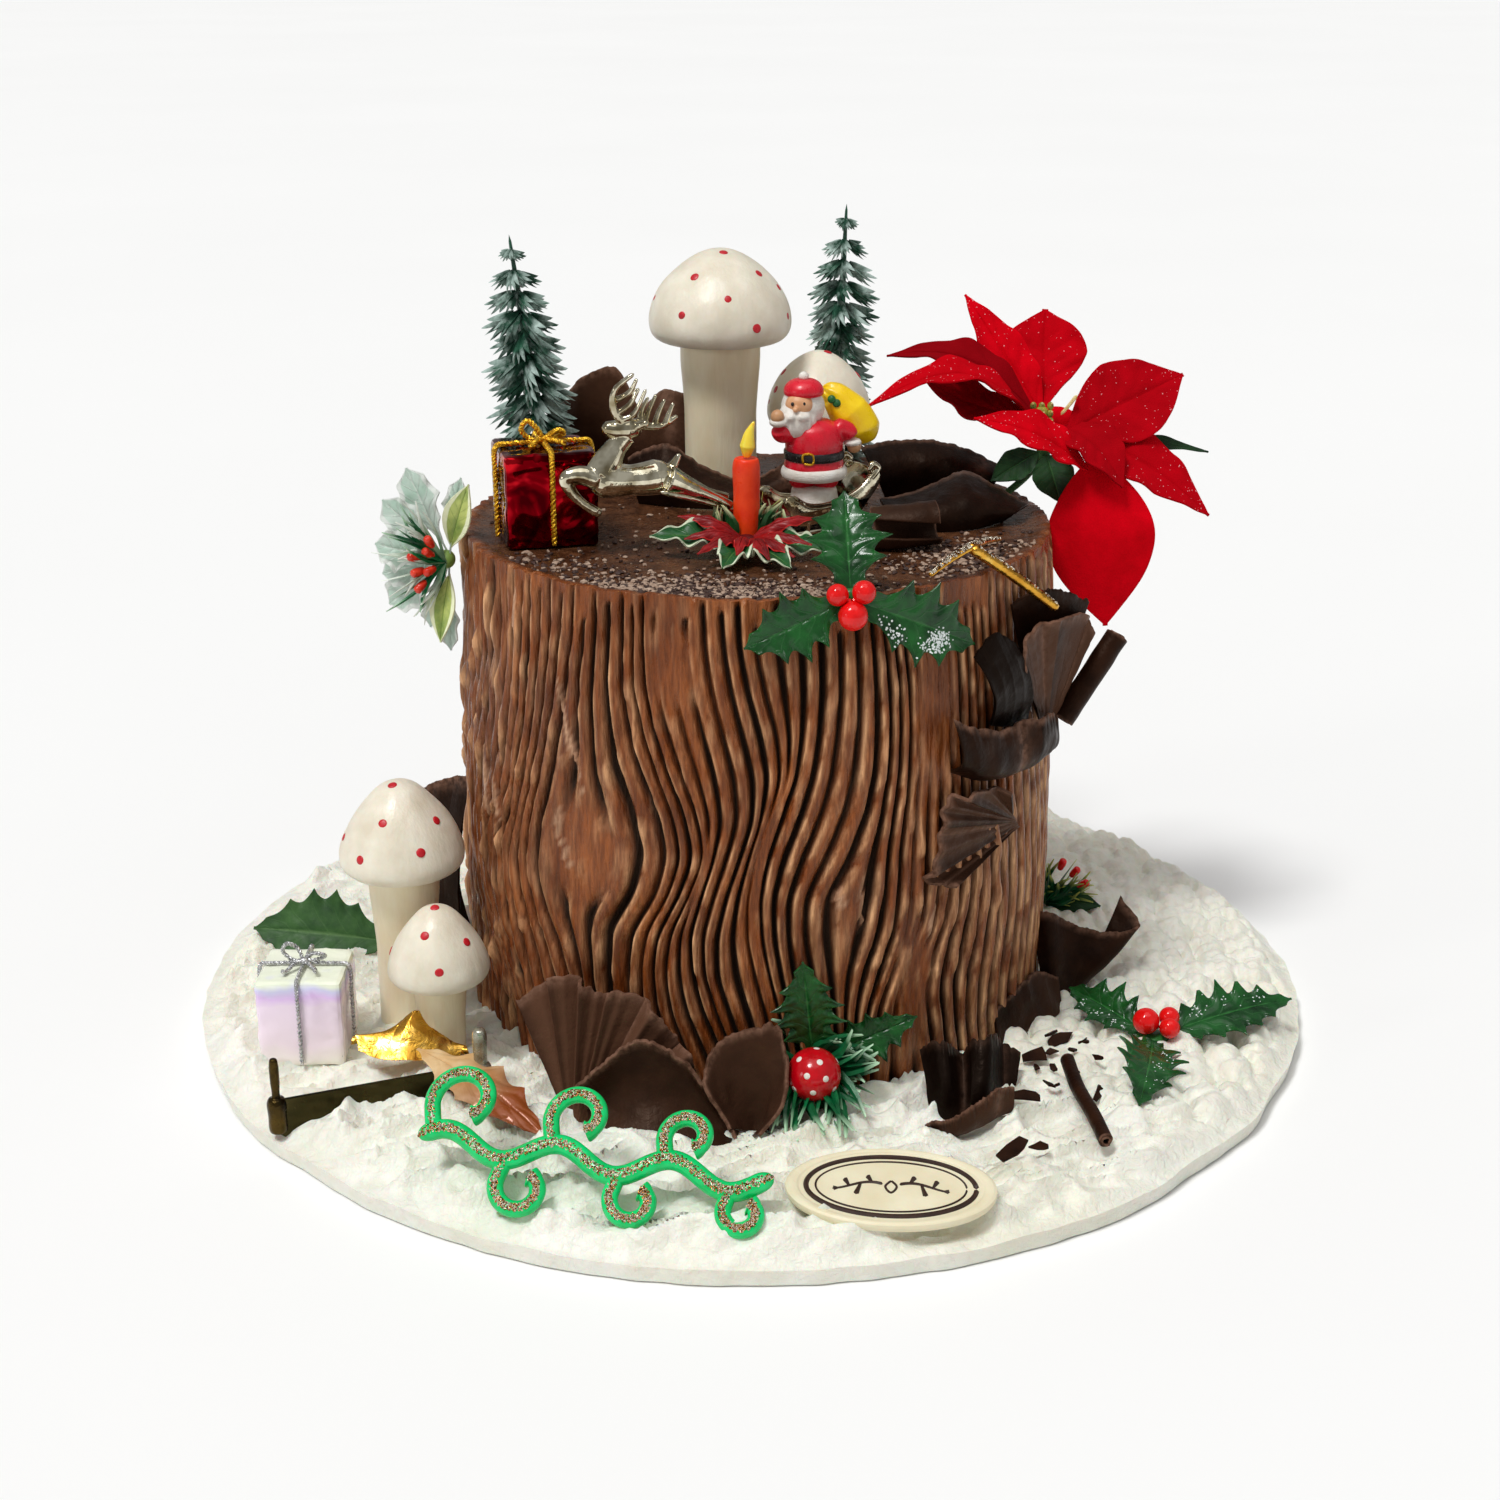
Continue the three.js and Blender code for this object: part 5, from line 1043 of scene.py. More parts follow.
plating = Finish("pale_gold_plating", (214, 206, 178), 0.08, 1.0)
plating.colour((5, 2), (0.32, (150, 138, 108)), (0.6, (228, 221, 196)))
plating.relief((2.2, 3), 0.08)
keep(fused("reindeer_casting", rods, 0.3, 2), "reindeer", plating, smooth=80)

# %% Sleigh
SLEIGH_AT, SLEIGH_TURN, SLEIGH_HALF = (6, -21, 158.15), 31, 7.5
SIDE_PLATE = [(4, 3.5), (14, 3.4), (24, 3.5), (29, 8), (33, 13.5), (32, 17.5), (29.6, 15.4), (26, 11), (16, 8),
    (8, 8.5), (2, 12.6), (-0.5, 11), (2, 7)]

# name, path seen from the side, radii, columns, sides
RODS = [("runner", [(-5, 5), (-6.4, 2.6), (-4, 0.9), (2, 0.8), (14, 0.8), (27, 0.8), (31, 2.4)], [0.8] * 2, 60, 10),
    ("scroll", [(29.8, 14), (32.4, 17.2), (30.6, 18.6), (29.4, 17), (30.4, 16)], [0.9, 1.1, 1, 0.8, 0.7], 30, 10),
    ("post", [(8, 0.8), (8, 4.2)], [0.7, 0.9], 8, 8), ("post", [(21, 0.8), (21, 4.2)], [0.7, 0.9], 8, 8),
    ("trim", [(2.4, 12.2), (8, 8.9), (16, 8.5), (26, 11.6), (31.6, 17)], [0.8] * 2, 40, 8)]


def cut_out(name, outline, thick, y):
    """A flat plate cut to a smooth outline, standing in the plane at y."""
    n = len(outline)
    u = (np.arange(n * 8) / 8 + 1) / (n + 2)
    rim = curve([(a, y, b) for a, b in outline + outline[:3]])(u)
    return flat_plate(name, rim, thick, 0.3, segments=2, limit_method="ANGLE")


frame_parts = []
for side in (-SLEIGH_HALF, SLEIGH_HALF):
    frame_parts += [cut_out("side", SIDE_PLATE, 1.3, side),
        *[tube(name, [(x, side, z) for x, z in path], radii, columns, sides)
            for name, path, radii, columns, sides in RODS],
        tube("shaft", [(4, side, 6), (-8, side, 6.6), (-21, side * 0.7 + 1, 12), (-39, side * 0.62 + 2, 18)],
            [0.7] * 2, 50, 8)]
lining = [cut_out("floor", [(-SLEIGH_HALF, 3.6), (SLEIGH_HALF, 3.6), (SLEIGH_HALF, 4.8), (-SLEIGH_HALF, 4.8)], 24, 0)]
transform(lining[0], [[0, 1, 0, 14.5 * MM], [-1, 0, 0, 0], [0, 0, 1, 0], [0, 0, 0, 1]])
back = drape("back",
    lambda u, t: xyz(26.6 + 5 * t - 1.2 * np.sin(pi * t), (2 * u - 1) * SLEIGH_HALF,
        4.6 + 11.8 * t + 0.8 * np.sin(pi * u)), 16, 12, 1.1)
keep(set_down(joined("sleigh_casting", frame_parts + [back]), SLEIGH_AT, SLEIGH_TURN), "sleigh", plating,
    smooth=45)
red_plating = tinted("red_plating", (150, 14, 24), (96, 4, 12), 6, rough=0.18, metal=0.6)
keep(set_down(joined("sleigh_floor", lining), SLEIGH_AT, SLEIGH_TURN), "sleigh", red_plating)
print("sleigh parts", len(frame_parts))

# %% [markdown]
# ## The figurine and its sack
# The little winter figure is cast in plastic and painted: red coat with white trims, a dark belt, a full white beard.
# Each colour is its own soft body of fused round shapes. The face is a plain, calm one of its own.

# %% Figurine
FIG = vec(18.6, -11.4, 163.6)


def fig(dx, dy, h):
    return tuple(FIG + vec(dx, dy, h))


PAINTS = [("red", (224, 20, 46), (196, 8, 32), 4, 0.3, 0.05),
    ("white", (240, 236, 228), (226, 218, 206), 3, 0.34, 0.25), ("black", (28, 24, 24), (14, 12, 12), 3, 0.28, 0.05),
    ("skin", (226, 172, 128), (206, 146, 102), 3, 0.36, 0.05),
    ("mitten", (206, 156, 112), (186, 134, 92), 3, 0.36, 0.05)]
paint_red, paint_white, paint_black, paint_skin, paint_tan = [tinted(f"{name}_enamel", colour, shade, size, rough,
        grain=grain) for name, colour, shade, size, rough, grain in PAINTS]
coat = [turned("coat", [(0, 10), (7.6, 10), (8.9, 12.6), (8.4, 16), (8.6, 20), (7.2, 24.6), (4, 26.6), (0, 27)], FIG,
        36, 30),
    tube("arm_left", [fig(-6, -3, 24), fig(-9.6, -5.4, 23.6), fig(-10.6, -6.8, 25.6)], [3, 2.9, 2.6], 20, 14,
        cap=0.2),
    tube("arm_right", [fig(5.4, 0, 24.4), fig(9.6, 0.6, 23), fig(11, 0.8, 20.8)], [3.1, 2.9, 2.6], 20, 14, cap=0.2)]
coat += [blob("shorts", fig(s, -0.2, 8.4), (4, 3.9, 3), 20, 14) for s in (-3.4, 3.4)]
coat.append(turned("cap_band", [(0, 35.2), (5.6, 35.2), (6, 36.6), (5.2, 38.4), (3.4, 39.7), (0, 40)],
        FIG + vec(-3.2, 0, -1.3), 32, 16))
keep(fused("figurine_coat", coat, 0.4), "figurine", paint_red, smooth=80)
fleece = [turned("hem", [(0, 9.2), (8.8, 9.2), (9.8, 10.4), (9.5, 12.4), (7.8, 13.2), (0, 13.2)], FIG, 40, 14,
        uneven=0.9),
    turned("legs", [(0, 0.6), (6.2, 0.7), (7.4, 2), (7, 4), (6.4, 6.4), (0, 7)], FIG, 36, 18, uneven=0.8)]
fleece += [blob("boot", fig(s - 0.8, -1.4, 1.9), (3.4, 4.1, 2), 20, 12) for s in (-3.4, 3.4)]
fleece += [blob("cuff", fig(-10.8, -7.1, 27.2), (2.7, 2.7, 1.5), 18, 10),
    blob("cuff", fig(11.4, 0.9, 19.6), (2.8, 2.8, 1.4), 18, 10)]
fleece += [blob("hair", fig(-3.4, 0, 30.4), (6.5, 5.6, 6.4), 30, 20),
    blob("beard", fig(-5.4, -2.8, 26.6), (5.9, 4.9, 6), 30, 20,
        shape=lambda w: 1 + 0.07 * np.sin(11 * np.arctan2(w[:, 0], -w[:, 1]) + 2 * w[:, 2]) * (w[:, 2] < 0.5)),
    blob("bobble", fig(-3.2, 0, 39.4), (1.6, 1.6, 1.5), 16, 10)]
fleece += [tube("moustache",
        [fig(-5.6 + 0.4 * s, -7.7, 28.9), fig(-5.6 + 2.4 * s, -7.1, 28.5), fig(-5.6 + 4.2 * s, -5.6, 28.9)],
        [1.1, 1, 0.5], 16, 10, cap=0.2) for s in (-1, 1)]
keep(fused("figurine_fleece", fleece, 0.4, 3), "figurine", paint_white, smooth=80)
face = [blob("face", fig(-4.4, -3.1, 31.6), (4.3, 3.7, 3.7), 28, 20),
    blob("nose", fig(-5.7, -7.1, 30.9), (0.95, 0.9, 0.85), 14, 10)]
keep(fused("figurine_face", face, 0.3, 3), "figurine", paint_skin, smooth=80)
eyes = [blob("eye", fig(-4.9 + 1.7 * s, -6.35 + 0.12 * s, 32.4), (0.5, 0.45, 0.6), 12, 8) for s in (-1, 1)]
belt = turned("belt", [(7.4, 15.2), (8.8, 15.1), (9, 16.4), (8.9, 17.7), (7.4, 17.6), (7.4, 15.2)], FIG, 40, 16)
keep(joined("figurine_belt", [belt, *eyes]), "figurine", paint_black)
buckle = [tube("buckle",
        [fig(-2 + a, -8.6 - 0.1 * a, 16.4 + b)
        for a, b in ((-1.4, -1.3), (1.4, -1.3), (1.4, 1.3), (-1.4, 1.3), (-1.4, -1.3))], [0.36] * 2, 24, 8)]
keep(joined("figurine_buckle", buckle), "figurine", gold_thread)
mittens = [blob("mitten", fig(-11, -7.7, 29), (2, 2, 2.1), 18, 12),
    blob("mitten", fig(11.9, 0.9, 18.4), (2.2, 2.2, 2.1), 18, 12)]
keep(joined("figurine_mittens", mittens), "figurine", paint_tan)

# %% Sack
def sack_surface(u, t):
    body = tube_surface([fig(*p)
            for p in ((2.6, 9, 34), (6, 9.4, 32), (10.4, 9.6, 27), (14.2, 9.6, 21.5), (14.6, 9.4, 17))],
        [1.7, 4.1, 6.2, 6, 2.6], cap=0.12)
    p = body(u, t)
    axis = FIG + vec(9, 9.5, 27)
    fold = 0.35 * np.cos(TAU * 7 * t) * (1 - u) ** 2 + 0.2 * (lumps(p, 3) - 0.5)
    return p + unit(p - axis) * fold[:, None]


sack_paint = tinted("yellow_enamel", (254, 216, 14), (240, 194, 6), 5, rough=0.3, grain=0.08)
keep(drape("sack_casting", sack_surface, 48, 40), "sack", sack_paint, smooth=70)
leaf_paint = tinted("green_enamel", (24, 110, 46), (12, 84, 34), 2, rough=0.3)
patch = [stud(FIG + vec(5.2 + 1.5 * k, 4.9, 31.6 - 1.2 * k), (-0.1, -1, 0.25), 1.25, 0.6) for k in (0, 1)]
keep(copies("sack_leaf", button, patch), "sack", leaf_paint)
drop(button)

# %% [markdown]
# ## Leaves
# All the leaves are one family: a sheet that widens and narrows from its base to its tip, cupped across and arched
# along. Holly has sharp spines with hollow edges between them, and its edge curls up at each spine and down in each
# hollow. Three marks go with every leaf, how far along, how far across and how dark, and the finishes draw veins
# and pale edges from them. How dark is a painted shade, for bracts that face away from the light.

# %% A leaf of any kind
def beyond(hub, tip, away):
    return vec(*hub) + unit(vec(*tip) - vec(*hub)) * away


def leaf_surface(base, tip, up, width, arch=0, cup=1.0, belly=1.0, spines=0, bite=0.0, sharp=0.7, curl=0.0, wave=0.0,
        quilt=0.0):
    base, tip = vec(*base), vec(*tip)
    run = tip - base
    side = unit(np.cross(run, vec(*up)))
    face = unit(np.cross(side, run))

    def surface(u, t):
        s = 2 * t - 1
        full = np.sin(pi * np.clip(u, 0.02, 0.985) ** belly)
        edge = 1 - bite * np.abs(np.sin(pi * (spines * u + 0.5))) ** sharp if spines else 1
        half = np.maximum(width / 2 * full * edge, 0.25)
        lift = arch * np.sin(pi * u) + cup * s * s * full
        if spines:
            lift = lift + curl * abs(s) ** 3 * np.cos(TAU * spines * u + pi) * full
        lift = lift + wave * abs(s) ** 2 * np.sin(TAU * 3.5 * u + 2 * np.sign(s)) * full
        lift = lift - quilt * np.exp(-(s / 0.07) ** 2) * full
        lift = lift + quilt * 0.55 * abs(np.sin(pi * (7 * u - 1.6 * abs(s)))) * np.minimum(abs(s) * 4, 1) * full
        return base + run * u[:, None] + side * (s * half)[:, None] + face * lift[:, None]
    return surface


LEAF_MARKS = {"along": lambda u, t: u, "across": lambda u, t: abs(2 * t - 1)}


def leaf(name, columns=60, rows=24, thick=0.55, shade=0.0, **shape):
    marks = {**LEAF_MARKS, "shade": lambda u, t: 0 * u + shade}
    return drape(name, leaf_surface(**shape), columns, rows, thick, marks=marks)


HOLLY = dict(cup=1.4, spines=5, bite=0.4, sharp=0.8, curl=1.6, quilt=0.5, belly=0.95)


def holly(base, tip, up, width, arch, **more):
    """What a holly leaf is like, for leaf and leaf_surface."""
    return {**HOLLY, **dict(base=base, tip=tip, up=up, width=width, arch=arch), **more}


def leaf_finish(name, dark, light, rim, rim_from, rough, veins, vein_colour, **sockets):
    """Leaf colour with a pale rim, a midrib and side veins."""
    made = Finish(name, light, rough, **sockets)
    across, along = made.mark("across"), made.mark("along")
    body = made.ramp((7, 4), (0.3, dark), (0.7, light))
    rib = made.ramp(across, (0.0, 1.0), (0.07, 0.0))
    slant = made.maths("FRACT",
        made.maths("SUBTRACT", made.maths("MULTIPLY", along, 7.0), made.maths("MULTIPLY", across, 1.6)))
    side_vein = made.ramp(slant, (0.0, veins), (0.09, 0.0), (0.91, 0.0), (1.0, veins))
    body = made.mix(made.maths("MAXIMUM", rib, side_vein), body, vein_colour)
    pale = made.ramp(made.maths("ADD", across, made.maths("MULTIPLY", (3, 2), 0.1)), (rim_from, 0.0),
        (min(rim_from + 0.06, 1), 1.0))
    made.colour(made.mix(pale, body, rim))
    made.gloss((3, 3), (0.3, max(rough - 0.08, 0.05)), (0.7, rough + 0.12))
    made.relief(side_vein, 0.25).relief((1.2, 3), 0.08)
    return made


holly_green = leaf_finish("holly_leaf", (8, 42, 16), (30, 92, 38), (176, 200, 150), 1.0, 0.2, 0.3, (48, 110, 52),
    Specular_IOR_Level=0.32)

# %% Specks of snow
bpy.ops.mesh.primitive_ico_sphere_add(subdivisions=1, radius=1)
speck = bpy.context.object
snow = tinted("snow_specks", (238, 242, 240), (214, 224, 222), 1, rough=0.65)


def sprinkled(name, surfaces, count, size, draw, edge_only=False, lift=0.35, along=(0.08, 0.95), drifts=None):
    """Specks stuck on sheets at seeded chance: surface(u, t) gives the place, its slope the way to lie."""
    places = []
    for surface in surfaces:
        u = draw.uniform(*along, count)
        t = draw.beta(0.5, 0.5, count) * 0.94 + 0.03 if edge_only else draw.uniform(0.05, 0.95, count)
        if drifts:
            middle = np.array(drifts)[draw.integers(len(drifts), size=count)]
            u, t = np.clip(np.stack([middle[:, 0] + draw.normal(0, 0.05, count),
                    middle[:, 1] + draw.normal(0, 0.09, count)]), 0.03, 0.97)
        p = surface(u, t)
        du, dt = surface(u + 0.01, t) - p, surface(u, t + 0.01) - p
        normal = unit(np.cross(dt, du))
        for k in range(count):
            way = normal[k] if normal[k] @ vec(0, -0.6, 0.8) > 0 else -normal[k]
            r = size * draw.uniform(0.5, 1.3)
            places.append(aim(p[k] + way * (lift - 0.1), p[k] + way * (lift + 0.25 * r), r))
    return copies(name, speck, places)


# %% Holly in front, on the right and on the left
FRONT_HOLLY = [holly((26.4, -92, 160.4), (25, -75, 184), (0, -1, 0.45), 24, 1.5),
    holly((24.8, -93.2, 158.6), (-2, -97.2, 146.6), (0, -1, 0.1), 21, 1.5),
    holly((28.4, -93.2, 158.4), (61.4, -76.6, 141.4), (0.5, -0.8, 0.15), 24, 2)]
RIGHT_HOLLY = [holly((119.4, -62.4, 13.4), (99, -38, 17), (-0.2, -0.5, 1), 19, 1.5),
    holly((123, -63, 13.4), (166, -47, 17.6), (0, -0.6, 1), 21, 2.5, spines=7),
    holly((120.6, -65, 13.3), (110, -105, 13), (0.3, 0, 1), 22, 3, spines=6)]
LEFT_HOLLY = holly((-119, 2, 14), (-164, 6, 17), (0, -0.8, 0.62), 30, 2.5, spines=6, bite=0.24, curl=0.8)
hub_front = blob("hub", (26.6, -92.6, 159.2), (4, 1.8, 2.8), 20, 12)
keep(joined("holly_front", [leaf("holly", **one) for one in FRONT_HOLLY] + [hub_front]), "holly_front_leaves",
    holly_green, smooth=55)
keep(sprinkled("holly_front_snow", [leaf_surface(**FRONT_HOLLY[2])], 190, 0.36, seeded(41),
        drifts=[(0.3, 0.78), (0.66, 0.7), (0.7, 0.6), (0.62, 0.8)]), "holly_front_leaves", snow)
hub_right = blob("hub", (121, -63.4, 13.4), (5, 4.2, 1.6), 20, 12)
keep(joined("holly_right", [leaf("holly", **one) for one in RIGHT_HOLLY] + [hub_right]), "holly_right_leaves",
    holly_green, smooth=55)
keep(sprinkled("holly_right_snow", [leaf_surface(**one) for one in RIGHT_HOLLY], 34, 0.26, seeded(42),
        drifts=[(0.3, 0.2), (0.5, 0.3), (0.75, 0.25)]), "holly_right_leaves", snow)
keep(joined("holly_left", [leaf("holly", **LEFT_HOLLY)]), "holly_left_leaf",
    leaf_finish("matt_holly_leaf", (34, 66, 32), (62, 100, 50), (90, 124, 72), 1.0, 0.5, 0.15, (78, 112, 62),
        Specular_IOR_Level=0.2), smooth=55)

# %% Berries
berry_red = tinted("glossy_berry", (240, 24, 24), (206, 10, 12), 4, rough=0.14, grain=0.02, Specular_IOR_Level=0.4)


def berry_group(name, hub, list_of):
    parts = []
    for x, y, z, r in list_of:
        parts.append(blob("berry", (x, y, z), (r, r, r), 28, 20,
                shape=lambda w: 1 - 0.06 * np.exp(-((w[:, 0] ** 2 + (w[:, 2] - 0.5) ** 2) / 0.03)) * (w[:, 1] < 0)))
        parts.append(tube("stalk", [hub, (x, y, z)], [0.7, 0.6], 8, 6))
    return joined(name, parts)


keep(berry_group("berries_front", (26.6, -97, 159.4),
        [(22.8, -96.4, 161.2, 3), (29.8, -96.2, 161.9, 3.2), (26.9, -97.6, 155.8, 4)]), "holly_front_berries",
    berry_red)
keep(berry_group("berries_right", (122.6, -65, 17),
        [(118.4, -64.4, 19, 4), (125.6, -62.6, 19.4, 3.1), (125, -67.4, 18.2, 3.1)]), "holly_right_berries",
    berry_red)
print("holly leaves", len(FRONT_HOLLY) + len(RIGHT_HOLLY) + 1)

# %% [markdown]
# ## Needles
# The picks carry sprays of soft plastic needles, thin and slightly bent, white or yellowish at the tip. A needle is
# modelled once, as a tapered rod of twenty faces. A spray is many copies of it that fan out from one place.

# %% One needle and a spray of them
def needle_surface(u, t):
    wide = 1 - 0.75 * u ** 3
    return xyz(wide * np.cos(TAU * t) + 2.2 * np.sin(pi * u), wide * np.sin(TAU * t), u) / MM


needle = drape("needle", needle_surface, 5, 4, marks={"tip": lambda u, t: u})
ABOVE_CREAM = 10.8  # the height that needles rest at on the cream


def needle_fan(draw, hub, count, angles, reaches, lean, thick, flat=0.4, floor=ABOVE_CREAM):
    """Needles that fan out from a hub, as seen from the front: between two angles and two lengths, leaning forward."""
    places = []
    for a in np.radians(draw.uniform(*angles, count)):
        reach = draw.uniform(*reaches)
        forward = lean[0] * draw.random() + lean[1] * reach / reaches[1] * max(-sin(a), 0)
        head = hub + vec(reach * cos(a), -forward, reach * sin(a))
        head[2] = max(head[2], floor + 2.4 * draw.random())
        places.append(aim(hub, head, thick, roll=draw.uniform(0, TAU), flat=flat))
    return places


def needle_finish(name, base, end, from_tip):
    made = Finish(name, base, 0.3, Specular_IOR_Level=0.3)
    body = made.ramp((6, 3), (0.3, [c * 0.6 for c in base]), (0.7, base))
    made.colour(made.mix(made.ramp(made.mark("tip"), (from_tip, 0.0), (1.0, 1.0)), body, end))
    return made.relief((0.5, 2), 0.05)


tinsel = needle_finish("tinsel_needle", (18, 104, 58), (206, 214, 110), 0.72)

# %% [markdown]
# ## The candle pick
# A little plastic candle stands in a ring of pointed red leaves, over wavy green leaves with white edges. The
# needles behind it come from the same pick.

# %% Candle
CANDLE_X, CANDLE_Y, CANDLE_LOW, CANDLE_TOP, CANDLE_R = -1.4, -36, 159.2, 184.4, 3.9
wax = tinted("candle_wax", (250, 74, 22), (236, 50, 10), 5, rough=0.35, grain=0.1, Specular_IOR_Level=0.35)
high = CANDLE_TOP - CANDLE_LOW
keep(turned("candle_stick",
        [(0, 0), (2, 0), (CANDLE_R * 0.98, 0.3), (CANDLE_R, 2), (CANDLE_R * 0.99, high * 0.5),
        (CANDLE_R * 0.96, high - 1.4), (CANDLE_R * 0.8, high - 0.2), (2, high - 0.4), (0, high - 0.6)],
        (CANDLE_X, CANDLE_Y, CANDLE_LOW), 40, 50, uneven=0.35), "candle", wax)
flame_yellow = Finish("flame_plastic", (250, 214, 60), 0.25, Subsurface_Weight=0.3, Subsurface_Scale=0.003)
flame_yellow.colour((5, 3, (1, 1, 0.5)), (0.3, (244, 150, 22)), (0.6, (252, 222, 70)))
flame_yellow.relief((2, 3, (1, 1, 0.4)), 0.2)
keep(tube("flame",
        [(CANDLE_X + a, CANDLE_Y, CANDLE_TOP + h) for a, h in ((0, -0.2), (0.3, 3.2), (0.8, 6.8), (2.2, 10.5))],
        [0.9, 2.3, 1.5, 0.3], 36, 20, cap=0.06), "candle_flame", flame_yellow)
CANDLE_RED_TIPS = [(-21, -42, 168.6), (-19, -50, 164), (-15, -61, 162.6), (-4, -61, 162.2), (5, -64, 161.8),
    (12, -62, 162), (17, -55, 163.6), (19, -42, 168)]
CANDLE_GREEN_TIPS = [(-29, -47, 164), (-8, -66, 159.9), (11, -66, 160), (22, -50, 160.6)]
red_leaf = leaf_finish("red_leaf_cloth", (96, 2, 8), (160, 8, 14), (200, 40, 38), 0.9, 0.42, 0.2, (84, 2, 6),
    Specular_IOR_Level=0.3)
variegated = leaf_finish("white_edged_leaf", (14, 62, 28), (34, 96, 44), (216, 226, 196), 0.86, 0.35, 0.3,
    (96, 140, 74), Specular_IOR_Level=0.3)
red_hub, green_hub = (CANDLE_X, CANDLE_Y - 8, 162.4), (CANDLE_X, CANDLE_Y - 8, 159.7)
keep(joined("red_leaves",
        [leaf("red", 40, 16, 0.45, base=beyond(red_hub, tip, 1.6), tip=tip, up=(0, -0.5, 1), width=4.4, arch=2.8,
        cup=-1.4, quilt=0.35, wave=0.6, belly=0.8) for tip in CANDLE_RED_TIPS]
        + [blob("hub", red_hub, (2.8, 2.8, 1.4), 20, 10)]), "candle_red_leaves", red_leaf, smooth=60)
green_parts = [leaf("green", 44, 18, 0.45, base=beyond(green_hub, tip, 1.6), tip=tip, up=(0, -0.5, 1), width=9.5,
        arch=2.2, cup=1.2, quilt=0.3, wave=1.8) for tip in CANDLE_GREEN_TIPS]
green_parts.append(blob("hub", green_hub, (2.8, 2.8, 1.2), 20, 10))
keep(joined("green_leaves", green_parts), "candle_green_leaves", variegated, smooth=60)
draw = seeded(51)
hub = vec(CANDLE_X + 1, CANDLE_Y + 6.5, 160.4)
keep(copies("candle_needles", needle, needle_fan(draw, hub, 46, (0, 180), (5, 13), (-5, 0), 0.6, floor=158.6)),
    "candle_green_leaves", tinsel)
blades = []
for side in (-1, 1):
    for k in range(11):
        foot = vec(CANDLE_X + side * draw.uniform(4.4, 7.5), CANDLE_Y + draw.uniform(-3.5, 3), 159.4)
        head = foot + vec(side * draw.uniform(-0.6, 4.6), draw.uniform(-1.5, 2), draw.uniform(8.5, 13))
        blades.append(aim(foot, head, 1.3, roll=draw.uniform(0, TAU), flat=0.4))
blade_green = needle_finish("edged_blade", (42, 96, 48), (220, 226, 176), 0.72)
keep(copies("candle_blades", needle, blades), "candle_green_leaves", blade_green)

# %% [markdown]
# ## The pick with the dotted ball
# The ball is glossy red with raised white dots all round. Behind it two holly leaves stand up and a wide spray of
# needles fans out.

# %% Dotted ball
BALL, BALL_R = vec(17.7, -103, 22), 7.7
ball_red = tinted("ball_red", (206, 10, 26), (168, 2, 14), 5, rough=0.14, grain=0.02, Specular_IOR_Level=0.4)
keep(blob("ball", BALL, (BALL_R,) * 3, 56, 36), "dotted_ball", ball_red)
DOT_WAYS = [(-.56, -.28, .78), (.2, -.56, .81), (-.28, -.87, .4), (.42, -.87, .28), (-.74, -.62, -.27),
    (-.05, -.97, -.24), (.86, .21, .46), (.75, -.6, -.3), (-.9, .1, .3), (.1, .2, .97), (-.3, .8, .5), (.45, .8, .35),
    (.0, .9, -.4), (-.8, .45, -.3), (.8, .5, -.3)]
bpy.ops.mesh.primitive_uv_sphere_add(segments=14, ring_count=8, radius=1)
round_dot = bpy.context.object
keep(copies("ball_dots", round_dot,
        [aim(BALL + unit(vec(*w)) * (BALL_R - 0.1), BALL + unit(vec(*w)) * (BALL_R + 0.12), 0.95) for w in DOT_WAYS]),
    "dotted_ball", paint_white)
drop(round_dot)

# %% Leaves and needles behind the ball
hub = vec(17.7, -93.4, 21)
ball_leaves = [leaf("ball_leaf", **one)
    for one in (holly((17.7, -93.4, 22), (14.4, -97.6, 54.6), (0, -1, 0.1), 22, 0, spines=6),
        holly((18.7, -93.4, 21.4), (47.6, -90.4, 34), (0.3, -0.9, 0.25), 17, 0, spines=6))]
keep(joined("ball_leaves", ball_leaves + [blob("hub", hub, (2, 2, 2), 12, 8)]), "ball_pick_greens",
    holly_green, smooth=55)
draw = seeded(61)
places = (needle_fan(draw, hub, 52, (-142, -10), (12, 19), (5, 26), 1.5)
    + needle_fan(draw, hub, 22, (-10, 62), (12, 20), (8, 0), 1.4)
    + needle_fan(draw, hub, 5, (126, 152), (14, 20), (4, 0), 1.4))
grass = needle_finish("grassy_needle", (14, 112, 62), (190, 226, 190), 0.78)
keep(copies("ball_needles", needle, places), "ball_pick_greens", grass)

# %% [markdown]
# ## The poinsettia
# Its bracts are velvet on a wire, folded along the midrib and puckered between the side veins. Pale glitter clings
# near their edges. The centre is a cluster of small yellow-green buds with pale stamens.

# %% Bracts
FLOWER = vec(91, 18, 183)
# tip, which way it faces, width, arch, where it's widest, how much painted shade, glitter flecks
BRACTS = [((66.6, 38, 219), (0.3, -1, 0.6), 15, 1, 0.8, 0.1, 60),
    ((92.3, 42, 213.8), (0, -1, 0.5), 26, -2, 1.5, 0.3, 60), ((133.8, 26, 196.3), (0, -1, 0.6), 27, 1, 1.0, 0.6, 90),
    ((34.5, 6, 190), (0, -0.3, 1), 15, 14, 0.85, 0.3, 110), ((42.4, 34, 200.6), (0, -0.5, 1), 14, 11, 0.9, 1, 0),
    ((52, 12, 198.2), (0, -0.6, 1), 17, -3.5, 1.1, 0.9, 0), ((66.4, -4, 188.9), (0, -0.6, 1), 16, 4.5, 0.9, 0.1, 80),
    ((112, -5, 168), (0.2, -0.6, 1), 18, 6, 1, 0.7, 20), ((140.8, 6, 156.6), (0.1, -0.8, 1), 20, 6, 0.9, 0.5, 100),
    ((109.4, -3, 124), (0, -1, 0.1), 33, 4, 0.95, 0, 0)]
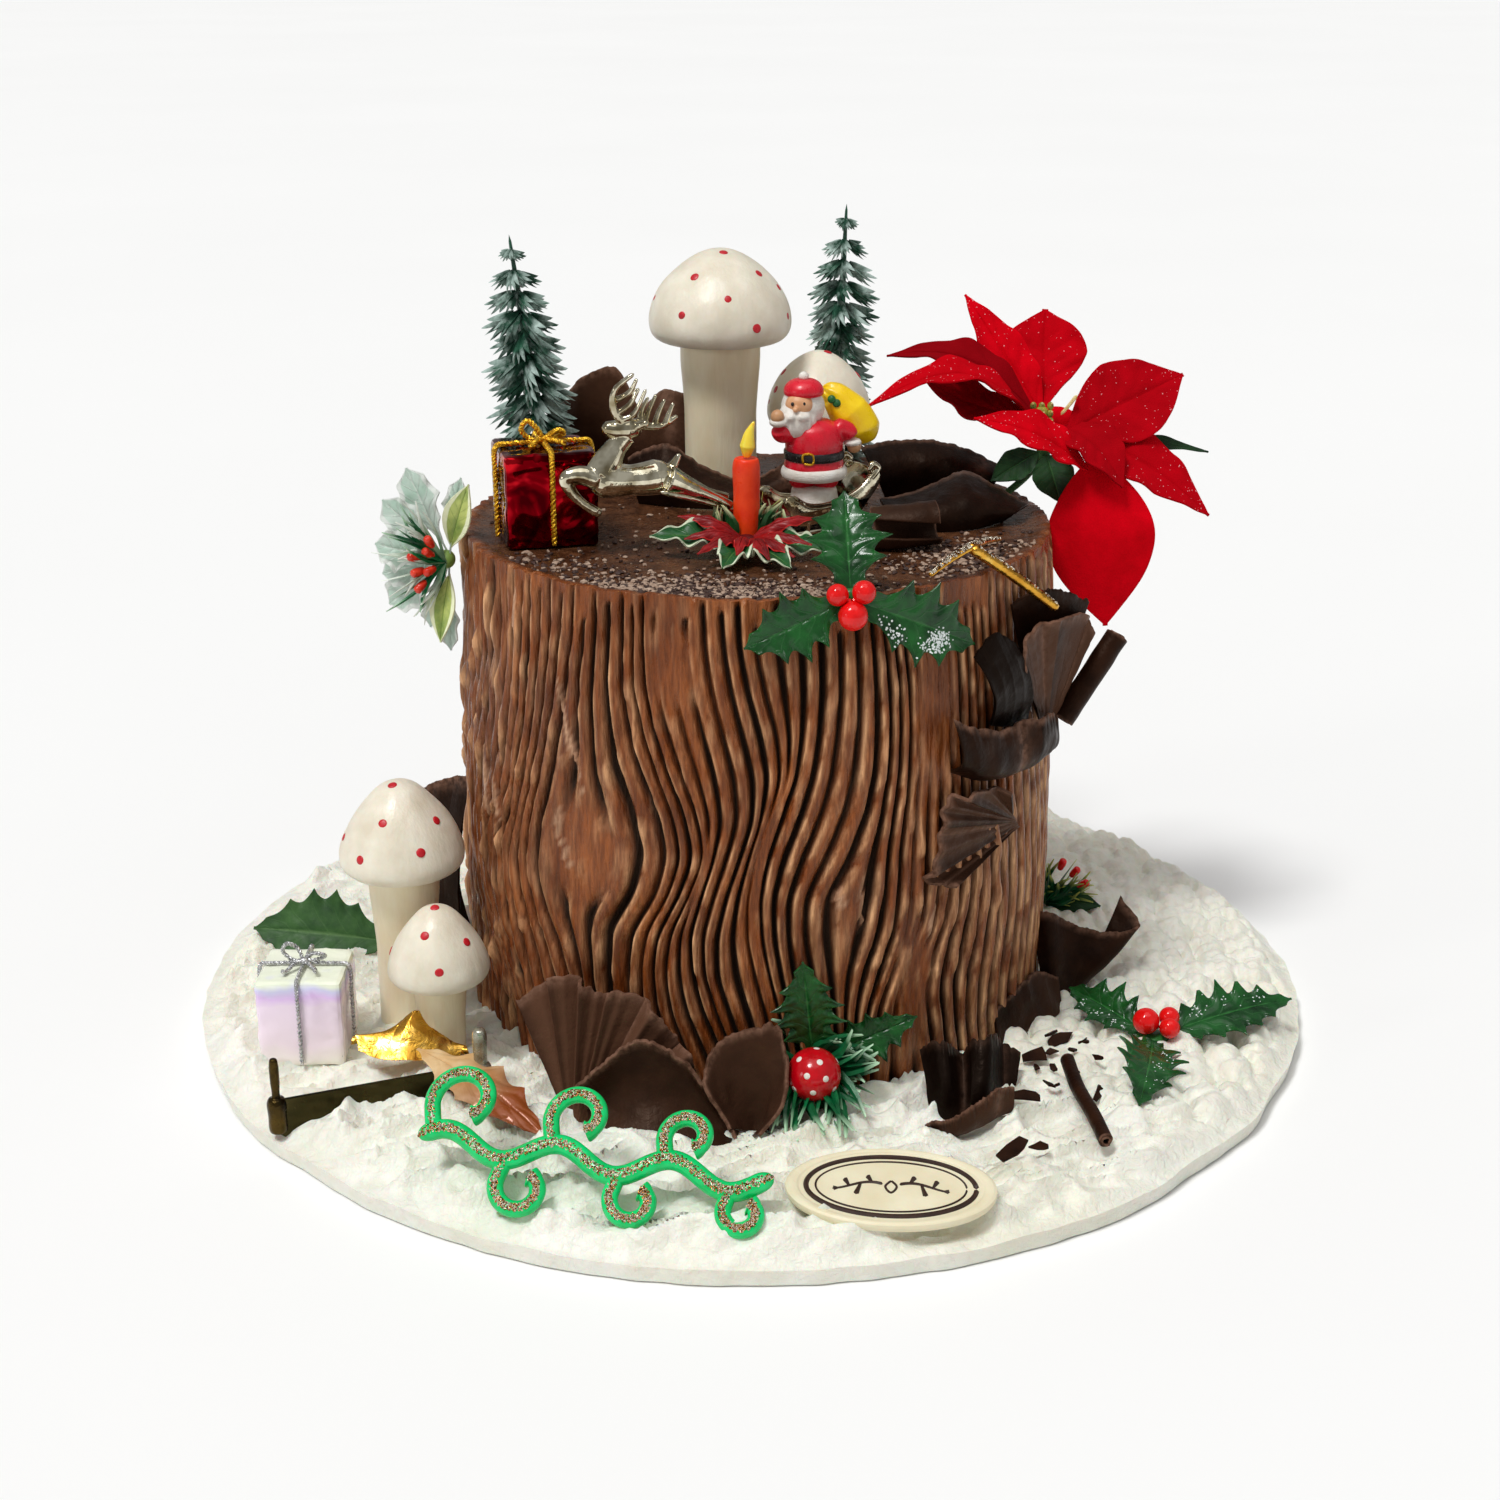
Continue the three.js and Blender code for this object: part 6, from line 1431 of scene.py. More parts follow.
velvet = Finish("velvet_bract", (205, 0, 20), 0.85, Specular_IOR_Level=0.04)
across, along = velvet.mark("across"), velvet.mark("along")
red = velvet.ramp((9, 4), (0.3, (190, 0, 14)), (0.65, (216, 0, 20)))
# painted shade: bracts that face away from the light are mixed towards dark red by their shade mark
velvet.colour(velvet.mix(velvet.maths("MULTIPLY", velvet.mark("shade"), 0.85), red, (116, 2, 10)))
velvet.relief((0.5, 3), 0.12).relief((3, 3), 0.2)
# three bracts leave the wire lower down than the others
LOW_ROOTS = {2: (96, 10, 181.5), 6: (102, 1, 172), 9: (104, 3, 177)}
bract_shapes = []
for k, (tip, up, width, arch, belly, shade, flecks) in enumerate(BRACTS):
    base = LOW_ROOTS.get(k, beyond(FLOWER, tip, 3.4) + vec(0, -0.7, 0.4) * (k % 3))
    low = k == len(BRACTS) - 1
    bract_shapes.append(dict(base=base, tip=tip, up=up, width=width, arch=arch, cup=-1.5 if low else 1.4, belly=belly,
            quilt=0.05 if low else 0.7, wave=0.5 if low else 1.0))
bract_parts = [leaf("bract", 64, 32, 0.6, shade=row[5], **one) for row, one in zip(BRACTS, bract_shapes)]
bract_parts.append(blob("flower_heart", FLOWER + vec(3, 2, -1), (8, 4, 5.6), 20, 12))
keep(joined("bracts", bract_parts), "poinsettia_bracts", velvet, smooth=60)
pink_fleck = tinted("pink_glitter", (246, 176, 180), (220, 110, 120), 0.6, rough=0.3)
draw = seeded(71)
flecked = [sprinkled("flecks", [leaf_surface(**one)], row[6], 0.2, draw, edge_only=True, lift=0.32, along=(0.2, 0.97))
    for row, one in zip(BRACTS, bract_shapes) if row[6]]
keep(joined("bract_glitter", flecked), "poinsettia_bracts", pink_fleck)
drop(speck)

# %% Leaves, stem and centre
cloth_green = leaf_finish("cloth_leaf", (16, 40, 22), (36, 74, 36), (40, 84, 44), 1.0, 0.6, 0.3, (60, 100, 56),
    Specular_IOR_Level=0.2)
hub = FLOWER + vec(0, 1, -8.5)
FLOWER_LEAVES = [((143, 24, 172.4), (0, -0.4, 1), 8, 3), ((74, 12, 166), (0, -1, 0.6), 10, 1),
    ((95, 6, 160.6), (0, -1, 0.3), 13, 1)]
parts = [leaf("flower_leaf", 44, 20, 0.5, base=beyond(hub, tip, 1.8), tip=tip, up=up, width=width, arch=arch,
        quilt=0.4, wave=0.6) for tip, up, width, arch in FLOWER_LEAVES]
parts.append(tube("stem", [hub, (86, 17, 167), (79, 14, 161.6), (74, 12, 158.6)], [1.5, 1.2, 1.1, 1], 30, 10))
parts.append(blob("hub", hub, (2.5, 2.5, 2.5), 16, 10))
keep(joined("flower_leaves", parts), "poinsettia_leaves", cloth_green, smooth=60)
centre_green = tinted("flower_centre", (168, 160, 50), (44, 84, 30), 2.6, rough=0.5, grain=0.3)
heart = vec(88.8, 12.6, 187)
buds = [blob("heart", heart, (2.2, 1.7, 2.2), 16, 10)]
stamens = []
for k in range(9):
    a, r = TAU * k / 8, 2.5 + 1.2 * (k % 2) if k < 8 else 0
    bud = heart + vec(r * cos(a), -0.6 - (0.6 if k == 8 else 0) + sin(a), r * 0.85 * sin(a))
    buds.append(blob("bud", bud, (1, 1, 1.25), 14, 10))
    stamens.append(tube("stamen", [bud, bud + vec(0.6 * cos(a), -1.4, 0.9 + 0.5 * sin(a))], [0.28, 0.34], 6, 6))
stamens.append(tube("stamen", [(94.6, 12, 186.6), (97, 12, 189.6), (99.3, 12, 192.8)], [0.5, 0.6], 10, 6))
keep(joined("flower_buds", buds), "poinsettia_centre", centre_green)
stamen_pale = tinted("stamen", (240, 226, 170), (214, 180, 90), 1, rough=0.5)
keep(joined("stamens", stamens), "poinsettia_centre", stamen_pale)
print("bracts", len(BRACTS))

# %% [markdown]
# ## Sprays at the side
# The left spray is made of frosted translucent fronds, white-tipped needles and small orange-red berries. The one at
# the back of the cream has a dark leaf and three berries.

# %% Left spray
frond = leaf_finish("frosted_frond", (194, 222, 204), (224, 236, 226), (246, 250, 244), 0.75, 0.35, 0.5,
    (246, 252, 244), Transmission_Weight=0.4, Specular_IOR_Level=0.3)
LEFT_FRONDS = [((-84.6, -26, 176.1), 0, 9), ((-101.4, -20, 177.6), 3, 15), ((-108.6, -22, 168.5), 1, 14),
    ((-111, -25, 156), 0, 15), ((-109.8, -22, 146), 2, 14), ((-108.6, -20, 136), 3, 16), ((-96, -24, 130), 2, 10),
    ((-89.4, -30, 124.6), 0, 8)]
FRESH_LEAVES = [((-84.6, -26, 176.1), (-82, -30, 175), 9), ((-89.4, -30, 124.6), (-92, -33, 128), 8)]
hub = vec(-89.4, -25, 151)
fronds = []
for k, (tip, back, width) in enumerate(LEFT_FRONDS):
    fronds.append(leaf("frond", 70, 16, 0.4, base=beyond(hub + vec(0, back, 0), tip, 2), tip=tip, up=(-0.3, -1, 0.2),
            width=width, arch=1, cup=0.8, belly=1.9, spines=4, bite=0.3, sharp=1.0, curl=0.5, quilt=0.5, wave=0.7))
keep(joined("fronds", fronds), "spray_left", frond, smooth=55)
draw = seeded(81)
front = hub + vec(-1, -2.4, 0)
places = needle_fan(draw, front, 46, (104, 252), (11, 22), (10, 0), 0.8, 0.5)
pale_needle = needle_finish("pale_needle", (140, 184, 140), (248, 252, 242), 0.35)
keep(copies("left_pale_needles", needle, places[:28]), "spray_left", pale_needle)
keep(copies("left_green_needles", needle, places[28:]), "spray_left", grass)
orange_berry = tinted("orange_red_berry", (226, 60, 34), (190, 26, 14), 2, rough=0.16, grain=0.05)


def small_berries(name, hub, list_of):
    parts = []
    for x, y, z in list_of:
        end = vec(x, y, z)
        parts.append(tube("berry", [end - unit(end - vec(*hub)) * 5, end], [0.9, 1.35, 1.3], 16, 10, cap=0.2))
    return joined(name, parts)


keep(small_berries("left_berries", front,
        [(-95.6, -34, 156.4), (-99.4, -35, 149.4), (-98.4, -34.8, 144), (-94.4, -35, 160.6), (-100.4, -34, 154.6),
        (-95.4, -35, 149.6)]), "spray_left", orange_berry)
keep(joined("left_knot",
        [blob("knot", hub + vec(-1, 1, 0), (2.8, 3.4, 2.8), 20, 12),
        *[leaf("fresh_leaf", 40, 16, 0.5, base=beyond(hub, towards, 4), tip=tip, up=(-0.3, -1, 0.2), width=width,
        arch=1, quilt=0.3) for towards, tip, width in FRESH_LEAVES]]), "spray_left",
    leaf_finish("fresh_green_leaf", (112, 140, 62), (206, 214, 120), (236, 240, 200), 0.7, 0.4, 0.3, (120, 150, 70)),
    smooth=55)

# %% Rear spray
hub = vec(100.4, 36, 12.6)
draw = seeded(91)
places = needle_fan(draw, hub, 64, (-8, 112), (8, 20), (12, 0), 0.9)
keep(copies("rear_needles", needle, places), "spray_rear", tinsel)
keep(small_berries("rear_berries", hub, [(105.6, 30, 31.4), (110.6, 29, 28.6), (114, 28, 24)]), "spray_rear",
    berry_red)
keep(leaf("rear_leaf", 44, 18, 0.5, base=hub, tip=(119, 31, 13.6), up=(0, -0.8, 1), width=9, arch=2, quilt=0.4),
    "spray_rear", cloth_green, smooth=55)
drop(needle)

# %% [markdown]
# ## Folded chocolate
# Thin sheets of dark chocolate are scraped off a cold slab and gathered into fans and ruffles while they still bend.
# Each one is ruled from a foot line to a rim line and then pleated. Their pleats run together at the foot, and the
# rim is torn and dusted with cocoa. A mark tells the finish how near the rim is, and also carries a painted highlight
# down each fold. Another mark makes a sheet paler, or darker with painted shade where it lies in shadow and inside
# each pleat.

# %% A pleated sheet
def fold_surface(foot, rim, bulge=(0, 0, 0), pleats=0, depth=0.0, fine=0.0, fine_pleats=0, ragged=0.0, seed=0):
    low, high_line = curve(foot), curve(rim)

    def surface(u, t):
        a, b = low(u), high_line(u)
        ahead = unit(high_line(np.minimum(u + 0.004, 1)) - high_line(np.maximum(u - 0.004, 0)))
        out = unit(np.cross(b - a, ahead))
        reach = np.linalg.norm(b - a, axis=1)
        row = xyz(u * 40, seed, 0)
        tear = ragged * ((lumps(row, 1.6) - 0.5) * 1.2 + (lumps(row + 5, 0.55) - 0.5) * 0.8) / reach
        tt = t * (1 + tear * ease((t - 0.7) / 0.3))
        wander = 0.35 * (lumps(xyz(u * 9, seed + 3, 0), 1) - 0.5)
        step = (pleats * u) % 1
        fold = depth * t * (2 * np.where(step < 0.8, step / 0.8, (1 - step) / 0.2) - 1)
        crisp = 1 - 2 * abs(2 * ((fine_pleats * (u + wander * 0.2)) % 1) - 1) ** 1.4 if fine_pleats else 0
        fold = fold + fine * (t ** 0.8) * crisp * (0.6 + 0.8 * lumps(xyz(u * 14, t * 2, seed), 1))
        p = a + (b - a) * tt[:, None] + vec(*bulge) * np.sin(pi * t)[:, None] + out * fold[:, None]
        return p + out * (0.5 * (lumps(p + seed, (3.4, 3.4, 3.4)) - 0.5))[:, None]
    return surface


def fold_highlight(pleats, u, t):
    """A painted highlight line that runs down each pleat."""
    return 0.9 * np.exp(-(((pleats * u) % 1 - 0.8) / 0.06) ** 2) * ease((t - 0.1) / 0.2)


dark_chocolate = Finish("dark_chocolate", (50, 31, 26), 0.36, Specular_IOR_Level=0.11,
    Specular_Tint=(1, 0.72, 0.55, 1))
brown = dark_chocolate.ramp((7, 4), (0.3, (24, 11, 7)), (0.7, (47, 27, 17)))
pale = dark_chocolate.mark("pale")
brown = dark_chocolate.mix(pale, brown, (92, 62, 46))
# painted shade: below zero the pale mark darkens a sheet towards black, where it lies in shadow
brown = dark_chocolate.mix(dark_chocolate.maths("MULTIPLY", pale, -1.0, clamp=True), brown, (12, 5, 3))
# cocoa dust at the torn rim, and a painted highlight down each fold
dust_and_fold_highlight = dark_chocolate.maths("MULTIPLY", dark_chocolate.mark("rim"),
    dark_chocolate.ramp((2.2, 4), (0.35, 0.2), (0.6, 1.0)))
dark_chocolate.colour(dark_chocolate.mix(dust_and_fold_highlight, brown, (118, 86, 70)))
dark_chocolate.gloss((5, 4), (0.3, 0.3), (0.7, 0.55))
dark_chocolate.relief((1.6, 4), 0.22).relief((0.5, 2), 0.06)

# name, foot, rim, bulge, pleats, depth, fine relief, fine pleats, how torn the rim is, how pale (below zero, painted
# shade)
SHAVINGS = [("fan_front", [(-53, -104, 9), (-49.6, -105, 8), (-46, -104.6, 8)],
        [(-66, -85.6, 37.6), (-58, -88.6, 44.6), (-50, -91, 47), (-43, -94, 43), (-34, -97, 44.6), (-24, -99.6, 36),
        (-16, -101, 25)], (0, 0, 0), 5.2, 3.2, 0.3, 11, 1.2, 1.0),
    ("scoop_front", [(-46, -110.6, 9), (-34, -118, 7), (-20, -120.4, 6), (-7, -117.6, 7)],
        [(-52.6, -110.4, 18), (-42, -108.6, 27.6), (-31, -108.4, 35.4), (-18, -109.4, 28.6), (-9.4, -113, 17),
        (-4.4, -118.4, 10.4)], (2, 7, -1), 0, 0, 0.15, 4, 0.9, 0.15),
    ("cup_front", [(-2, -109, 7), (1.5, -106.8, 6.4), (4.6, -109, 6.4), (2, -112, 7), (-1, -112.4, 7)],
        [(-6, -117.6, 12.6), (-13, -112, 25), (-9.4, -104.4, 32), (0, -101.4, 35.4), (7, -101.6, 37),
        (10, -106, 28.6), (9, -113.6, 19), (2.4, -119, 11.6)], (0, 0, 0), 0, 0, 0.12, 4, 1.2, 0.3),
    ("cluster_right", [(51, -102, 6), (58, -105, 6), (66, -103, 6), (73, -95, 6)],
        [(50, -90, 24), (55, -95.4, 27.6), (61, -91, 23), (67, -92.4, 28.6), (72, -85.4, 24), (77, -82, 18)],
        (0.5, -3, 0), 2, 1.8, 0.2, 5, 2.0, -0.8),
    ("curl_right", [(51.4, -107.4, 8), (57, -109.4, 7.6), (65, -105.6, 8), (72, -100.4, 9)],
        [(49, -112.6, 13), (54.4, -116.6, 15.4), (61, -114.6, 17.4), (68.6, -110.4, 20), (73.4, -104.6, 19.6)],
        (0.6, -2.4, -2), 1, 1, 0.1, 4, 1.4, 0.55),
    ("cone_right", [(92, -33, 8), (96, -31.4, 7), (98.6, -27, 7), (101, -22, 7.6)],
        [(87, -23, 34), (92, -25.4, 37.4), (99, -22, 32.6), (107, -21, 29), (116, -22, 28.6), (123, -19, 29.6),
        (118, -11, 36)], (1, -2, 0), 0, 0, 0.12, 4, 0.5, -0.1),
    ("strip_right", [(74.6, -63.6, 9), (83, -54.6, 8), (92, -44, 8), (97.4, -36.6, 8)],
        [(72.6, -59.6, 20), (80, -50, 21.6), (88.6, -38.6, 22.6), (95.6, -34, 19)], (0, 0, 0), 0.5, 0.5, 0.15, 4, 1.0,
        0.4),
    ("fan_side_upper", [(84, -49.4, 109), (86.6, -46.6, 107.4), (89, -43, 106.4)],
        [(75.6, -68, 131), (77, -67.6, 139.6), (84, -61.6, 143), (91.6, -53, 142.4), (99, -42, 138.4),
        (98.4, -38, 129.6)], (0, 0, 0), 2.2, 1.2, 0.2, 7, 0.4, 0.8),
    ("plate_side", [(67.5, -69, 115), (73.4, -62.3, 112.4), (79, -55.4, 111)],
        [(61.3, -78, 138), (66.6, -75.6, 144), (73.6, -68.6, 139)], (3, -3, 0), 0, 0, 0.15, 4, 0.4, -1),
    ("ruffle_side", [(56, -77, 104), (66, -70.4, 99), (76, -59, 97.4), (83.6, -47, 100)],
        [(55.4, -84, 122.6), (61, -81.6, 119), (71.2, -73, 114.4), (79.3, -64.5, 114.6), (86, -55, 114),
        (89, -48, 110)], (3, -3, -3), 1.5, 1.3, 0.2, 6, 1.2, 0.1),
    ("fan_side_lower", [(78.6, -54.6, 78), (77.6, -56.4, 80.4), (76.6, -58, 82.6)],
        [(57.6, -80, 69.6), (50.4, -84.6, 74), (53.4, -84.8, 85), (53.8, -84.8, 95.4), (62, -80, 98.6),
        (73.6, -68, 94.6)], (0, 0, 0), 4, 1.5, 0.5, 9, 0.8, 0.75),
    ("ruffle_top_left", [(-58, 49, STAND), (-48, 55.4, STAND), (-36, 50, STAND), (-25, 54, STAND), (-18, 50, STAND)],
        [(-61.6, 54, 181), (-53.6, 50, 191.4), (-44, 56, 192.6), (-36, 51, 180.6), (-28, 55, 185.6),
        (-18.6, 52, 184)], (0, -5, 0), 1, 1.2, 0.2, 5, 0.4, 0.6),
    ("petals_top", [(-35, 16, STAND), (-22, 10.6, STAND), (-8, 8, STAND), (8, 12.4, STAND), (18, 20, STAND)],
        [(-38, 22, 171), (-26, 17, 176), (-14, 17.6, 168.6), (0, 17, 165.6), (14, 20, 172), (22, 26, 174)],
        (0, -4, 1), 1, 0.9, 0.15, 5, 0.8, 0.05),
    ("ruffle_top_rear", [(42, 22, STAND), (52, 26, STAND), (62, 24, STAND), (73, 27, STAND)],
        [(34, 27, 172.7), (43, 31, 173.8), (53, 31, 174.6), (64, 31, 173), (74.6, 29, 169), (80.6, 28, 165)],
        (0, -6, 2), 1, 0.8, 0.15, 5, 0.5, -0.35),
    ("ruffle_top_front", [(45, -14, STAND), (55, -19, STAND), (66, -16, STAND), (76, -6, STAND)],
        [(38.6, -4, 163.6), (47, -1, 164.4), (57, 2, 167.6), (65, 4, 170.6), (75, 3, 166), (84.4, 0, 161.6)],
        (-1, -8, 2), 0.5, 0.8, 0.15, 5, 0.6, -0.3),
    ("ruffle_rear_left", [(-94, 0, 5), (-102, 8, 5), (-101, 20, 5), (-95, 28, 5)],
        [(-89.6, -2, 73.6), (-97, 4, 71), (-105.6, 9, 65.6), (-105, 19, 58), (-97, 28, 48)], (-3, 0, 0), 0.5, 0.8,
        0.2, 5, 0.6, 0.1),]
for seed, (name, foot, rim, bulge, pleats, depth, fine, fine_pleats, torn, pale) in enumerate(SHAVINGS):
    sheet = drape(f"shaving_{name}", fold_surface(foot, rim, bulge, pleats, depth, fine, fine_pleats, torn, seed),
        150, 30, 1.0,
        # the rim mark also carries a painted highlight down each fold, and is taken away where a sheet is painted dark
        marks={"rim": lambda u, t: np.maximum(ease((t - 0.9) / 0.1), fold_highlight(pleats, u, t)) * (1 + min(pale, 0)),
            # inside each pleat the sheet is painted darker, as shade in the fold
            "pale": lambda u, t: pale - 0.7 * (pleats > 0) * np.exp(-((pleats * u) % 1) / 0.3) * ease(t / 0.2)})
    keep(sheet, f"chocolate_{name}", dark_chocolate, smooth=50)
plate = drape("shaving_behind",
    fold_surface([(80, -50, 120), (86, -44, 120), (92, -38, 120)],
        [(73, -60, 148), (82, -54, 150.6), (90, -48, 148), (98, -40, 143)], ragged=0.8), 60, 20, 1.0)
keep(plate, "chocolate_fan_side_upper", dark_chocolate, smooth=50)
print("shavings", len(SHAVINGS) + 1)

# %% Rolls and curls
def rolled_surface(path, radius, turns, loose, phase):
    """A sheet rolled round a path: t runs along the path, u round it from the inside out."""
    line = curve(path)

    def surface(u, t):
        middle = line(t)
        ahead = unit(line(np.minimum(t + 0.01, 1)) - line(np.maximum(t - 0.01, 0)))
        side = unit(np.cross(ahead, vec(0.2, 0.4, 0.9)))
        other = np.cross(ahead, side)
        a = TAU * turns * u + phase + 0.5 * t
        r = radius * (loose + (1 - loose) * u) * (1 + 0.08 * (lumps(xyz(t * 8, u * 4, 0), 1) - 0.5))
        along = ahead * (1.1 * (lumps(xyz(u * 9, 0, 7), 1) - 0.5) * (t > 0.98))[:, None]
        return middle + (side * np.cos(a)[:, None] + other * np.sin(a)[:, None]) * r[:, None] + along
    return surface


# name, node, path, (radius, turns, how wide inside, phase), (columns, rows, thickness), where the dusted ends
# begin, how pale it is
ROLLS = [("roll", "roll_side", [(91.6, -42, 107), (98.6, -38.6, 117.4), (108, -34, 131)], (3.4, 2.1, 0.35, 1.0),
        (90, 50, 0.8), 0.93, 0),
    ("curl_stick", "curl_stick", [(92.3, -84.7, 17), (93.2, -100.2, 16.4), (95.6, -113.5, 15.6), (97.7, -126.2, 14)],
        (2.1, 2.0, 0.4, 2.0), (80, 70, 0.6), 0.95, 0),
    ("curl_top", "ruffle_top_front", [(35, -37, 163.4), (44, -38, 164.6), (54, -37, 165.6)], (6.3, 0.86, 0.9, 0.6),
        (60, 30, 0.9), 0.93, 0.3)]
for name, node, path, rolling, grid, dusted, pale in ROLLS:
    curl = drape(name, rolled_surface(path, *rolling), *grid,
        marks={"rim": lambda u, t: ease((abs(2 * t - 1) - dusted) / (1 - dusted)),
            "pale": lambda u, t: pale * (1 - t)})
    keep(curl, f"chocolate_{node}", dark_chocolate, smooth=50)

# %% [markdown]
# ## Gold pieces
# The saw has a mirror blade and two turned handles. Beside it lie a curled leaf of polished gold and a draped one of
# amber foil. Both are thin sheets with veins pressed in and edges rolled over.

# %% Saw
mirror = Finish("dark_mirror", (52, 48, 24), 0.1, 1.0)
mirror.colour((18, 2, (1, 1, 3)), (0.3, (40, 37, 20)), (0.62, (62, 56, 32)), (0.85, (104, 98, 70)))
mirror.relief((9, 2), 0.3)
mirror.gloss((4, 3), (0.3, 0.16), (0.7, 0.3))
SAW_FROM, SAW_TO = vec(-133.4, -110.4), vec(-78, -92.2)
saw_long = float(np.linalg.norm(SAW_TO - SAW_FROM))
saw_turn = atan2(*(SAW_TO - SAW_FROM)[::-1])


def blade_surface(u, t):
    x = u * saw_long
    low = 6.2 - 1.2 * np.sin(pi * u)
    top = 18 + 1.8 * u
    tooth = 1.0 * abs(2 * ((u * 17) % 1) - 1) * (t < 0.02)
    y = 0.5 * np.sin(pi * t) - 0.3
    return xyz(*spin(x, y, saw_turn), low + (top - low) * t + tooth) + vec(*SAW_FROM, 0)


keep(drape("saw_blade", blade_surface, 136, 12, 1.0), "saw", mirror, smooth=40)
GRIP = [(0, 8), (2.2, 8), (2.6, 9), (2.6, 13), (2.75, 17), (2.2, 18.4), (1.3, 19), (1.35, 24), (1.3, 29), (0.9, 30.8),
    (0, 31)]
black_brass = tinted("dark_brass", (84, 66, 26), (26, 21, 12), 7, rough=0.2, metal=0.9)
keep(turned("saw_handle_left", GRIP, (*SAW_FROM, 0), 32, 60), "saw", black_brass)
silver_grey = tinted("silver_grey", (196, 194, 178), (126, 124, 108), 5, rough=0.2, metal=0.75)
HANDLE = [(0, 7), (3, 7), (3.2, 8), (3.2, 18), (2.7, 19.4), (2.1, 20), (2.1, 29), (1.5, 30.6), (0, 31)]
keep(turned("saw_handle_right", HANDLE, (*SAW_TO, 0), 32, 60), "saw", silver_grey)

# %% Gold leaf and amber leaf
gold = Finish("polished_gold", (226, 170, 66), 0.27, 1.0)
gold.colour((8, 3), (0.3, (186, 126, 40)), (0.55, (222, 168, 66)), (0.78, (255, 222, 130)))
gold.relief(gold.noise(5, 3, warp=0.8), 0.5)


def gold_surface(u, t):
    line = fold_surface([(-114.6, -83, 19), (-108.6, -85.4, 17.6), (-99, -86, 17.4), (-86, -81, 14.6)],
        [(-117, -80, 20.4), (-107, -77.6, 22.4), (-98, -72.6, 27.4), (-91.4, -76, 21.6), (-83.6, -78, 16)],
        (0, 1.6, 2), 2, 0.9, 0.12, 5, 0.6, 5)
    p = line(u, t)
    rolled_edge = ease((t - 0.8) / 0.2)
    p[:, 1] -= 1.2 * np.sin(rolled_edge * pi / 2)
    p[:, 2] -= 1.0 * rolled_edge ** 3
    return p


keep(drape("gold_curl", gold_surface, 110, 34, 0.5, marks=LEAF_MARKS), "gold_leaf", gold, smooth=50)
amber = Finish("amber_foil", (206, 130, 84), 0.24, 0.1, Transmission_Weight=0.1, Specular_IOR_Level=0.4)
amber.colour(amber.mix(amber.ramp(amber.mark("along"), (0.25, 0.0), (0.7, 1.0)),
        amber.ramp((11, 3), (0.3, (216, 164, 96)), (0.6, (238, 206, 158))), (150, 76, 34)))
amber.relief(amber.noise(6, 3, warp=0.8), 0.5)
keep(leaf("amber_drape", 80, 30, 0.5, base=(-97, -85.6, 20.8), tip=(-57.6, -118.6, 10.9), up=(0.1, -0.3, 1), width=19,
        arch=3.6, spines=5, bite=0.28, sharp=0.9, cup=-1, curl=0.8, quilt=0.7), "amber_leaf", amber,
    smooth=55)

# %% [markdown]
# ## The glitter flourish
# A clear green plastic sign was cut as one long wave with curls along it. Its upper face is covered with glitter
# of three colours. The wave and each curl are round strokes, pressed flat a little.

# %% Wave, curls and glitter
VINE_LONG, STROKE, VINE_AT = 97, 2.7, vec(-91, -149, 14.4)
VINE_CURLS = [(4, 15, 9.5, 1), (25, 12, 7.4, -1), (37, 14, 8.2, 1), (56, 10, 6.6, -1), (68, 11, 6.8, 1),
    (86, 8, 5.6, -1)]
tilt, heading = radians(42), radians(-10.5)


def on_vine(points_list):
    p = np.asarray(points_list, float)
    y, z = spin(p[:, 1], p[:, 2], tilt)
    return xyz(*spin(p[:, 0], y, heading), z) + VINE_AT


def vine_middle(s):
    return 13 - 4 * (s / VINE_LONG) + 3.2 * np.sin(TAU * s / 31)


VINE_UP = on_vine([(0, 0, 1)])[0] - on_vine([(0, 0, 0)])[0]
along_vine = np.linspace(0, VINE_LONG, 33)
strokes = [(on_vine(xyz(along_vine, vine_middle(along_vine), 0)), [STROKE] * 2, 220)]
for at, foot, radius, side in VINE_CURLS:
    start = (at, vine_middle(at), 0)
    eye = (at + radius * 0.75, start[1] + side * radius * 0.95)
    turns_k = np.arange(13) / 12
    a = side * (pi * 1.15 - turns_k * pi * 1.5)
    r = radius * (1 - 0.5 * turns_k)
    path = np.vstack([[start], xyz(eye[0] + r * np.cos(a), eye[1] + r * np.sin(a), 0)])
    strokes.append((on_vine(path), [STROKE * 0.85] * 9 + [STROKE * 1.25], 90))
clear_green = Finish("clear_green_plastic", (0, 214, 112), 0.2, Transmission_Weight=0.1, Specular_IOR_Level=0.4)
clear_green.colour((6, 3), (0.3, (0, 196, 96)), (0.7, (20, 226, 126)))
clear_green.relief((1.6, 3), 0.2)
keep(joined("flourish",
        [tube("stroke", path, radii, columns, 14, squash=(*VINE_UP, 0.85)) for path, radii, columns in strokes]),
    "glitter_flourish", clear_green, smooth=70)
draw = seeded(101)
flakes = {"gold": [], "silver": [], "bronze": []}
for path, radii, columns in strokes:
    surface = tube_surface(path, radii, squash=(*VINE_UP, 0.85))
    u, t = draw.random(columns * 80), draw.random(columns * 80)
    p = surface(u, t)
    middle = curve(path)(u)
    normal = unit(p - middle)
    top = (normal @ VINE_UP) > 0.82 + 0.14 * draw.random(len(u))
    for q, way in zip(p[top], normal[top]):
        kind = ("gold", "gold", "silver", "silver", "bronze")[draw.integers(5)]
        tilted = unit(way + draw.normal(0, 0.35, 3))
        flakes[kind].append(aim(q - tilted * 0.05, q + tilted * 0.1, 0.24 * draw.uniform(0.6, 1.2),
                roll=draw.uniform(0, TAU)))
bpy.ops.mesh.primitive_cylinder_add(vertices=6, radius=1, depth=1, location=(0, 0, 0.5))
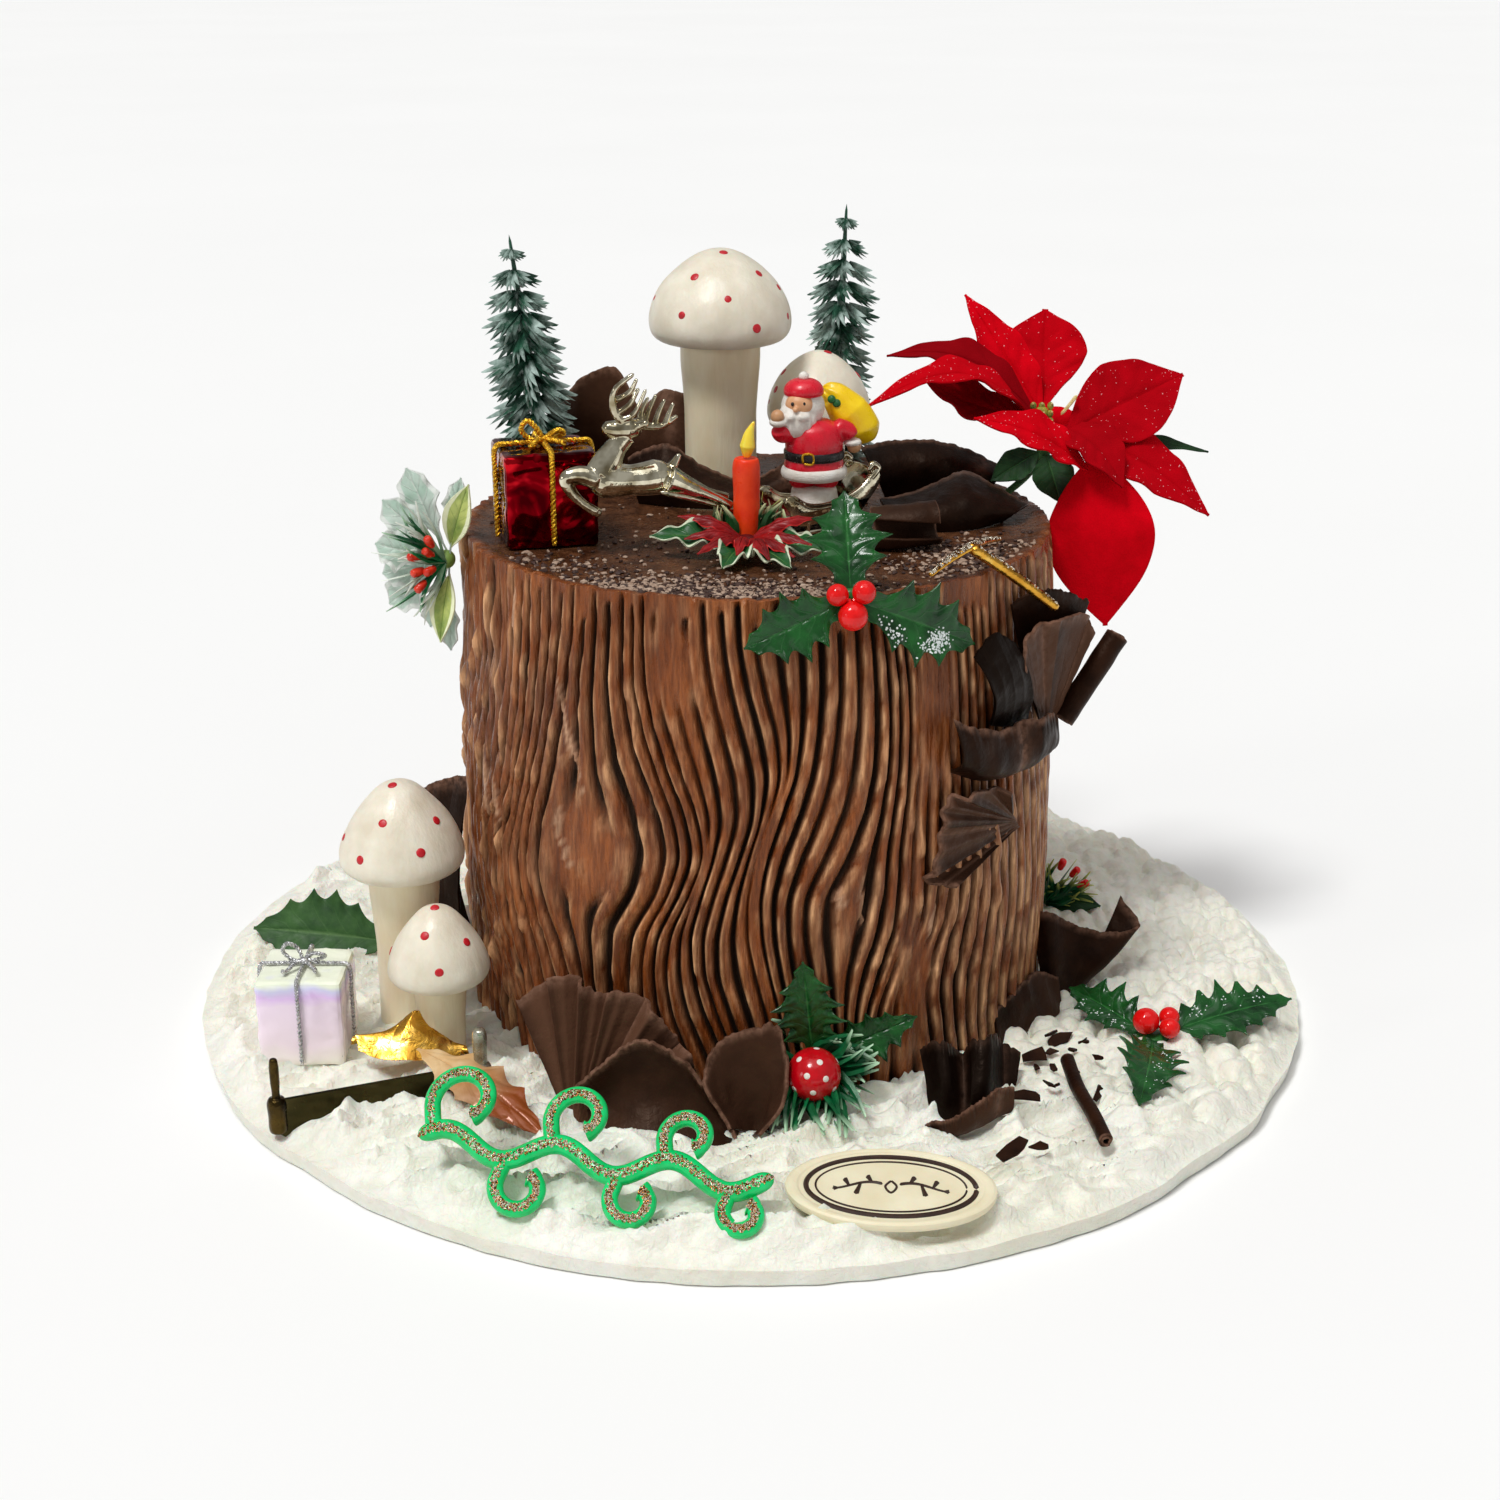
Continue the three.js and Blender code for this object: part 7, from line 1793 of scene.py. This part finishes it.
bpy.ops.object.transform_apply(location=True)
flake = bpy.context.object
glitters = {"gold": tinted("gold_glitter", (214, 160, 90), (140, 86, 40), 0.8, rough=0.16, metal=0.9),
    "silver": tinted("silver_glitter", (240, 232, 214), (190, 180, 160), 0.8, rough=0.2, metal=0.6),
    "bronze": tinted("bronze_glitter", (112, 66, 22), (60, 34, 10), 0.8, rough=0.2, metal=0.9)}
for kind, places in flakes.items():
    keep(copies(f"flourish_{kind}", flake, places), "glitter_flourish", glitters[kind], smooth=0)
print("glitter", {kind: len(places) for kind, places in flakes.items()})

# %% Gilded pick
STAR_HUB = vec(60.2, -69.4, 167)
STAR_ARMS = [(48.3, -78.6, 161.4), (71.8, -39.6, 161.2), (86.6, -57, 145.6)]
ARM_WIDTHS = [[1.4, 1.2, 0.8], [1.4, 1.1, 0.7], [2, 1.9, 1.6]]


def arm_path(end):
    return [STAR_HUB, STAR_HUB + (vec(*end) - STAR_HUB) * 0.5 + vec(0, 0, 0.5), end]


arms = [tube("arm", arm_path(end), widths, 50, 12, squash=(0, 0, 1, 0.75))
    for end, widths in zip(STAR_ARMS, ARM_WIDTHS)]
keep(joined("gilded_arms", arms), "gilded_pick", gold, smooth=60)
places = []
for end, widths in zip(STAR_ARMS, ARM_WIDTHS):
    surface = tube_surface(arm_path(end), widths, squash=(0, 0, 1, 0.75))
    u, t = draw.uniform(0.03, 0.95, 700), draw.random(700)
    p = surface(u, t)
    normal = unit(p - curve(arm_path(end))(u))
    for q, way in zip(p[normal[:, 2] > 0.4], normal[normal[:, 2] > 0.4]):
        tilted = unit(way + draw.normal(0, 0.4, 3))
        places.append(aim(q - tilted * 0.05, q + tilted * 0.15, 0.36 * draw.uniform(0.6, 1.2)))
keep(copies("gilded_glitter", flake, places[::2]), "gilded_pick", glitters["bronze"], smooth=0)
keep(copies("gilded_sparkle", flake, places[1::2]), "gilded_pick", glitters["silver"], smooth=0)
drop(flake)

# %% [markdown]
# ## The oval plaque
# A flat oval of ivory chocolate with a raised border carries two brown rings, a plain sprig on each side and a
# small lozenge in the middle.

# %% Plaque
PLAQUE_AT, LONG, WIDE = vec(36.8, -152.6, 14.8), 28, 15.5
tilt, heading = radians(9), radians(-4)


def on_plaque(x, y, z):
    y, z = spin(y, z, tilt)
    return xyz(*spin(x, y, heading), z) + PLAQUE_AT


def plaque_surface(u, t):
    table = np.array([(0, -1.5), (0.94, -1.5), (0.985, -1.1), (1, 0), (0.995, 1), (0.965, 1.45), (0.93, 1.5),
            (0.89, 1.35), (0.87, 1.05), (0.85, 1), (0, 1)])
    j = t * (len(table) - 1)
    r, h = np.interp(j, np.arange(len(table)), table[:, 0]), np.interp(j, np.arange(len(table)), table[:, 1])
    h = h + 0.12 * (lumps(xyz(r * LONG * np.cos(TAU * u), r * WIDE * np.sin(TAU * u), h), 6) - 0.5)
    return on_plaque(LONG * r * np.cos(TAU * u), WIDE * r * np.sin(TAU * u), h)


ivory = tinted("ivory_chocolate", (238, 230, 200), (228, 217, 182), 14, rough=0.4, grain=0.12, Subsurface_Weight=0.1,
    Subsurface_Scale=0.002)
keep(drape("plaque", plaque_surface, 120, 60), "oval_plaque", ivory, smooth=50)
brown_print = tinted("brown_print", (58, 34, 24), (40, 22, 15), 2, rough=0.5, grain=0.05)


def ring_of(rx, ry, wide, count=96):
    a = TAU * np.arange(count + 1) / count
    return tube("ring", on_plaque(rx * np.cos(a), ry * np.sin(a), 1.0), [wide] * 2, count, 6, cap=0.001)


ornament = [ring_of(LONG * 0.8, WIDE * 0.76, 0.75), ring_of(LONG * 0.71, WIDE * 0.64, 0.3)]
for s in (-1, 1):
    xs = np.linspace(2.2, 15.5, 12) * s
    ornament.append(tube("sprig", on_plaque(xs, 1.5 * np.sin(abs(xs) / 3.4), 1.0), [0.5, 0.3], 50, 6))
    for k in range(4):
        x = s * (5 + 3 * k)
        ornament.append(tube("twiglet",
                on_plaque(*np.array([(x, 1.5 * sin(abs(x) / 3.4), 1.0),
                (x + s * 1.2, (1.6 + 0.8 * sin(abs(x) / 3.4)) * (-1) ** k * 1.6, 1.0)]).T), [0.35, 0.8], 12, 6))
ornament.append(tube("lozenge",
        on_plaque(*np.array([(0, 2.4, 1.0), (1.5, 0, 1.0), (0, -2.4, 1.0), (-1.5, 0, 1.0), (0, 2.4, 1.0)]).T),
        [0.34] * 2, 40, 6))
keep(joined("plaque_ornament", ornament), "oval_plaque", brown_print)

# %% [markdown]
# ## Flakes on the cream
# Where the cream was dressed, a few flakes and shards of chocolate have fallen. They are thin plates with broken
# outlines, lying on the cream or stuck into it.

# %% Flakes and shards
draw = seeded(111)


def shard(name, place, size, turn_z, tip_up):
    corners = [(size[0] * cos(a) * far, size[1] * sin(a) * far)
        for a, far in zip(np.arange(7) / 7 * TAU, draw.uniform(0.5, 1.2, 7))]
    rows = [(*(vec(*place[:2]) + spin(x, y, turn_z)), place[2] + y * tip_up + 0.12 * x) for x, y in corners]
    return flat_plate(name, rows, 0.8, 0.15, segments=1)


shards = [shard("flake", *one)
    for one in (((79, -99, 13), (6, 2.4), -0.2, 0.4), ((92, -66, 13.6), (5, 3), 0.6, 0.5),
        ((84, -75, 13), (4.4, 3), 0.2, 0.3), ((72, -131, 14.4), (6, 3), 0.7, 0.25),
        ((79, -130, 14.4), (3.6, 1.8), -0.5, 0.3), ((-60, -128, 11.6), (2.2, 1.6), 0.4, 0.3),
        ((100, -96, 12), (4.4, 1.6), 1.1, 0.5))]
shards += [shard("chip", (draw.uniform(83, 103), draw.uniform(-96, -60), draw.uniform(12.6, 14)),
        (draw.uniform(1.6, 3.4), draw.uniform(0.8, 1.8)), draw.uniform(0, TAU), draw.uniform(0.1, 0.6))
    for k in range(12)]
keep(joined("flakes", shards), "cream_ring", dark_chocolate, smooth=30)
print("flakes", len(shards))

# %% [markdown]
# ## Size
# The box round the dressed cake is measured and printed.

# %% Measure the size
low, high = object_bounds()
print("pieces", len(pieces), "visual box", [round(v, 4) for v in (*low, *high)])
